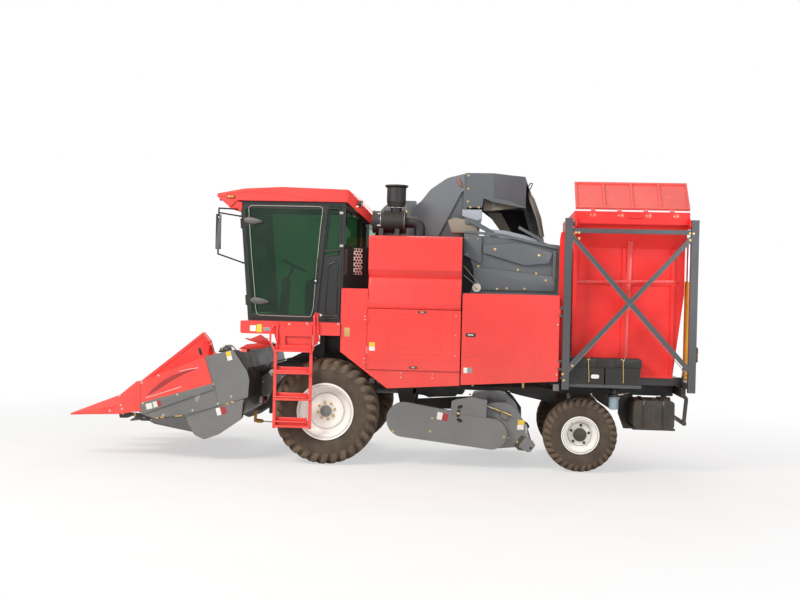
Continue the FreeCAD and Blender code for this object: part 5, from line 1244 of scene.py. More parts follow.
# --- corn head
@dataclass
class CornHead:
    """Fasteners, stripes, chains and drives on the corn head.

    Args:
        side_x: outer face of the head's ends.
        tongue_x: inner face of the plates laid over the snouts.
        rows: number of row units.
        pitch: distance between rows.
        link: pitch of a gathering chain.
    """

    side_x: float = 1.385
    tongue_x: float = 1.379
    rows: int = 4
    pitch: float = 0.6
    link: float = 0.0415

    def fasteners(self) -> None:
        """Bolts of the snouts and of the end shields."""
        bolts = Bolts("head_bolts", "corn_head", BRIGHT)
        bolts.on("outer_dividers", wall(self.side_x, (-2.816, 0.84), (-2.783, 0.722), (-2.765, 0.67), (-2.938, 0.637),
            (-2.498, 1.035), (-2.266, 1.14), (-2.58, 0.63)), both=True)
        bolts.on("head_end_shields", wall(self.side_x, (-2.473, 0.757), (-2.482, 0.64), (-2.0, 0.89), (-1.521, 1.04),
            (-2.193, 0.607), (-1.791, 0.683), (-1.445, 0.785), (-1.265, 0.887)), both=True)
        bolts.build()

    def stripes(self) -> None:
        """A pointed crimson stripe between two white lines, and an oval film on the shield."""
        low = smooth_line([(-2.419, 0.862), (-2.27, 0.945), (-2.08, 1.075), (-1.89, 1.18), (-1.723, 1.248)], 24)
        high = smooth_line([(-2.419, 0.862), (-2.35, 0.946), (-2.203, 1.073), (-2.021, 1.169), (-1.855, 1.223),
            (-1.723, 1.248)], 24)
        stripe = Surface("head_stripes", [SWOOSH, LABEL, LABEL_GREY])
        face = face_of("outer_dividers", self.side_x, -2.1, 1.03)
        stripe.slabs(np.concatenate([low, high[::-1][1:-1]]), face, 0.0014, 0.0004)
        for line in ([(-2.438, 0.832), (-2.28, 0.884), (-2.12, 0.938), (-1.95, 1.0)],
                     [(-1.98, 1.205), (-1.855, 1.236), (-1.723, 1.261)]):
            stripe.both(bead("outer_dividers", wall(self.side_x, *line), 0.006, 0.0012, count=14), 1)
        shield = face_of("head_end_shields", self.side_x, -1.726, 0.883)
        oval = circle(1.0, 28) * (0.036, 0.086) @ np.array(((0.98, -0.17), (0.17, 0.98)))
        stripe.slabs(oval + (-1.726, 0.883), shield, 0.0012, 0.0004, 2)
        stripe.piece("corn_head", "red_paint")

    def tongues(self) -> None:
        """Front tongue of each end shield over the snout's panel, a darker plate that paints the shade on its lower
        fold, and the snout's shoe.
        """
        tongue = Surface("head_shield_tongues", [GREY, SHADE_GREY, BLACK, BRASS])
        for outline, x, depth, bevel, finish, corner in (
                ([(-2.51, 0.724), (-2.495, 0.763), (-2.455, 0.775), (-1.53, 1.053), (-1.50, 0.98), (-2.45, 0.619),
                  (-2.487, 0.639)], self.tongue_x, 0.006, 0.002, 0, 0.018),
                # darker grey plate: painted shade over the shield's lower fold
                ([(-2.40, 0.536), (-1.90, 0.592), (-1.768, 0.391), (-2.306, 0.484)],
                 self.tongue_x, 0.004, 0.0015, 1, 0.008),
                ([(-2.843, 0.657), (-2.814, 0.541), (-2.707, 0.545), (-2.628, 0.577), (-2.511, 0.511),
                  (-2.395, 0.512), (-2.423, 0.60), (-2.682, 0.615)], 1.24, 0.07, 0.006, 2, 0.01)):
            tongue.slabs(outline, x, depth, bevel, finish, corner)
        tongue.stamp(hexagon_bolt(0.009, 0.008, LEFT), wall(1.31, (-2.60, 0.59), (-2.47, 0.56), (-2.77, 0.60)), 3)
        tongue.piece("corn_head", "grey_paint")
        labels = Stickers("head_labels", "corn_head")
        for y, z, wide, high, film in ((-1.43, 0.68, 0.06, 0.1, 0), (-1.36, 0.70, 0.07, 0.1, 2),
                                       (-1.315, 1.462, 0.068, 0.06, 1), (-1.298, 1.402, 0.068, 0.06, 0)):
            labels.on("head_end_shields", wall(self.side_x, (y, z)), wide, high, film, 15.0)
        slant = np.array(((0.966, 0.259), (-0.259, 0.966)))
        for y, z, wide, film in ((-2.385, 0.722, 0.085, 0), (-2.302, 0.748, 0.06, 0), (-2.245, 0.765, 0.045, 2)):
            labels.surface.slabs(rectangle(wide, 0.078, 0.006) @ slant + (y, z), self.tongue_x + 0.006, 0.0014,
                0.0004, film)
        labels.build()

    def seams(self) -> None:
        """The folded seam between upper and lower shield, with its brass clips, and the edge trims."""
        seam = Surface("head_shield_seams", [BLACK_PLASTIC, BRASS])
        fold = ((-2.306, 0.562), (-1.906, 0.61), (-1.263, 0.804), (-1.06, 0.875))
        for start, end, count in zip(fold, fold[1:], (6, 10, 5)):
            seam.both(bead("head_end_shields", strip(self.side_x, start, end, count), 0.007, 0.003))
        for y, z in ((-2.27, 0.566), (-2.2, 0.574), (-2.0, 0.6), (-1.95, 0.607), (-1.31, 0.79), (-1.24, 0.813)):
            seam.slabs(rectangle(0.05, 0.018, 0.004) + (y, z), self.side_x - 0.004, 0.006, 0.001, 1)
        for node, start, end, count in (("head_end_shields", (-1.496, 1.037), (-1.449, 0.793), 6),
                                        ("outer_dividers", (-2.514, 1.03), (-2.51, 0.66), 8)):
            seam.both(bead(node, strip(self.side_x, start, end, count), 0.004, 0.0012))
        seam.piece("corn_head", "black_plastic")

    def drives(self) -> None:
        """Auger gearbox and its pipes on top of each end, and the bracket on the tall divider."""
        drive = Surface("head_end_drives", [CAST, BRIGHT, BLACK])
        drive.both(lathe([(0, 0.03), (0.004, 0.052), (0.05, 0.055), (0.056, 0.04), (0.1, 0.038), (0.104, 0.03),
            (0.13, 0.028)], spot(1.2, -1.36, 1.51), LEFT, 24))
        drive.both(lathe([(0, 0.022), (0.01, 0.03), (0.05, 0.03), (0.056, 0.02)], spot(1.19, -1.44, 1.505), LEFT, 18))
        for rise, reach in ((0.045, 0.0), (0.03, 0.03)):
            drive.both(tube([spot(1.27 - reach, -1.43, 1.5), spot(1.27 - reach, -1.41, 1.52 + rise),
                spot(1.24 - reach, -1.3, 1.53 + rise), spot(1.2 - reach, -1.22, 1.47)], 0.008, 0.03), 1)
        drive.slabs([(-1.47, 1.475), (-1.2, 1.475), (-1.22, 1.505), (-1.45, 1.505)], 1.15, 0.18, 0.003, 2, 0.01)
        drive.piece("corn_head", "dark_grey_paint")
        arms = Surface("head_red_arms", [RED])
        for outline in ([(-1.602, 1.60), (-1.467, 1.585), (-1.317, 1.651), (-1.263, 1.618), (-1.15, 1.53),
                         (-1.18, 1.50), (-1.305, 1.502), (-1.485, 1.555)],
                        [(-1.669, 1.413), (-1.52, 1.50), (-1.359, 1.518), (-1.14, 1.485), (-1.232, 1.445),
                         (-1.517, 1.42)]):
            arms.slab(outline, -0.72, 0.05, 0.004, 0, 0.008)
        arms.piece("corn_head", "red_paint")
        # the lip keeps the plain red, so it stands lighter than the divider's red, which is deepened as painted shade
        lip = Surface("tall_divider_lip", [RED])
        for start, end, count, wide in (((-2.86, 0.955), (-2.01, 1.655), 26, 0.062),
                                        ((-2.01, 1.655), (-1.885, 1.50), 8, 0.05)):
            lip.add(bead("inner_dividers", strip(0.14, start, end, count), wide, 0.012))
        lip.piece("corn_head", "red_paint")
        bracket = Surface("tall_divider_bracket", [BLACK])
        bracket.slab([(-2.07, 1.455), (-2.035, 1.47), (-1.985, 1.33), (-2.02, 1.315)],
            face_of("inner_dividers", 0.2, -2.03, 1.39) - 0.002, 0.01, 0.002, 0, 0.012)
        bracket.piece("corn_head", "black_paint")

    def chains(self) -> None:
        """Gathering chains with lugs: links stand at equal steps s round two long ovals above each row."""
        chain = Surface("gathering_chains", [STEEL])
        low, high = corners("row_units")
        link = plate(rectangle(0.018, 0.034, 0.006), ORIGIN, Facing.UP, 0.016, 0.003)
        lug = plate(rectangle(0.012, 0.024, 0.003, 4), np.array((0, 0, 0.012)), Facing.UP, 0.05, 0.003)
        start, end, r = low[1] + 0.12, high[1] - 0.08, 0.03
        reach = end - start
        half = reach + np.pi * r            # one straight and one turn
        links = int((2 * reach + 2 * np.pi * r) / self.link)
        s = np.arange(links) * 2 * half / links
        angle = np.clip((s % half - reach) / r, 0, np.pi)
        u = np.minimum(s % half, reach) + r * np.sin(angle)
        back = s >= half
        y = start + np.where(back, reach - u, u)
        v = r * np.cos(angle) * np.where(back, -1, 1)
        top = high[2] + 0.012
        z = np.minimum(np.interp(y, [low[1], high[1]], [low[2] + 0.31, top]), top)
        for row in range(self.rows):
            for side in (-1, 1):
                x = (row - (self.rows - 1) / 2) * self.pitch + side * 0.072
                places = np.stack([x + side * v, y, z], 1)
                chain.stamp(link, places)
                chain.stamp(lug, places[::5])
        chain.piece("corn_head", "worn_steel")

    def build(self) -> None:
        """Makes the corn head's trim."""
        self.fasteners()
        self.stripes()
        self.tongues()
        self.seams()
        self.drives()
        self.chains()


@dataclass
class Feeder:
    """Chain case, labels and hydraulic pipes on the feeder house.

    Args:
        side_x: outer face of the feeder.
    """

    side_x: float = 0.42

    def build(self) -> None:
        """Makes the chain case with its bolts and labels, the pipes along it and the tie rod."""
        case = Surface("feeder_chain_case", [GREY, BRASS, LABEL, SWOOSH])
        face = face_of("feeder_house", self.side_x, -0.85, 1.0)
        case.slab([(-1.087, 1.032), (-1.046, 1.101), (-0.877, 1.207), (-0.671, 1.137), (-0.871, 0.954),
            (-0.968, 0.715), (-1.075, 0.897)], face + 0.012, 0.02, 0.004, 0, 0.02)
        case.stamp(hexagon_bolt(0.009, 0.008, LEFT), wall(face + 0.032, (-1.03, 1.02), (-0.9, 1.14),
            (-0.76, 1.1), (-0.95, 0.83)), 1)
        slant = np.array(((0.77, 0.64), (-0.64, 0.77)))
        for y, z, wide, film in ((-0.905, 1.155, 0.07, 2), (-0.868, 1.11, 0.04, 3)):
            case.slab(rectangle(wide, 0.085, 0.006) @ slant + (y, z), face + 0.0325, 0.0014, 0.0004, film)
        for y, wide, film in ((-1.07, 0.065, 2), (-1.0, 0.06, 3)):
            case.slab(rectangle(wide, 0.095, 0.006) + (y, 0.765), face + 0.012, 0.02, 0.003, film)
        case.piece("corn_head", "grey_paint")
        pipes = Surface("feeder_pipes", [BLACK, BRIGHT])
        for k in range(3):
            z = 1.22 + 0.035 * k
            pipes.add(tube(wall(face + 0.018, (-1.0 + 0.02 * k, z - 0.3), (-0.95, z), (-0.6, z + 0.09),
                (-0.28, z + 0.1)), 0.009, 0.06))
            pipes.add(lathe([(0, 0.012), (0.03, 0.012), (0.032, 0.009)], spot(face + 0.018, -0.3, z + 0.1),
                BACK, 6), 1)
        pipes.piece("corn_head", "black_paint")
        link = Surface("head_tie_rod", [YELLOW, BRIGHT])
        foot, head = spot(0.33, -1.15, 0.452), spot(0.33, -0.87, 0.436)
        along = head - foot
        link.add(lathe([(0.0, 0.012), (0.02, 0.03), (0.10, 0.028), (0.125, 0.012)], foot, along, 20))
        link.add(lathe([(0.12, 0.009), (0.26, 0.009), (0.262, 0.006)], foot, along, 14), 1)
        link.slab([(-1.17, 0.43), (-1.13, 0.43), (-1.12, 0.60), (-1.17, 0.60)], 0.325, 0.012, 0.003, 0, 0.01)
        link.piece("corn_head", "yellow_paint")


# --- cab
@dataclass
class Cab:
    """Seals, hinge fairings, lamps, grilles, mirrors and fittings of the cab.

    Args:
        wall_x: outer face of the cab's left wall.
        door_x: outer face of the door frame.
    """

    wall_x: float = 0.95
    door_x: float = 0.994

    def door(self) -> None:
        """Pale rubber seal round the door, two drop-shaped hinge fairings, the handle and its lock."""
        seal = Surface("cab_door_seal", [SEAL])
        outline = rounded([(-0.132, 3.492), (-0.164, 3.211), (-0.206, 2.659), (-0.239, 2.106), (-0.268, 1.975),
            (-1.02, 1.985), (-1.04, 2.086), (-1.055, 2.27), (-1.115, 2.823), (-1.149, 3.192), (-1.172, 3.492)], 0.05,
            5)
        seal.loop(outline, self.door_x + 0.001, rectangle(0.009, 0.008, 0.003))
        seal.piece("cab_door", "black_plastic")
        drop = Surface("cab_door_hinge_fairings", [FAIRING])
        cos, sin = circle(1.0, 32).T
        for y, z in ((-1.10, 3.28), (-0.982, 2.178)):
            u, v = 0.132 * cos, 0.043 * sin * (1.0 - 0.35 * cos)
            drop.slab(np.stack([y + u, z + v - 0.08 * u], 1), self.door_x - 0.002, 0.03, 0.012)
        drop.piece("cab_door", "black_plastic", 50)
        handle = Surface("cab_door_handle", [BLACK_PLASTIC, CHROME])
        handle.add(tube([spot(self.door_x - 0.004, -0.2, 2.775), spot(self.door_x + 0.04, -0.205, 2.765),
            spot(self.door_x + 0.04, -0.222, 2.56), spot(self.door_x - 0.004, -0.226, 2.55)], 0.009, 0.02, 12))
        handle.slab(rectangle(0.036, 0.09, 0.01) + (-0.212, 2.47), self.door_x - 0.002, 0.008, 0.003)
        handle.add(lathe([(0, 0.012), (0.012, 0.012), (0.014, 0.009)], spot(self.door_x + 0.005, -0.212, 2.47),
            LEFT, 20), 1)
        handle.piece("cab_door", "black_plastic")

    def quarter(self) -> None:
        """Vent window with its hinges and knobs, and the pressed panel under it, on both sides of the cab."""
        trim = Surface("cab_quarter_trim", [DOOR_BLACK, BRIGHT, SEAL, LABEL])
        vent = rounded([(-0.105, 3.47), (0.1, 3.475), (0.112, 2.905), (-0.142, 2.872)], 0.03)
        trim.loop(vent, self.wall_x + 0.002, rectangle(0.022, 0.014, 0.004), both=True)
        for y, z in ((0.115, 3.411), (0.126, 2.961)):
            trim.slabs(rectangle(0.05, 0.034, 0.006) + (y, z), self.wall_x, 0.012, 0.003, 1)
            trim.both(lathe([(0, 0.009), (0.01, 0.009), (0.014, 0.004)], spot(self.wall_x + 0.011, y - 0.012, z),
                LEFT, 12), 1)
        for y, z in ((-0.094, 3.251), (-0.082, 3.141)):
            trim.both(lathe([(0, 0.014), (0.012, 0.014), (0.02, 0.01), (0.022, 0.004)],
                spot(self.wall_x + 0.004, y, z), LEFT, 16))
        for outline, wide in (([(-0.15, 2.80), (0.13, 2.862), (0.118, 1.955), (-0.215, 1.955), (-0.185, 2.5)], 0.012),
                              ([(-0.045, 2.70), (0.075, 2.752), (0.075, 2.02), (-0.09, 2.02)], 0.016)):
            trim.loop(rounded(outline, 0.03), self.wall_x, rectangle(wide, 0.014, 0.005), both=True)
        trim.both(lathe([(0, 0.016), (0.003, 0.016), (0.004, 0.013)], spot(self.wall_x + 0.001, -0.139, 2.003),
            LEFT, 20), 3)
        trim.both(bead("cab_frame", strip(self.wall_x, (-0.11, 2.003), (0.084, 2.004), 5), 0.004, 0.002), 2)
        trim.piece("machine", "black_paint")

    def roof(self) -> None:
        """Amber marker lamps, work lamps on brackets, two vents and the curved crease along each side."""
        lamps = Surface("cab_roof_lamps", [BLACK_PLASTIC, AMBER, WHITE_LENS, BRIGHT])
        for side, facing in ((1, Facing.LEFT), (-1, Facing.RIGHT)):
            out = np.array((side, 0, 0))
            place = touch("cab_roof", spot(side * 1.0, -1.418, 3.607), out)
            lamps.add(plate(rectangle(0.125, 0.05, 0.02), place - out * 0.01, facing, 0.02, 0.006))
            lamps.add(plate(rectangle(0.105, 0.034, 0.014), place + out * 0.006, facing, 0.018, 0.008), 1)
        for x in (-0.72, -0.42, 0.42, 0.72):
            hit = touch("cab_roof", spot(x, -1.6, 3.62), AHEAD)
            lamps.add(lathe([(0, 0.02), (0.01, 0.044), (0.05, 0.05), (0.056, 0.046)], hit + (0, 0.042, 0), AHEAD, 24))
            lamps.add(lathe([(0, 0.044), (0.004, 0.044), (0.008, 0.03), (0.01, 0.004)], hit + (0, -0.013, 0), AHEAD,
                24), 2)
        aim = (0.1, 0.95, -0.3)             # rear work lamps look back and down
        for side in (1, -1):
            place = spot(side * 0.9, 0.37, 3.55)
            lamps.add(tube([place + (0, -0.08, -0.05), place + (0, -0.02, -0.035), place + (0, -0.01, 0.0)], 0.008,
                0.01), 3)
            lamps.add(lathe([(-0.035, 0.018), (-0.03, 0.036), (0.015, 0.046), (0.02, 0.043)], place, aim, 24))
            lamps.add(lathe([(0.018, 0.04), (0.023, 0.036), (0.025, 0.004)], place, aim, 24), 2)
        lamps.piece("machine", "black_plastic")
        caps = Surface("cab_roof_vents", [ROOF_RED])
        for y in (-1.2, -0.134):
            caps.add(lathe([(-0.004, 0.085), (0.008, 0.084), (0.02, 0.07), (0.026, 0.045), (0.028, 0.004)],
                touch("cab_roof", spot(0.0, y, 3.75), UP), UP, 28))
        caps.piece("machine", "red_paint", 60)
        crease = Surface("cab_roof_creases", [ROOF_RED])
        line = wall(1.0, (-1.60, 3.60), (-1.537, 3.625), (-1.406, 3.662), (-1.219, 3.684), (-0.994, 3.684),
            (-0.751, 3.668), (-0.526, 3.634), (-0.339, 3.598), (-0.209, 3.571))
        crease.both(bead("cab_roof", line, 0.02, 0.005, count=40))
        cheek = [(-1.622, 3.645), (-1.409, 3.43), (-1.272, 3.415), (-1.262, 3.53), (-1.50, 3.60)]
        crease.slabs(cheek, 0.958, 0.03, 0.006, 0, 0.012)
        visor = [(-1.612, 3.64), (-1.41, 3.437), (-1.30, 3.425), (-1.30, 3.44), (-1.40, 3.455), (-1.598, 3.652)]
        crease.slab(visor, -0.96, 1.92, 0.003, 0, 0.004)
        crease.piece("machine", "red_paint", 60)

    def grilles(self) -> None:
        """White honeycomb and a fine black grille on the panel across each rear corner of the cab.

        Hole k of row j lies at (k + j / 2) pitches along the panel and j times 0.866 pitches up.
        """
        grille = Surface("cab_vent_grilles", [MATT_BLACK, LABEL, MATT_BLACK, STEEL])
        foot, head = spot(0.95, 0.155, 0.0), spot(0.655, 0.485, 0.0)
        reach = float(np.linalg.norm(head - foot))
        along = (head - foot) / reach
        out = np.array((along[1], -along[0], 0.0))
        axes = (along, UP, out)
        base = foot + out * 0.004
        grille.both(plate(rectangle(reach, 0.86, 0.012) + (reach / 2, 2.53), base, axes, 0.008, 0.002))
        grille.both(plate(rectangle(0.14, 0.36, 0.008) + (0.235, 2.755), base + out * 0.007, axes, 0.006, 0.002), 1)
        hexagon = lathe([(0.0, 0.0175), (0.0142, 0.0175), (0.0148, 0.0165)], ORIGIN, out, 6, math.pi / 6)
        stud = lathe([(0.0, 0.0042), (0.0095, 0.0042), (0.010, 0.003)], ORIGIN, out, 6)
        pitch = 0.046
        j, k = np.meshgrid(np.arange(24), np.arange(3), indexing="ij")
        holes = 0.235 + (k - 1 + (j % 2) * 0.5 - 0.25) * pitch, 2.755 + (j - 4) * pitch * 0.866
        studs = 0.02 + k * 0.016, 2.58 + j * 0.0145
        for shape, (u, v), rows, finish in ((hexagon, holes, 9, 2), (stud, studs, 24, 3)):
            places = base + u[:rows].ravel()[:, None] * along + v[:rows].ravel()[:, None] * np.array(UP)
            grille.stamp(shape, places, finish)
            grille.stamp(mirror(shape), places * ACROSS, finish)
        grille.piece("machine", "white_rim_paint")

    def mirrors(self) -> None:
        """Silvered glass and grey backs of the two mirror heads, and the wiper on the windscreen."""
        glass = Surface("mirror_glass", [SILVERED])
        for x in (1.455, -1.455):
            hit = touch("mirrors", spot(x, -1.3, 3.09), BACK, 0.3)
            glass.add(plate(rectangle(0.075, 0.42, 0.02), np.array((x, hit[1] - 0.001, 3.095)), Facing.REAR, 0.004,
                0.001))
        glass.piece("machine", "cab_glass")
        back = Surface("mirror_backs", [FAIRING])
        back.slabs([(-1.495, 2.862), (-1.442, 2.852), (-1.422, 3.0), (-1.424, 3.32), (-1.452, 3.328),
            (-1.482, 3.06)], 1.494, 0.01, 0.004, 0, 0.01)
        back.piece("machine", "black_plastic")
        wiper = Surface("windscreen_wiper", [BLACK_PLASTIC, BLACK])
        a, b, c, d = (touch("cab_windows", spot(x, -1.5, z), AHEAD) for x, z in ((0.35, 2.1), (0.05, 2.75),
            (-0.3, 2.3), (0.3, 2.95)))
        lift = np.array((0, -0.025, 0))
        wiper.add(tube([a + lift, (a + b) / 2 + lift * 1.6, b + lift], 0.006), 1)
        wiper.add(tube([c + lift * 0.5, b + lift * 0.7, d + lift * 0.5], 0.007))
        wiper.add(lathe([(0, 0.022), (0.03, 0.02), (0.034, 0.012)], a + (0, 0.01, 0), AHEAD, 18), 1)
        wiper.piece("machine", "black_plastic")

    def build(self) -> None:
        """Makes the cab's trim."""
        self.door()
        self.quarter()
        self.roof()
        self.grilles()
        self.mirrors()


@dataclass
class Seat:
    """Sprung operator's seat: sewn cushion and back, pedestal and armrests.

    Args:
        half: half width of the cushion.
        cushion: (front, rear) y of the cushion and (bottom, top) z.
        back: (bottom, top) z of the backrest.
    """

    half: float = 0.235
    cushion: tuple[tuple[float, float], tuple[float, float]] = ((-0.47, -0.02), (2.35, 2.47))
    back: tuple[float, float] = (2.46, 3.055)

    def pad(self, width: float, length: float, thick: float, crown: float, channels: int) -> Array:
        """Closed pad on a grid of angle and length.

        At (s, t) across and along, the half thickness is thick / 2 times the fourth root of
        (1 - s^8)(1 - t^8), plus a crown that falls off as (1 - s^2)(1 - t^2); sewn channels press it in by
        exp(-(d / 0.05)^2), d the distance to the nearest channel in panel lengths.

        Args:
            width: full width.
            length: full length.
            thick: thickness at the rim.
            crown: extra height in the middle of the top.
            channels: number of panels between channels.

        Returns:
            (rows, columns, 3) points of a closed shell, u across, v along, w up.
        """
        rows, columns, power = 41, 64, 0.45
        tt, aa = np.meshgrid(np.sin(np.linspace(-np.pi / 2, np.pi / 2, rows)),
            np.linspace(0, 2 * np.pi, columns, endpoint=False), indexing="ij")
        s, w = (np.sign(f(aa)) * np.abs(f(aa)) ** power for f in (np.cos, np.sin))
        end = (1 - np.abs(tt) ** 8) ** 0.25
        waist = 1 - 0.02 * (1 - tt**2)
        x = s * width / 2 * (0.9 + 0.1 * end) * waist
        z = w * thick / 2 * np.maximum(end, 0.02)
        top = np.clip(w, 0, 1)
        z = z + top * crown * (1 - s**2) * (1 - tt**2)
        across = np.mod((tt + 1) / 2 * channels + 0.5, 1) - 0.5
        groove = np.exp(-((across / 0.05) ** 2))
        z = z - top * 0.012 * groove * (np.abs(s) < 0.78)
        return np.stack([x, tt * length / 2, z], 2)

    def soften(self, made: bpy.types.Object, cap: float) -> None:
        """Lets the cover swell as cloth under pressure and keeps each point within a cap of its start.

        Args:
            made: the pad.
            cap: how far a point may move, in metres.
        """
        start = np.empty(len(made.data.vertices) * 3)
        made.data.vertices.foreach_get("co", start)
        cloth = made.modifiers.new("swell", "CLOTH")
        cloth.settings.use_pressure = True
        cloth.settings.uniform_pressure_force = 4.0
        cloth.settings.effector_weights.gravity = 0.0
        cloth.settings.quality = 4
        steps, scene = 20, bpy.context.scene
        cloth.point_cache.frame_end = steps
        for step in range(1, steps + 1):
            scene.frame_set(step)
        evaluated = made.evaluated_get(bpy.context.evaluated_depsgraph_get())
        end = np.empty_like(start)
        evaluated.data.vertices.foreach_get("co", end)
        made.modifiers.remove(cloth)
        scene.frame_set(1)
        move = (end - start).reshape(-1, 3)
        size = np.maximum(np.linalg.norm(move, axis=1, keepdims=True), 1e-9)
        move *= np.minimum(1.0, cap / size)
        made.data.vertices.foreach_set("co", start + move.ravel())
        made.data.update()

    def cover(self, name: str, grid: Array, place: Array, axes: Sequence[Sequence[float]],
              cap: float = 0.022) -> bpy.types.Object:
        """Places a pad's grid by its own axes, closes its ends and pads it.

        Args:
            name: name of the piece.
            grid: (rows, columns, 3) points of the pad about its own middle.
            place: the pad's middle on the machine.
            axes: directions of the pad's own u, v and w.
            cap: how far the cover's swelling may move a point, in metres.

        Returns:
            The padded piece.
        """
        u, v, w = (np.array(a, float) for a in axes)
        points = place + grid[..., :1] * u + grid[..., 1:2] * v + grid[..., 2:] * w
        rows, columns = grid.shape[:2]
        surface = Surface(name, [CLOTH])
        faces = lattice(rows, columns, wrap_columns=True) + ends(rows, columns)
        right_handed = float(np.dot(np.cross(u, v), w)) > 0
        surface.add((points, [face[::-1] for face in faces] if right_handed else faces))
        made = surface.piece("machine", "seat_cloth", 180)
        self.soften(made, cap)
        return made

    def frame(self) -> None:
        """Pedestal bellows, shell under the pads, armrests and the height knob."""
        shell = Surface("seat_pedestal", [BLACK_PLASTIC, BLACK, BRIGHT])
        for k in range(20):
            shell.add(plate(rectangle(0.3 + 0.05 * (k % 2), 0.3 + 0.05 * (k % 2), 0.05),
                spot(0, -0.25, 1.955 + 0.014 * k), Facing.UP, 0.0145, 0.006))
        shell.add(plate(rectangle(0.40, 0.40, 0.03), spot(0, -0.25, 1.926), Facing.UP, 0.03, 0.004), 1)
        shell.add(plate(rectangle(0.42, 0.42, 0.05), spot(0, -0.245, 2.235), Facing.UP, 0.11, 0.02))
        shell.slab([(0.0, 2.34), (0.05, 2.36), (0.105, 3.0), (0.08, 3.02), (0.055, 3.0)], -0.2, 0.40, 0.01, 0, 0.02)
        for side in (1, -1):
            shell.add(tube([spot(side * 0.215, 0.02, 2.6), spot(side * 0.225, -0.05, 2.64),
                spot(side * 0.225, -0.36, 2.65)], 0.018, 0.04, 12))
        shell.add(lathe([(0, 0.02), (0.012, 0.02), (0.016, 0.014)], spot(0.213, -0.1, 2.42), LEFT, 16), 2)
        shell.piece("machine", "black_plastic", 50)

    def build(self) -> None:
        """Makes the seat in place of its plain CAD solid."""
        (front, rear), (bottom, top) = self.cushion
        middle = spot(0.0, (front + rear) / 2, (bottom + top) / 2 - 0.004)
        pad = self.pad(self.half * 1.9, rear - front - 0.03, 0.095, 0.022, 4)
        base = self.cover("seat_cushion", pad, middle, (LEFT, BACK, UP))
        lean = math.radians(6.0)
        up = np.array((0, math.sin(lean), math.cos(lean)))
        out = np.array((0, -math.cos(lean), math.sin(lean)))
        height = self.back[1] - self.back[0]
        centre = spot(0.0, 0.02, (self.back[0] + self.back[1]) / 2)
        pad = self.pad(self.half * 1.86, height - 0.03, 0.085, 0.02, 5)
        back = self.cover("seat_back", pad, centre, (LEFT, up, out))
        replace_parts(base, "cab_seat")
        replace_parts(back, "cab_seat")
        self.frame()


# --- deck and ladder
@dataclass
class Platform:
    """Ladder treads, gussets, labels, bolts and handrail of the deck.

    Args:
        deck_x: outer face of the deck's skirt.
    """

    deck_x: float = 1.355

    def build(self) -> None:
        """Makes the deck's trim."""
        tread = Surface("ladder_treads", [RED])
        low, high = corners("access_ladder")
        left, right = -0.655, -0.225
        for z in (1.25, 0.904, 0.574):
            for x in np.linspace(low[0] + 0.022, high[0] - 0.03, 4):
                tread.add(sweep(wall(x, (left, z + 0.004), (right, z + 0.004)), rectangle(0.006, 0.014, 0.002)))
            tread.add(tube(wall(high[0] - 0.004, (left + 0.005, z + 0.012), (right - 0.005, z + 0.012)), 0.011, 0.0,
                12))
            tread.slab([(left, z), (right, z), (right, z + 0.062), (left, z + 0.062)], low[0] + 0.03, 0.006, 0.002,
                0, 0.006)
        for gusset in ([(-0.647, 1.548), (-0.70, 1.745), (-0.56, 1.897), (-0.54, 1.60)],
                       [(-0.15, 1.60), (-0.165, 1.90), (-0.135, 1.90), (-0.10, 1.70), (-0.11, 1.62)]):
            tread.slab(gusset, self.deck_x - 0.003, 0.016, 0.003, 0, 0.012)
        tread.slab([(-0.64, 1.56), (-0.19, 1.56), (-0.19, 1.75), (-0.64, 1.75)], 1.318, 0.012, 0.003, 0, 0.01)
        tread.piece("machine", "red_paint")
        bolts = Bolts("deck_bolts", "machine", BRIGHT, 0.009, 0.007)
        bolts.on("operator_deck", wall(1.36, (-0.50, 1.879), (-0.50, 1.792), (-0.26, 1.888), (-0.26, 1.796),
            (0.163, 1.90)))
        bolts.on("operator_deck", wall(-1.36, (-0.546, 1.879), (-0.214, 1.879), (0.163, 1.88)), RIGHT)
        bolts.build()
        labels = Stickers("deck_labels", "machine", (LABEL, LABEL_YELLOW, LABEL_GREY))
        for film, (y, z, wide, high) in enumerate(((-0.993, 1.813, 0.08, 0.078), (-0.908, 1.815, 0.072, 0.105),
                                                   (-0.806, 1.805, 0.088, 0.05))):
            labels.on("operator_deck", spot(self.deck_x, y, z), wide, high, film)
        labels.build()
        rail = Surface("deck_handrails", [RED])
        rail.add(tube([spot(1.37, -0.09, 1.66), spot(1.395, -0.10, 1.74), spot(1.395, -0.118, 2.034)], 0.013, 0.03,
            12))
        rail.add(lathe([(0, 0.014), (0.006, 0.022), (0.012, 0.014)], spot(1.395, -0.118, 2.03), UP, 16))
        rail.add(tube([spot(1.395, -0.15, 2.03), spot(1.395, -0.085, 2.03)], 0.008, 0.0, 10))
        rail.piece("machine", "red_paint")


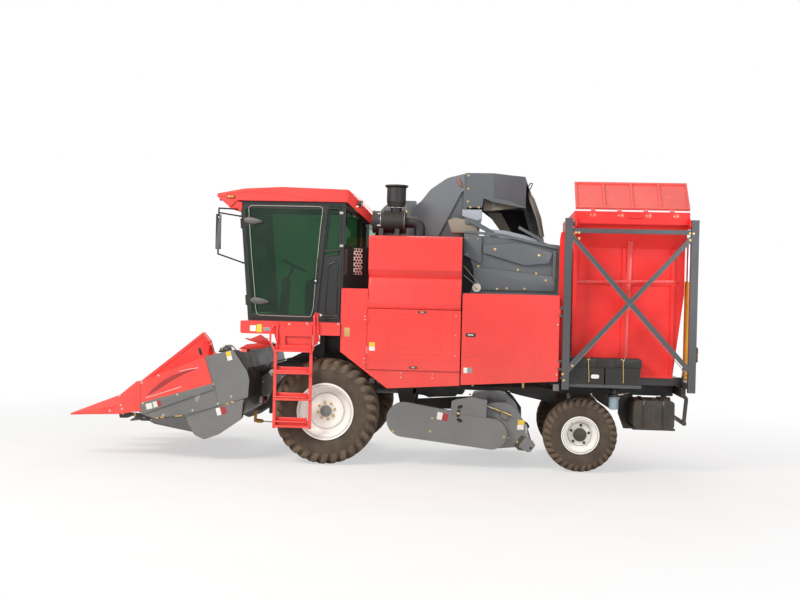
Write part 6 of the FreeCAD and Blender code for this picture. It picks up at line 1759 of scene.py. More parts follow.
# --- body panels
@dataclass
class Body:
    """Frames, latches, screws, beads and labels of the side panels, and what shows of the engine.

    Args:
        skirt_x: outer face of the front skirt.
        door_x: outer face of the doors.
    """

    skirt_x: float = 1.314
    door_x: float = 1.334

    def engine_door(self) -> None:
        """Engine door: raised blank frame, hinge screws, latches and labels."""
        trim = Surface("engine_door_trim", [RED, BLACK_PLASTIC, BRIGHT])
        face = face_of("left_engine_door", self.door_x, 1.15, 1.8)
        trim.loop(rounded([(0.83, 1.53), (1.525, 1.53), (1.525, 2.06), (0.83, 2.06)], 0.05, 5), face,
            rectangle(0.022, 0.009, 0.003))
        trim.loop(rounded([(0.90, 1.60), (1.455, 1.60), (1.455, 1.99), (0.90, 1.99)], 0.035), face,
            rectangle(0.012, 0.006, 0.002))
        trim.add(bead("left_engine_door", strip(self.door_x, (0.6, 1.42), (1.75, 1.455), 12), 0.007, 0.002))
        for place in ((1.28, 2.085), (1.175, 1.345)):
            trim.slab(rectangle(0.11, 0.03, 0.013) + place, face - 0.001, 0.006, 0.002, 1)
            trim.slab(rectangle(0.05, 0.014, 0.005) + place, face + 0.004, 0.005, 0.002, 2)
        trim.piece("engine_door", "red_paint")
        screws = Bolts("engine_door_screws", "engine_door", BRIGHT, height=0.005)
        screws.on("left_engine_door", strip(self.door_x, (1.73, 2.05), (1.73, 1.52), 3), screw=True, scale=0.7)
        screws.build()
        labels = Stickers("engine_door_labels", "engine_door")
        labels.on("left_engine_door", wall(self.door_x, (0.62, 1.64)), 0.078, 0.055, 1)
        labels.on("left_engine_door", wall(self.door_x, (0.62, 1.583)), 0.078, 0.056)
        labels.build()

    def rear_door(self) -> None:
        """Rear door: latch, a row of small vents, screws and labels."""
        trim = Surface("rear_door_trim", [BLACK_PLASTIC, BRIGHT])
        face = face_of("left_rear_door", self.door_x, 2.5, 1.8)
        trim.slab(rectangle(0.13, 0.05, 0.016) + (1.93, 1.80), face - 0.001, 0.006)
        trim.slab(rectangle(0.075, 0.022, 0.008) + (1.93, 1.80), face + 0.004, 0.007, 0.003, 1)
        for k in range(7):
            vent = rectangle(0.014, 0.004, 0.002) + (1.885 + 0.03 * k, 1.512 + 0.0025 * k)
            trim.slab(vent, face - 0.001, 0.003, 0.001)
        trim.piece("rear_door", "red_paint")
        screws = Bolts("rear_door_screws", "rear_door", BRIGHT, height=0.005)
        screws.on("left_rear_door", wall(self.door_x, (3.07, 1.963), (3.07, 1.305)), screw=True)
        screws.build()
        labels = Stickers("rear_door_labels", "rear_door", (LABEL, LABEL_GREY))
        labels.on("left_rear_door", wall(self.door_x, (1.872, 1.33)), 0.05, 0.072)
        labels.on("left_rear_door", wall(self.door_x, (1.93, 1.333)), 0.062, 0.072, 1)
        labels.build()

    def panels(self) -> None:
        """Fixed panels: hood beads, skirt fasteners, brass latch plate and edge trims, on both sides."""
        trim = Surface("body_panel_trim", [RED, BRASS])
        face = face_of("side_skirts", self.skirt_x, 0.3, 1.6)
        trim.slabs(rectangle(0.074, 0.118, 0.008) + (0.276, 1.794), face - 0.001, 0.004, 0.001, 1)
        trim.slabs(rectangle(0.05, 0.088, 0.006) + (0.276, 1.794), face + 0.002, 0.004, 0.0015, 1)
        for start, end, count, wide, proud in (
                ((0.56, 3.045), (1.775, 3.045), 24, 0.02, 0.004), ((0.56, 2.15), (1.775, 2.15), 24, 0.012, 0.003),
                ((0.575, 2.16), (0.575, 2.52), 8, 0.01, 0.003), ((1.76, 2.16), (1.76, 2.52), 8, 0.01, 0.003)):
            trim.both(bead("engine_hood", strip(1.33, start, end, count), wide, proud))
        trim.piece("machine", "red_paint")
        bolts = Bolts("body_panel_bolts", "machine", BRIGHT, 0.010, 0.006)
        bolts.on("side_skirts", wall(1.34, (0.515, 2.008), (0.516, 1.965), (0.515, 1.443), (0.516, 1.394),
            (1.014, 1.265), (1.015, 1.21), (1.432, 1.265), (1.434, 1.21)), screw=True, both=True)
        bolts.build()

    def engine(self) -> None:
        """What an open engine door shows: injector pipes and ports, pump, filter, pulleys and fan belt."""
        low, high = corners("engine_block")
        made = Surface("engine_trim", [CAST, BLACK, BRIGHT, BLACK_PLASTIC, BRASS])
        side, front, middle = high[0], low[1], (low[2] + high[2]) / 2

        def near(out: float, back: float, up: float) -> Array:
            """A place from the block's side, its front and its middle height."""
            return np.array((side + out, front + back, middle + up))

        for k in range(4):
            back = 0.16 + 0.2 * k
            end = np.array((side + 0.02, front + back + 0.08, high[2] - 0.12))
            made.add(tube([near(-0.03, back, -0.05), near(0.05, back + 0.02, 0.1), end], 0.006, 0.05), 2)
            made.add(lathe([(-0.01, 0.05), (0.02, 0.05), (0.026, 0.04)], near(0, back, 0.16), LEFT, 20))
        made.add(lathe([(0, 0.07), (0.02, 0.08), (0.09, 0.08), (0.1, 0.06), (0.12, 0.055), (0.124, 0.02)],
            near(-0.01, 0.16, -0.12), LEFT, 28), 4)
        made.add(lathe([(0, 0.03), (0.01, 0.052), (0.16, 0.052), (0.166, 0.04), (0.19, 0.04)],
            np.array((side + 0.02, high[1] - 0.2, middle - 0.28)), UP, 28), 1)
        for back, up, r in ((0.42, 0.0, 0.12), (0.68, 0.22, 0.06), (0.52, -0.3, 0.09)):
            made.add(lathe([(0, r * 0.9), (0.004, r), (0.012, r), (0.02, r * 0.86), (0.028, r), (0.036, r),
                (0.04, r * 0.6)], near(-0.005, back, up), LEFT, 32), 1)
        belt = rounded([(0.30, 0.0), (0.52, -0.40), (0.62, -0.32), (0.745, 0.24), (0.66, 0.29)], 0.06, 5)
        made.loop(belt + (front - AXLE_Y, middle), side + 0.015, rectangle(0.012, 0.014, 0.003), 3)
        made.piece("machine", "grey_paint")

    def build(self) -> None:
        """Makes the body's trim."""
        self.engine_door()
        self.rear_door()
        self.panels()
        self.engine()


# --- intake, elevator and husker
@dataclass
class Intake:
    """Bands, ribs, clips and a label of the air cleaner.

    Args:
        axis_x: x of the canister's axis.
        axis_z: height of the canister's axis.
    """

    axis_x: float = 0.86
    axis_z: float = 3.305

    def build(self) -> None:
        """Makes rings that run round the canister and the bowl of the pre-cleaner."""
        trim = Surface("air_cleaner_trim", [BLACK_PLASTIC, BRIGHT])
        ribs = [(y, 0.001, 40, circle(0.0045, 6), 0) for y in np.linspace(0.70, 0.97, 10)]
        for y, proud, sides, section, finish in ribs + [(y, 0.002, 48, rectangle(0.014, 0.004, 0.001), 1)
                                                        for y in (0.66, 0.985)]:
            grip = face_of("air_cleaner", self.axis_x, y, self.axis_z) - self.axis_x
            u, v = circle(grip + proud, sides).T
            path = np.stack([self.axis_x + u, np.full(sides, AXLE_Y + y), self.axis_z + v], 1)
            trim.add(sweep(path, section, closed=True, up=BACK), finish)
        for angle in (-20, 40, 100):
            out = np.array((math.cos(math.radians(angle)), 0, math.sin(math.radians(angle))))
            hit = touch("air_cleaner", spot(self.axis_x, 0.64, self.axis_z) + 0.1 * out, out, 0.3)
            trim.add(plate(rectangle(0.02, 0.05, 0.006), hit, (UP, BACK, LEFT), 0.01, 0.003), 1)
        bowl_y, sides = 0.852, 40
        u, v = circle(face_of("air_cleaner", self.axis_x, bowl_y, 3.52) - self.axis_x + 0.003, sides).T
        path = np.stack([self.axis_x + u, AXLE_Y + bowl_y + v, np.full(sides, 3.50)], 1)
        trim.add(sweep(path, rectangle(0.016, 0.005, 0.001), closed=True, up=UP), 1)
        trim.piece("machine", "black_plastic")
        tag = Stickers("air_cleaner_labels", "machine")
        tag.on("air_cleaner", spot(0.98, 1.0, 3.45), 0.03, 0.03, 1)
        tag.build()


@dataclass
class Tower:
    """Bolts, webs, hook and eye of the elevator's head, with plates that paint light and shade: a darker facet on the
    hood's side, and dark and pale plates inside the hood.

    Args:
        face_x: outer face of the hood's side.
    """

    face_x: float = 0.46

    def build(self) -> None:
        """Makes the trim of the elevator head and the discharge hood."""
        bolts = Bolts("elevator_bolts", "machine")
        bolts.on("discharge_hood", wall(self.face_x, (1.83, 4.005), (1.83, 3.821), (1.83, 3.642), (1.866, 3.56),
            (1.985, 3.56)))
        bolts.build()
        trim = Surface("elevator_trim", [DARK_GREY, ORANGE, BLACK, SHADE_GREY])
        # darker grey plate: painted shade of the hood's side where it turns away
        trim.slab([(2.190, 4.038), (2.624, 4.0), (2.643, 3.922), (2.635, 3.575), (2.443, 3.655), (2.199, 3.70)],
            self.face_x + 0.006, 0.008, 0.003, 3, 0.008)
        trim.add(bead("elevator_head", strip(self.face_x, (1.785, 3.15), (1.785, 4.01), 20), 0.03, 0.006))
        trim.slab([(1.22, 3.102), (1.79, 3.102), (1.79, 3.86), (1.70, 3.80)], 0.405, 0.012, 0.003, 0, 0.01)
        trim.slab([(0.95, 3.102), (1.79, 3.102), (1.79, 3.88), (1.60, 3.88)], -0.318, 0.012, 0.003, 0, 0.01)
        # plates that paint what shows inside the hood: a matt black one is painted shade, pale ones are painted light
        # on its sunlit inner walls
        hood_inside = Surface("hood_inner_chute", [HUSK_DUST_AND_PAINTED_LIGHT, MATT_BLACK])
        hood_inside.slab([(2.27, 3.58), (2.63, 3.59), (2.66, 3.48), (2.76, 3.15), (2.46, 3.15)], -0.26, 0.008, 0.002, 1,
            0.01)
        hood_inside.slab([(2.05, 3.53), (2.05, 3.72), (2.35, 3.70), (2.60, 3.585), (2.16, 3.53)], 0.30, 0.008, 0.002, 0,
            0.01)
        hood_inside.slab([(2.10, 3.54), (2.30, 3.54), (2.52, 3.17), (2.40, 3.14)], -0.20, 0.008, 0.002, 0, 0.01)
        hood_inside.slab([(2.67, 3.83), (2.76, 3.70), (2.86, 3.44), (2.91, 3.17), (2.85, 3.17), (2.79, 3.42), (2.68, 3.70)],
            0.395, 0.008, 0.002, 0, 0.01)
        hood_inside.piece("machine", "worn_steel")
        hook = [spot(self.face_x + 0.01, 1.69, 3.97), spot(self.face_x + 0.03, 1.70, 3.93),
            spot(self.face_x + 0.03, 1.73, 3.87), spot(self.face_x + 0.012, 1.715, 3.85)]
        trim.add(tube(hook, 0.011, 0.02, 10), 1)
        eye = wall(0.3, (2.66, 3.84), (2.70, 3.93), (2.735, 3.925), (2.70, 3.84))
        trim.add(tube(eye, 0.007, 0.01), 2)
        trim.add(bead("discharge_hood", strip(self.face_x, (2.187, 3.56), (2.187, 4.0), 12), 0.006, 0.003))
        trim.piece("machine", "dark_grey_paint")


@dataclass
class Husker:
    """Cover plates, handles, pulley, belts and bolts on the husker's side.

    Args:
        side_x: where the husker's side is looked for.
    """

    side_x: float = 1.0

    def plates(self) -> None:
        """Front plate, long cover, rear post, top rail and lower panel, on both sides."""
        trim = Surface("husker_covers", [DARK_GREY, BRASS])
        face = face_of("husker_housing", self.side_x, 2.4, 2.9)
        foot = face - 0.002
        trim.slabs([(1.802, 3.161), (2.041, 3.133), (2.042, 2.755), (1.802, 2.865)], foot, 0.014, 0.004, 0, 0.015)
        trim.slabs([(2.061, 3.002), (2.469, 3.035), (2.632, 3.03), (3.001, 2.923), (2.948, 2.775), (2.623, 2.743),
            (2.063, 2.903)], foot, 0.026, 0.006, 0, 0.012)
        for y, z in ((2.226, 2.95), (2.818, 2.88)):
            trim.both(lathe([(0, 0.019), (0.012, 0.019), (0.016, 0.012), (0.02, 0.012), (0.022, 0.004)],
                spot(face + 0.022, y, z), LEFT, 18), 1)
        trim.slabs([(3.0, 2.56), (3.045, 2.56), (3.045, 2.95), (3.0, 2.95)], foot, 0.02, 0.004, 0, 0.006)
        trim.slabs([(1.81, 3.20), (2.3, 3.17), (3.08, 3.0), (3.08, 2.965), (2.3, 3.13), (1.81, 3.165)], foot, 0.018,
            0.005, 0, 0.006)
        trim.slabs([(1.93, 2.715), (3.04, 2.60), (3.04, 2.40), (1.98, 2.40)], foot, 0.008, 0.003, 0, 0.02)
        trim.piece("machine", "dark_grey_paint")
        bolts = Bolts("husker_bolts", "machine")
        places = wall(face + 0.02, (2.002, 2.721), (2.781, 2.64), (2.535, 2.684), (2.393, 2.43), (2.264, 2.42),
            (2.631, 2.43), (2.912, 2.55), (1.85, 3.1), (1.99, 3.09), (1.85, 2.88), (3.02, 2.9), (3.02, 2.62))
        places -= (0.012, 0, 0)
        bolts.surface.stamp(hexagon_bolt(bolts.radius, bolts.height, LEFT), places)
        bolts.surface.stamp(hexagon_bolt(bolts.radius, bolts.height, RIGHT), places * ACROSS)
        bolts.build()

    def drive(self) -> None:
        """White pulley with a brass hub, and two pale belts that run up from it."""
        x = face_of("husker_housing", self.side_x, 2.1, 2.42)
        pulley = Surface("husker_pulley", [LABEL, BRASS, SEAL])
        centre = spot(x + 0.012, 1.987, 2.43)
        pulley.add(lathe([(-0.01, 0.02), (0.0, 0.056), (0.006, 0.06), (0.012, 0.056), (0.018, 0.049), (0.024, 0.056),
            (0.03, 0.06), (0.036, 0.056), (0.037, 0.03)], centre, LEFT, 36))
        pulley.add(lathe([(0.03, 0.03), (0.044, 0.03), (0.046, 0.026)], centre, LEFT, 4, math.pi / 4), 1)
        pulley.add(lathe([(0.04, 0.012), (0.056, 0.012), (0.058, 0.008)], centre, LEFT, 6), 1)
        for top, foot in (((1.81, 2.72), (2.032, 2.47)), ((1.81, 2.60), (1.957, 2.48))):
            pulley.add(sweep(strip(x + 0.03, top, foot, 3), rectangle(0.009, 0.013, 0.003), up=LEFT), 2)
        pulley.piece("machine", "white_rim_paint")

    def top(self) -> None:
        """Handles and small boxes that stand on the husker's upper edge, and below them a matt black plate that
        paints the shade of the belt well.
        """
        made = Surface("husker_top_gear", [DARK_GREY, HUSK_DUST_AND_PAINTED_LIGHT, BOX_GREY, MATT_BLACK])
        hump = face_of("husker_housing", 1.03, 1.93, 3.45)
        made.slab([(1.567, 3.341), (1.66, 3.385), (1.797, 3.362), (1.979, 3.263), (1.981, 3.178), (1.631, 3.178)],
            0.60, hump - 0.585, 0.006, 1, 0.012)
        made.slab([(1.765, 3.496), (2.035, 3.496), (2.034, 3.37), (1.974, 3.345), (1.861, 3.378), (1.765, 3.41)],
            0.60, hump - 0.59, 0.006, 2, 0.012)
        # flat matt black plate: painted shade of the belt well's recess
        made.slab([(1.79, 3.02), (1.88, 2.86), (1.93, 2.72), (1.95, 2.50), (1.90, 2.36), (1.79, 2.36)],
            face_of("husker_housing", self.side_x, 2.1, 2.42) - 0.002, 0.007, 0.002, 3, 0.012)
        made.slabs([(2.05, 3.10), (2.10, 3.235), (2.35, 3.22), (2.62, 3.16), (2.95, 3.05), (3.0, 2.98)], 0.86, 0.01,
            0.003, 2, 0.01)
        for (y0, z0), (y1, z1) in (((1.90, 3.345), (2.2, 3.19)), ((2.539, 3.27), (2.86, 3.075))):
            start, end = spot(0.9, y0, z0), spot(0.9, y1, z1)
            made.add(tube([start, (start + end) / 2 + (0, 0, 0.004), end], 0.017, 0.0, 14))
            made.add(lathe([(-0.012, 0.012), (-0.006, 0.02), (0.0, 0.02)], start, start - end, 14))
            made.add(tube([end, end + (0, 0.005, -0.10)], 0.012), 3)
        made.piece("machine", "dark_grey_paint")

    def build(self) -> None:
        """Makes the husker's trim."""
        self.plates()
        self.drive()
        self.top()


# --- ear bin
@dataclass
class EarBin:
    """Hinges and ribs of the bin and its flap, bolts and pipes of its frame."""

    def hinges(self) -> None:
        """Four hinges along the lip, the wall's ribs in the plain red that stands lighter than the wall's red
        deepened as painted shade, the handle under the lip and the flap's rivets.
        """
        bolts = Bolts("bin_hinge_bolts", "bin")
        leaf = Surface("bin_hinge_leaves", [RED])
        flap_bolts = Surface("flap_hinge_bolts", [BRASS])
        out = np.array((0.747, 0.0, 0.664))
        for y in (3.496, 3.858, 4.2165, 4.5755):
            bolts.on("ear_bin", wall(1.30, (y - 0.024, 3.424), (y + 0.024, 3.424)))
            centre = spot(1.3, y, 3.43)
            hit = touch("ear_bin", centre[None, :], LEFT)
            leaf.add(plate(rectangle(0.085, 0.06, 0.008), hit + np.array((-0.001, 0, -0.004)), Facing.LEFT,
                0.005, 0.002))
            for shift in (-0.024, 0.024):
                place = seated("bin_flap", spot(1.235, y + shift, 3.53), out, 0.15)
                flap_bolts.stamp(hexagon_bolt(0.010, 0.008, out), place)
        bolts.build()
        # ribs keep the plain red, lighter than the wall's red that is deepened as painted shade, so they read as lit
        # ribs
        for start, end, wide in (((4.018, 3.10), (3.972, 1.36), 0.075), ((3.34, 2.545), (4.66, 2.571), 0.045)):
            leaf.add(bead("ear_bin", row_of(*wall(1.36, start, end), 14), wide, 0.014))
        leaf.piece("bin", "red_paint")
        flap_bolts.piece("flap", "worn_steel")
        handle = Surface("bin_rim_handle", [RED])
        hit = touch("ear_bin", wall(1.3, (3.95, 3.40)), LEFT)
        x = float(hit[0])
        handle.add(tube([spot(x - 0.004, 3.939, 3.41), spot(x + 0.022, 3.95, 3.40), spot(x + 0.022, 4.135, 3.395),
            spot(x - 0.004, 4.146, 3.405)], 0.007, 0.012))
        handle.piece("bin", "red_paint")
        dots = Surface("flap_rivets", [BRIGHT])
        for y, z in ((3.473, 3.66), (3.758, 3.70), (4.121, 3.69), (4.496, 3.73)):
            dots.stamp(dome_screw(0.008, 0.004, out), seated("bin_flap", spot(1.15, y, z), out, 0.2))
        dots.piece("flap", "worn_steel")

    def frame(self) -> None:
        """Bolts of the braces and the top bar, edge flanges in a lighter grey than the frame as painted highlights,
        and the lift pipes at the rear post.
        """
        bolts = Bolts("bin_frame_bolts", "machine", BRASS, 0.011, 0.009)
        bolts.on("bin_support_frame", wall(1.40, (3.273, 3.181), (3.314, 3.182), (3.314, 3.103), (4.745, 3.198),
            (4.786, 3.194), (4.746, 3.11), (3.269, 1.433), (3.145, 1.32), (3.16, 1.24)))
        bolts.build()
        # flanges painted lighter than the frame grey: painted highlights along the braces' edges
        flange = Surface("bin_brace_flanges", [GREY])
        for start, end in (((3.20, 1.36), (4.72, 3.10)), ((3.26, 3.10), (4.74, 1.40))):
            path = wall(1.40, start, end)
            along = (path[1] - path[0]) / np.linalg.norm(path[1] - path[0])
            down = np.array((0.0, along[2], -along[1])) * math.copysign(1.0, along[1])
            path[:, 0] = touch("bin_support_frame", (path[0] + path[1]) / 2, LEFT, 0.2)[0]
            flange.add(sweep(path + down * 0.022, rectangle(0.009, 0.012, 0.002), up=LEFT))
        flange.piece("machine", "dark_grey_paint")
        pipes = Surface("bin_lift_pipes", [BLACK_PLASTIC, BRIGHT, BLACK])
        pipes.add(tube(wall(1.34, (4.80, 3.155), (4.835, 3.039), (4.815, 2.923), (4.84, 2.824), (4.842, 2.624),
            (4.83, 1.5), (4.80, 1.30)), 0.011, 0.03, 12))
        pipes.add(lathe([(0, 0.016), (0.04, 0.016), (0.044, 0.01)], spot(1.34, 4.80, 1.27), UP, 6), 1)
        u, v = circle(1.0, 16).T * ((0.012,), (0.02,))
        for k in range(6):
            turn = 0.0 if k % 2 else math.pi / 2
            cos, sin = math.cos(turn), math.sin(turn)
            link = spot(1.335, 4.70, 1.42 - 0.03 * k) + np.stack([u * cos, u * sin, v], 1)
            pipes.add(sweep(link, circle(0.0035, 6), closed=True, up=(-sin, cos, 0)), 2)
        pipes.piece("machine", "black_plastic")

    def build(self) -> None:
        """Makes the bin's trim."""
        self.hinges()
        self.frame()


# --- shredder
@dataclass
class Shredder:
    """Guard bolts, slotted cap, tensioner, labels and knives of the shredder.

    Args:
        guard_x: outer face of the belt guard.
        hub: radius at which the knives hang.
        rows: rows of knives round the rotor.
        knives: knives in a row.
    """

    guard_x: float = 1.20
    hub: float = 0.165
    rows: int = 4
    knives: int = 16

    def cap(self) -> None:
        """Slotted cap over the guard's belt wheel, its bolt and blank labels."""
        face = face_of("shredder_belt_guard", self.guard_x, 1.6, 0.65)
        cap = Surface("shredder_guard_cap", [GREY, MATT_BLACK, BRASS, LABEL, SWOOSH])
        cap.slab([(1.683, 0.734), (1.695, 0.905), (1.95, 0.966), (2.17, 0.93), (2.16, 0.69), (1.93, 0.72)],
            face - 0.002, 0.007, 0.003, 0, 0.012)
        ring = circle(1.0, 24) * (0.033, 0.022)
        ring[:, 0] += np.where(ring[:, 0] > 0, 0.006, -0.006)
        for place, turn in (((1.81, 0.832), 0.35), ((1.806, 0.652), -0.45)):
            cos, sin = math.cos(turn), math.sin(turn)
            cap.slab(ring @ np.array(((cos, sin), (-sin, cos))) + place, face + 0.002, 0.006, 0.001, 1)
        cap.slab([(1.765, 0.70), (1.80, 0.69), (1.815, 0.79), (1.775, 0.80)], face + 0.002, 0.006, 0.001, 1, 0.014)
        for profile, sides in (([(0, 0.02), (0.01, 0.02), (0.014, 0.014)], 6),
                               ([(0.01, 0.012), (0.024, 0.012), (0.026, 0.008)], 16)):
            cap.add(lathe(profile, spot(face + 0.004, 1.787, 0.743), LEFT, sides), 2)
        slant = np.array(((0.985, -0.17), (0.17, 0.985)))
        for wide, place, film in ((0.07, (1.54, 0.70), 3), (0.075, (1.613, 0.685), 4)):
            cap.slab(rectangle(wide, 0.1, 0.008) @ slant + place, face, 0.0014, 0.0004, film)
        cap.piece("shredder", "grey_paint")

    def cheeks(self) -> None:
        """Bolted cheek and tail plates of both ends, and the labels on the left one."""
        cheek = [(2.02, 0.82), (2.185, 0.872), (2.30, 0.895), (2.426, 0.892), (2.50, 0.86), (2.562, 0.802),
            (2.69, 0.627), (2.694, 0.466), (2.66, 0.36), (2.58, 0.30), (2.34, 0.275), (2.10, 0.29)]
        tail = [(2.60, 0.31), (2.719, 0.238), (2.766, 0.245), (2.83, 0.335), (2.79, 0.395), (2.69, 0.441)]
        made = Surface("shredder_cheeks", [GREY, MATT_BLACK])
        side, foot = (face_of("shredder_housing", 1.12, y, z) for y, z in ((2.5, 0.5), (2.72, 0.3)))
        made.slabs(cheek, side - 0.001, 0.007, 0.003, 0, 0.03)
        made.slabs(tail, foot - 0.001, 0.007, 0.003, 0, 0.02)
        made.both(lathe([(0, 0.017), (0.004, 0.017), (0.005, 0.012)], spot(foot + 0.005, 2.765, 0.297), LEFT, 20), 1)
        made.piece("shredder", "grey_paint")

    def tensioner(self) -> None:
        """Threaded rod with its nuts, and the bracket that it pulls on."""
        screw = Surface("shredder_tensioner", [BRASS, BRIGHT, GREY])
        start = spot(1.115, 2.17, 0.845)
        along = spot(1.115, 2.50, 0.729) - start
        reach = float(np.linalg.norm(along))
        rod = np.array([(0, 0.011), (0.3, 0.011), (0.31, 0.017), (0.5, 0.017), (0.51, 0.009), (0.62, 0.009),
            (0.63, 0.014), (0.9, 0.014), (1, 0.008)]) * (reach, 1)
        screw.add(lathe(rod, start, along, 14))
        for h in np.linspace(0.02, reach * 0.28, 14):
            screw.add(lathe([(0, 0.0125), (0.003, 0.0125)], start + along / reach * h, along, 10), 1)
        screw.slab([(2.35, 0.80), (2.47, 0.775), (2.43, 0.66), (2.36, 0.69)], 1.078, 0.025, 0.004, 2, 0.01)
        screw.piece("shredder", "worn_steel")

    def labels(self) -> None:
        """Two blank labels on the left cheek."""
        side = face_of("shredder_housing", 1.12, 2.5, 0.5)
        made = Stickers("shredder_labels", "shredder")
        for y, z, film in ((2.63, 0.635, 1), (2.622, 0.568, 0)):
            made.surface.slab(rectangle(0.088, 0.066, 0.006) + (y, z), side + 0.006, 0.0014, 0.0004, film)
        made.build()

    def flails(self) -> None:
        """Knives in rows round the rotor, each row turned on by a quarter."""
        made = Surface("shredder_flails", [STEEL])
        centre = sum(corners("shredder_rotor")) / 2
        points, faces = plate(rounded([(-0.022, 0.0), (0.022, 0.0), (0.03, 0.075), (-0.012, 0.085)], 0.006), ORIGIN,
            Facing.LEFT, 0.008, 0.0015)
        for k in range(self.rows):
            angle = k * 2 * np.pi / self.rows
            cos, sin = math.cos(angle), math.sin(angle)
            turned = np.stack([points[:, 0], points[:, 1] * cos - points[:, 2] * sin,
                points[:, 1] * sin + points[:, 2] * cos], 1)
            start = centre + (-0.95 + 0.03 * (k % 2), -self.hub * sin, self.hub * cos)
            made.stamp((turned, faces), row_of(start, start + (1.9, 0, 0), self.knives))
        made.piece("rotor", "worn_steel")

    def build(self) -> None:
        """Makes the shredder's trim."""
        bolts = Bolts("shredder_bolts", "shredder")
        bolts.on("shredder_belt_guard", wall(self.guard_x, (1.44, 0.664), (1.418, 0.488), (0.913, 0.472),
            (2.40, 0.45)))
        bolts.on("shredder_housing", wall(1.1, (2.464, 0.422), (2.581, 0.373)))
        bolts.on("shredder_housing", wall(-1.1, (2.462, 0.435), (2.577, 0.41), (2.3, 0.8), (1.9, 0.8)), RIGHT)
        bolts.build()
        self.cap()
        self.cheeks()
        self.tensioner()
        self.labels()
        self.flails()


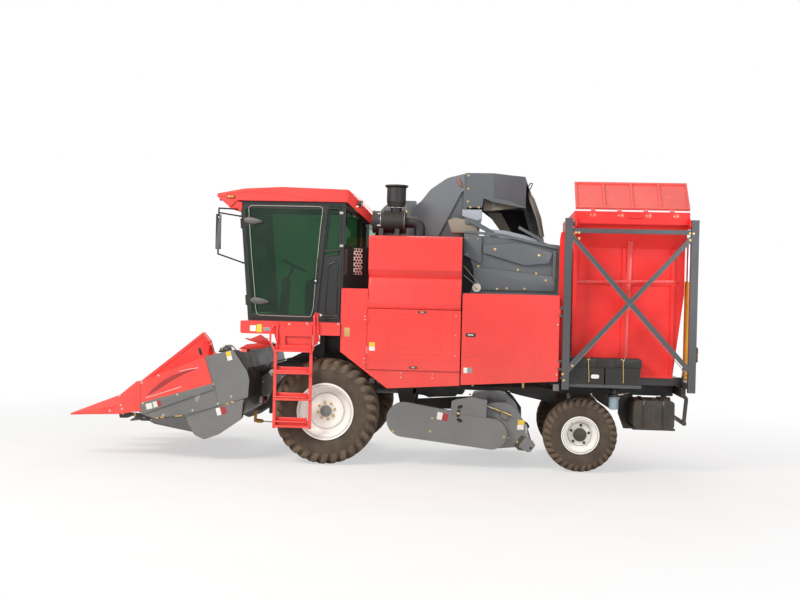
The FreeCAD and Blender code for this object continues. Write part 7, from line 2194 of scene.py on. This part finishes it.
# --- rear
@dataclass
class RearGear:
    """Batteries, filter, tank straps, lamps and pipes between and behind the rear wheels."""

    def batteries(self) -> None:
        """Two covered batteries: ribbed lids, blank labels and brass hold-down hooks."""
        low, high = corners("battery_boxes")
        made = Surface("battery_lids", [BATTERY, BRASS, LABEL])
        face = float(high[0])
        for y0, y1 in ((3.238, 3.70), (3.71, 4.176)):
            made.slab([(y0, 1.415), (y1, 1.415), (y1, 1.528), (y1 - 0.02, 1.54), (y0 + 0.02, 1.54), (y0, 1.528)],
                low[0] - 0.004, face - low[0] + 0.014, 0.008, 0, 0.008)
        made.slab(rectangle(0.23, 0.118, 0.006) + (3.708, 1.476), face + 0.004, 0.012, 0.003)
        for y0, y1 in ((3.478, 3.495), (3.931, 3.942)):
            made.add(tube([spot(face + 0.016, y0, 1.528), spot(face + 0.022, y0 + 0.004, 1.498),
                spot(face + 0.02, y1, 1.30), spot(face + 0.014, y1, 1.22)], 0.006, 0.02), 1)
            made.add(tube([spot(face - 0.02, y0 - 0.02, 1.545), spot(face + 0.018, y0 - 0.016, 1.53),
                spot(face + 0.02, y0 + 0.02, 1.51), spot(face, y0 + 0.02, 1.545)], 0.006, 0.012), 1)
            made.add(lathe([(0, 0.012), (0.01, 0.012), (0.012, 0.008)], spot(face + 0.014, y1, 1.235), UP, 6),
                1)
        made.slab(rectangle(0.106, 0.053, 0.02) + (3.576, 1.295), face - 0.001, 0.003, 0.001, 2)
        for y0, y1 in ((3.30, 3.44), (3.76, 3.90), (3.97, 4.12)):
            for z in (1.27, 1.30, 1.33, 1.36):
                made.slab(rectangle(y1 - y0, 0.008, 0.003) + ((y0 + y1) / 2, z), face - 0.001, 0.004, 0.0015)
        made.piece("machine", "black_plastic")

    def tank(self) -> None:
        """Moulded ribs, two steel straps with their pins, and the filler cap of the fuel tank."""
        high = corners("fuel_tank")[1]
        made = Surface("fuel_tank_straps", [BLACK, TANK_PLASTIC, BLACK_PLASTIC, BRIGHT])
        top = 0.985                         # height of the tank's lid
        for y in (4.2335, 4.491):
            out = [spot(high[0] + x, y, z) for x, z in ((-0.06, top + 0.003), (-0.02, top - 0.004),
                (0.003, top - 0.04), (0.003, 0.66), (-0.03, 0.625), (-0.2, 0.62))]
            made.add(sweep(smooth_line(out, 30), rectangle(0.046, 0.006, 0.002), up=(1, 0, 0.3)))
            made.add(lathe([(0, 0.008), (0.05, 0.008)], spot(high[0] + 0.01, y, 0.93), UP, 8), 3)
        for y in (4.135, 4.33, 4.39, 4.58):
            made.slab(rectangle(0.02, 0.29, 0.008) + (y, 0.80), high[0] - 0.003, 0.006, 0.003, 1)
        made.add(lathe([(0, 0.055), (0.02, 0.055), (0.024, 0.05), (0.04, 0.05), (0.046, 0.04)],
            spot(0.95, 4.56, top - 0.004), UP, 28), 2)
        made.piece("machine", "black_paint")

    def filter_can(self) -> None:
        """Oil filter canister under its black head, beside the frame."""
        made = Surface("oil_filter", [FILTER, BLACK, BRIGHT])
        foot = spot(1.08, 3.85, 0.85)
        made.add(lathe([(0.0, 0.03), (0.004, 0.055), (0.012, 0.064), (0.15, 0.066), (0.155, 0.062), (0.168, 0.062),
            (0.17, 0.05)], foot, UP, 36))
        made.add(lathe([(0.165, 0.05), (0.17, 0.07), (0.20, 0.07), (0.21, 0.05), (0.26, 0.045)], foot, UP,
            28), 1)
        made.add(tube([foot + (0, 0, 0.24), foot + (-0.1, 0, 0.24), foot + (-0.58, 0, 0.24)], 0.016, 0.0), 1)
        made.add(tube([foot + (0.03, 0.03, 0.2), foot + (0.03, 0.12, 0.21), foot + (-0.05, 0.2, 0.22)], 0.011, 0.03),
            2)
        made.piece("machine", "black_paint")

    def pipes(self) -> None:
        """Steel hydraulic pipes in clamps along the left rail."""
        made = Surface("chassis_pipes", [BLACK, BRASS])
        for z in (1.075, 1.097, 1.119):
            made.add(tube(wall(0.52, (1.0, z - 0.02), (2.9, z), (3.02, z - 0.02), (3.3, z - 0.02)), 0.008, 0.05))
        for y in (1.25, 1.96, 2.66):
            made.slab(rectangle(0.03, 0.09, 0.006) + (y, 1.097), 0.478, 0.056, 0.003, 1)
        made.piece("machine", "black_paint")

    def underbody(self) -> None:
        """Trough, shaft, pulleys, belt and shields under the body, the bin's corner guard and the beam's ends."""
        drive = Surface("underbody_drive", [BLACK, DARK_GREY, BLACK_PLASTIC])
        t = np.linspace(0, np.pi, 13)
        trough = np.concatenate([np.stack([0.20 * np.cos(t), -0.13 * np.sin(t)], 1), [(-0.20, 0.05), (0.20, 0.05)]])
        drive.add(plate(trough + (-0.62, 0.965), spot(0, 0.95, 0), (LEFT, UP, BACK), 0.85, 0.006))
        drive.add(lathe([(0, 0.05), (0.02, 0.065), (0.9, 0.065), (0.92, 0.05)], spot(-0.15, 0.25, 0.93), BACK, 24), 1)
        for y, r in ((1.35, 0.11), (1.78, 0.07)):
            drive.add(lathe([(0, r * 0.9), (0.004, r), (0.012, r), (0.022, r * 0.82), (0.032, r), (0.04, r),
                (0.044, r * 0.5)], spot(0.27, y, 1.0 - r * 0.2), LEFT, 32), 1)
        belt = rounded([(1.26, 0.90), (1.34, 0.865), (1.80, 0.93), (1.86, 0.99), (1.78, 1.06), (1.33, 1.09),
            (1.25, 1.02)], 0.05)
        drive.loop(belt, 0.292, rectangle(0.012, 0.016, 0.003), 2)
        for x, depth, bevel, corner, shields in (
                (0.44, 0.02, 0.004, 0.01, ([(1.12, 1.0), (1.12, 0.92), (1.44, 0.885), (1.72, 0.90), (1.80, 0.985),
                                            (1.80, 1.0)],
                                           [(2.40, 1.0), (2.62, 0.945), (2.92, 0.885), (3.12, 0.87), (3.12, 1.0)])),
                (0.42, 0.03, 0.005, 0.012, ([(4.0, 1.0), (3.98, 0.74), (4.06, 0.53), (4.18, 0.53), (4.18, 1.0)],
                                            [(3.60, 1.0), (3.70, 0.90), (3.86, 0.80), (3.99, 0.80), (3.99, 1.0)])),
                (0.60, 0.03, 0.005, 0.012, ([(-0.18, 1.742), (0.14, 1.742), (0.14, 1.46), (-0.10, 1.46)],))):
            for shield in shields:
                drive.slab(shield, x, depth, bevel, 0, corner)
        drive.piece("machine", "black_paint")
        guard = Surface("bin_corner_guard", [RED_INNER_SHADE])
        guard.slab([(3.085, 1.25), (3.085, 3.10), (3.10, 3.20), (3.15, 3.20), (3.15, 1.25)], 1.10, 0.012, 0.003, 0,
            0.01)
        guard.piece("machine", "red_paint")
        block = Surface("rear_beam_ends", [GREY, BRIGHT])
        block.slabs(rectangle(0.082, 0.09, 0.01) + (3.069, 1.136), 1.285, 0.012, 0.004)
        block.both(lathe([(0, 0.03), (0.012, 0.03), (0.014, 0.02)], spot(1.285, 3.173, 1.16), LEFT, 24), 1)
        block.piece("machine", "grey_paint")

    def lamps(self) -> None:
        """Tail lamps on the rear posts, each with a red and an amber lens, and the right one's stay."""
        post_y, height = 4.859, 1.62
        stay = Surface("right_lamp_stay", [DARK_GREY])
        stay.add(plate(rounded([(-0.03, 0.0), (0.03, 0.0), (0.03, 0.58), (-0.03, 0.58)], 0.01),
            spot(-1.19, post_y - 0.022, 1.14), Facing.REAR, 0.012, 0.003))
        stay.piece("machine", "dark_grey_paint")
        made = Surface("tail_lamps", [BLACK_PLASTIC, RED_LENS, AMBER])
        for x in (1.33, -1.19):
            made.add(plate(rectangle(0.075, 0.20, 0.012), spot(x, post_y - 0.004, height), Facing.REAR, 0.022, 0.004))
            for rise, film in ((0.045, 1), (-0.05, 2)):
                made.add(plate(rectangle(0.06, 0.085, 0.01), spot(x, post_y + 0.016, height + rise), Facing.REAR,
                    0.012, 0.005), film)
        made.piece("machine", "black_plastic")

    def build(self) -> None:
        """Makes the rear gear."""
        self.batteries()
        self.tank()
        self.filter_can()
        self.pipes()
        self.underbody()
        self.lamps()


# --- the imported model's own pieces
@dataclass
class CadDress:
    """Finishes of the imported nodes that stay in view.

    Args:
        wear: finishes and the nodes that get each of them.
    """

    wear: dict[Finish, tuple[str, ...]] = field(default_factory=lambda: {
        RED: ("engine_hood", "left_rear_door", "left_engine_door", "side_skirts", "operator_deck",
              "outer_dividers", "access_ladder"),
        YELLOW: ("bin_cylinder_barrels",),
        # the deeper red paints shade: on the tall divider it stands for the shadow on its hollow side below the plain
        # red lip
        RED_INNER_SHADE: ("ear_bin", "cross_auger", "inner_dividers"),
        FRAME_GREY: ("bin_support_frame",),
        SHEET_GREY: ("elevator_head",),
        ROOF_RED: ("cab_roof",),
        # paler red that paints the sunlight on the flap's upturned face
        FLAP: ("bin_flap",),
        GREY: ("head_end_shields", "shredder_belt_guard"),
        DARK_GREY: ("row_units", "husker_housing", "discharge_hood"),
        BLACK: ("chassis_frame", "body_frame", "shredder_hangers", "shredder_housing", "front_axle", "rear_axle",
                "left_knuckle", "right_knuckle", "head_frame", "feeder_house", "lift_cylinder_barrels"),
        DOOR_BLACK: ("cab_door_frame", "cab_frame"),
        RIM: tuple(f"{wheel}_rim" for wheel in WHEELS),
        BLACK_PLASTIC: ("operator_controls", "mirrors", "air_cleaner"),
        BATTERY: ("battery_boxes",),
        TANK_PLASTIC: ("fuel_tank",),
        STEEL: ("shredder_rotor", "gauge_roller", "husking_rolls"),
        CAST: ("engine_block",),
        CHROME: ("lift_cylinder_rods", "bin_cylinder_rods"),
        GLASS: ("cab_door_glass", "cab_windows"),
        TYRE: tuple(f"{wheel}_tyre" for wheel in WHEELS),
        CLOTH: ("cab_seat",),
    })

    def build(self) -> None:
        """Gives every node its finish."""
        for finish, nodes in self.wear.items():
            dress(finish, *nodes)
        LOG.info("dressed %d nodes", sum(len(nodes) for nodes in self.wear.values()))


# --- studio
@dataclass
class Studio:
    """Floor, lights, white surroundings and the camera.

    Args:
        lens: focal length in millimetres on a 36 mm sensor.
        eye: camera place, from the ground under the front axle.
        yaw: turn from looking straight across the machine, in radians.
        pitch: tilt of the view, in radians.
        roll: turn about the line of sight, in radians.
        sky: strength of the sky's light on the machine.
        floor_size: side of the floor.
    """

    lens: float = 49.303
    eye: Point = (15.869, 2.177, 2.2997)
    yaw: float = 0.08219
    pitch: float = -0.00407
    roll: float = 0.02424
    sky: float = 0.42
    floor_size: float = 120.0

    def camera(self) -> None:
        """Camera whose axes are the sight line turned by yaw, then pitch, then roll."""
        cy, sy, cp, sp = math.cos(self.yaw), math.sin(self.yaw), math.cos(self.pitch), math.sin(self.pitch)
        ahead, right, up = np.array((-cy, -sy, 0.0)), np.array((-sy, cy, 0.0)), np.array(UP)
        ahead, up = cp * ahead + sp * up, cp * up - sp * ahead
        cr, sr = math.cos(self.roll), math.sin(self.roll)
        right, up = cr * right + sr * up, cr * up - sr * right
        data = bpy.data.cameras.new("camera")
        data.lens, data.sensor_width, data.clip_end = self.lens, 36.0, 200.0
        made = bpy.data.objects.new("camera", data)
        turn = Matrix(np.stack([right, up, -ahead], 1).tolist()).to_4x4()
        made.matrix_world = Matrix.Translation(Vector(spot(*self.eye))) @ turn
        bpy.context.scene.collection.objects.link(made)
        bpy.context.scene.camera = made

    def floor(self) -> None:
        """A wide pale plane that turns to plain white away from the machine, for rays that only look at it."""
        maps = Maps("pale_floor_paint")
        maps.surface(maps.mix(maps.cloud(0.9, 4.0, 0.3, 0.7), colour("#E4E3E0"), colour("#EAE9E6")), 0.8)
        path = maps.add("ShaderNodeLightPath").outputs
        looks = maps.plus(maps.plus(path["Is Camera Ray"], path["Is Glossy Ray"]), path["Is Transmission Ray"])
        away = maps.add("ShaderNodeVectorMath", {"operation": "LENGTH"}, in0=maps.place).outputs["Value"]
        share = maps.times(looks, maps.ramp(away, 3.5, 10.0, 0.55, 1.0))
        glow = maps.add("ShaderNodeEmission", color=WHITE, strength=1.0).outputs[0]
        maps.finish(maps.add("ShaderNodeMixShader", fac=share, in1=maps.shader.outputs[0], in2=glow))
        mesh = bpy.data.meshes.new("floor")
        mesh.from_pydata([(x, y, 0) for x, y in rectangle(self.floor_size, self.floor_size)], [], [(0, 1, 2, 3)])
        mesh.materials.append(maps.material)
        made = bpy.data.objects.new("floor", mesh)
        bpy.context.scene.collection.objects.link(made)

    def world(self) -> None:
        """Even sky light, shown white to the camera, in gloss and through glass."""
        world = bpy.data.worlds.new("studio")
        world.use_nodes = True
        tree = world.node_tree
        path = tree.nodes.new("ShaderNodeLightPath")
        total = path.outputs["Is Camera Ray"]
        for name in ("Is Glossy Ray", "Is Transmission Ray"):
            step = tree.nodes.new("ShaderNodeMath")
            step.use_clamp = True
            tree.links.new(total, step.inputs[0])
            tree.links.new(path.outputs[name], step.inputs[1])
            total = step.outputs[0]
        level = tree.nodes.new("ShaderNodeMapRange")
        tree.links.new(total, level.inputs["Value"])
        level.inputs["To Min"].default_value, level.inputs["To Max"].default_value = self.sky, 1.0
        tree.links.new(level.outputs["Result"], tree.nodes["Background"].inputs["Strength"])
        tree.nodes["Background"].inputs["Color"].default_value = WHITE
        bpy.context.scene.world = world

    def lamp(self, name: str, place: Point, aim: Point, size: float, power: float, tint: str = "#FFFFFF") -> None:
        """A square soft light at a place, turned to face its aim.

        Args:
            name: name of the light.
            place: where it stands, from the ground under the front axle.
            aim: what it faces, measured likewise.
            size: length of its sides, in metres.
            power: its power, in watts.
            tint: colour of its light.
        """
        data = bpy.data.lights.new(name, "AREA")
        data.size, data.energy, data.color = size, power, colour(tint)[:3]
        made = bpy.data.objects.new(name, data)
        line = Vector(spot(*aim)) - Vector(spot(*place))
        made.rotation_euler = line.to_track_quat("-Z", "Y").to_euler()
        made.location = Vector(spot(*place))
        bpy.context.scene.collection.objects.link(made)

    def build(self) -> None:
        """Sets the stage."""
        bpy.context.scene.view_settings.view_transform = "Standard"
        self.camera()
        self.floor()
        self.world()
        self.lamp("key_light", (9.0, -5.0, 9.0), (0.6, 1.2, 1.4), 4.0, 1150.0, "#FFF9F2")
        self.lamp("fill_light", (10.0, 8.0, 4.5), (0.6, 1.8, 1.5), 6.0, 330.0, "#F4F7FF")
        self.lamp("back_light", (-9.0, 3.0, 8.0), (0.0, 1.0, 1.5), 6.0, 650.0)


@dataclass
class Harvester:
    """The whole machine.

    Args:
        parts: its sub-assemblies in the order that they are made.
    """

    parts: Sequence[object] = field(default_factory=lambda: [
        CadDress(), Studio(),
        *(Tyre(wheel, 0.715, 0.43, 0.372, 30, 0.04, 0.05, 15.0) for wheel in WHEELS[:2]),
        *(Tyre(wheel, 0.495, 0.31, 0.245, 32, 0.026, 0.032, 14.0) for wheel in WHEELS[2:]),
        *(WheelTrim(wheel, 8, 0.115, 0.08) for wheel in WHEELS[:2]),
        *(WheelTrim(wheel, 5, 0.125, 0.09) for wheel in WHEELS[2:]),
        CornHead(), Feeder(), Cab(), Seat(), Platform(), Body(), Intake(), Tower(), Husker(), EarBin(), Shredder(),
        RearGear()])

    def build(self) -> None:
        """Makes every sub-assembly."""
        for part in self.parts:
            part.build()
            LOG.info("built %s", type(part).__name__)


def main() -> None:
    """Builds the looks."""
    logging.basicConfig(level=logging.INFO, format="%(name)s: %(message)s")
    Harvester().build()


if __name__ == "__main__":
    main()
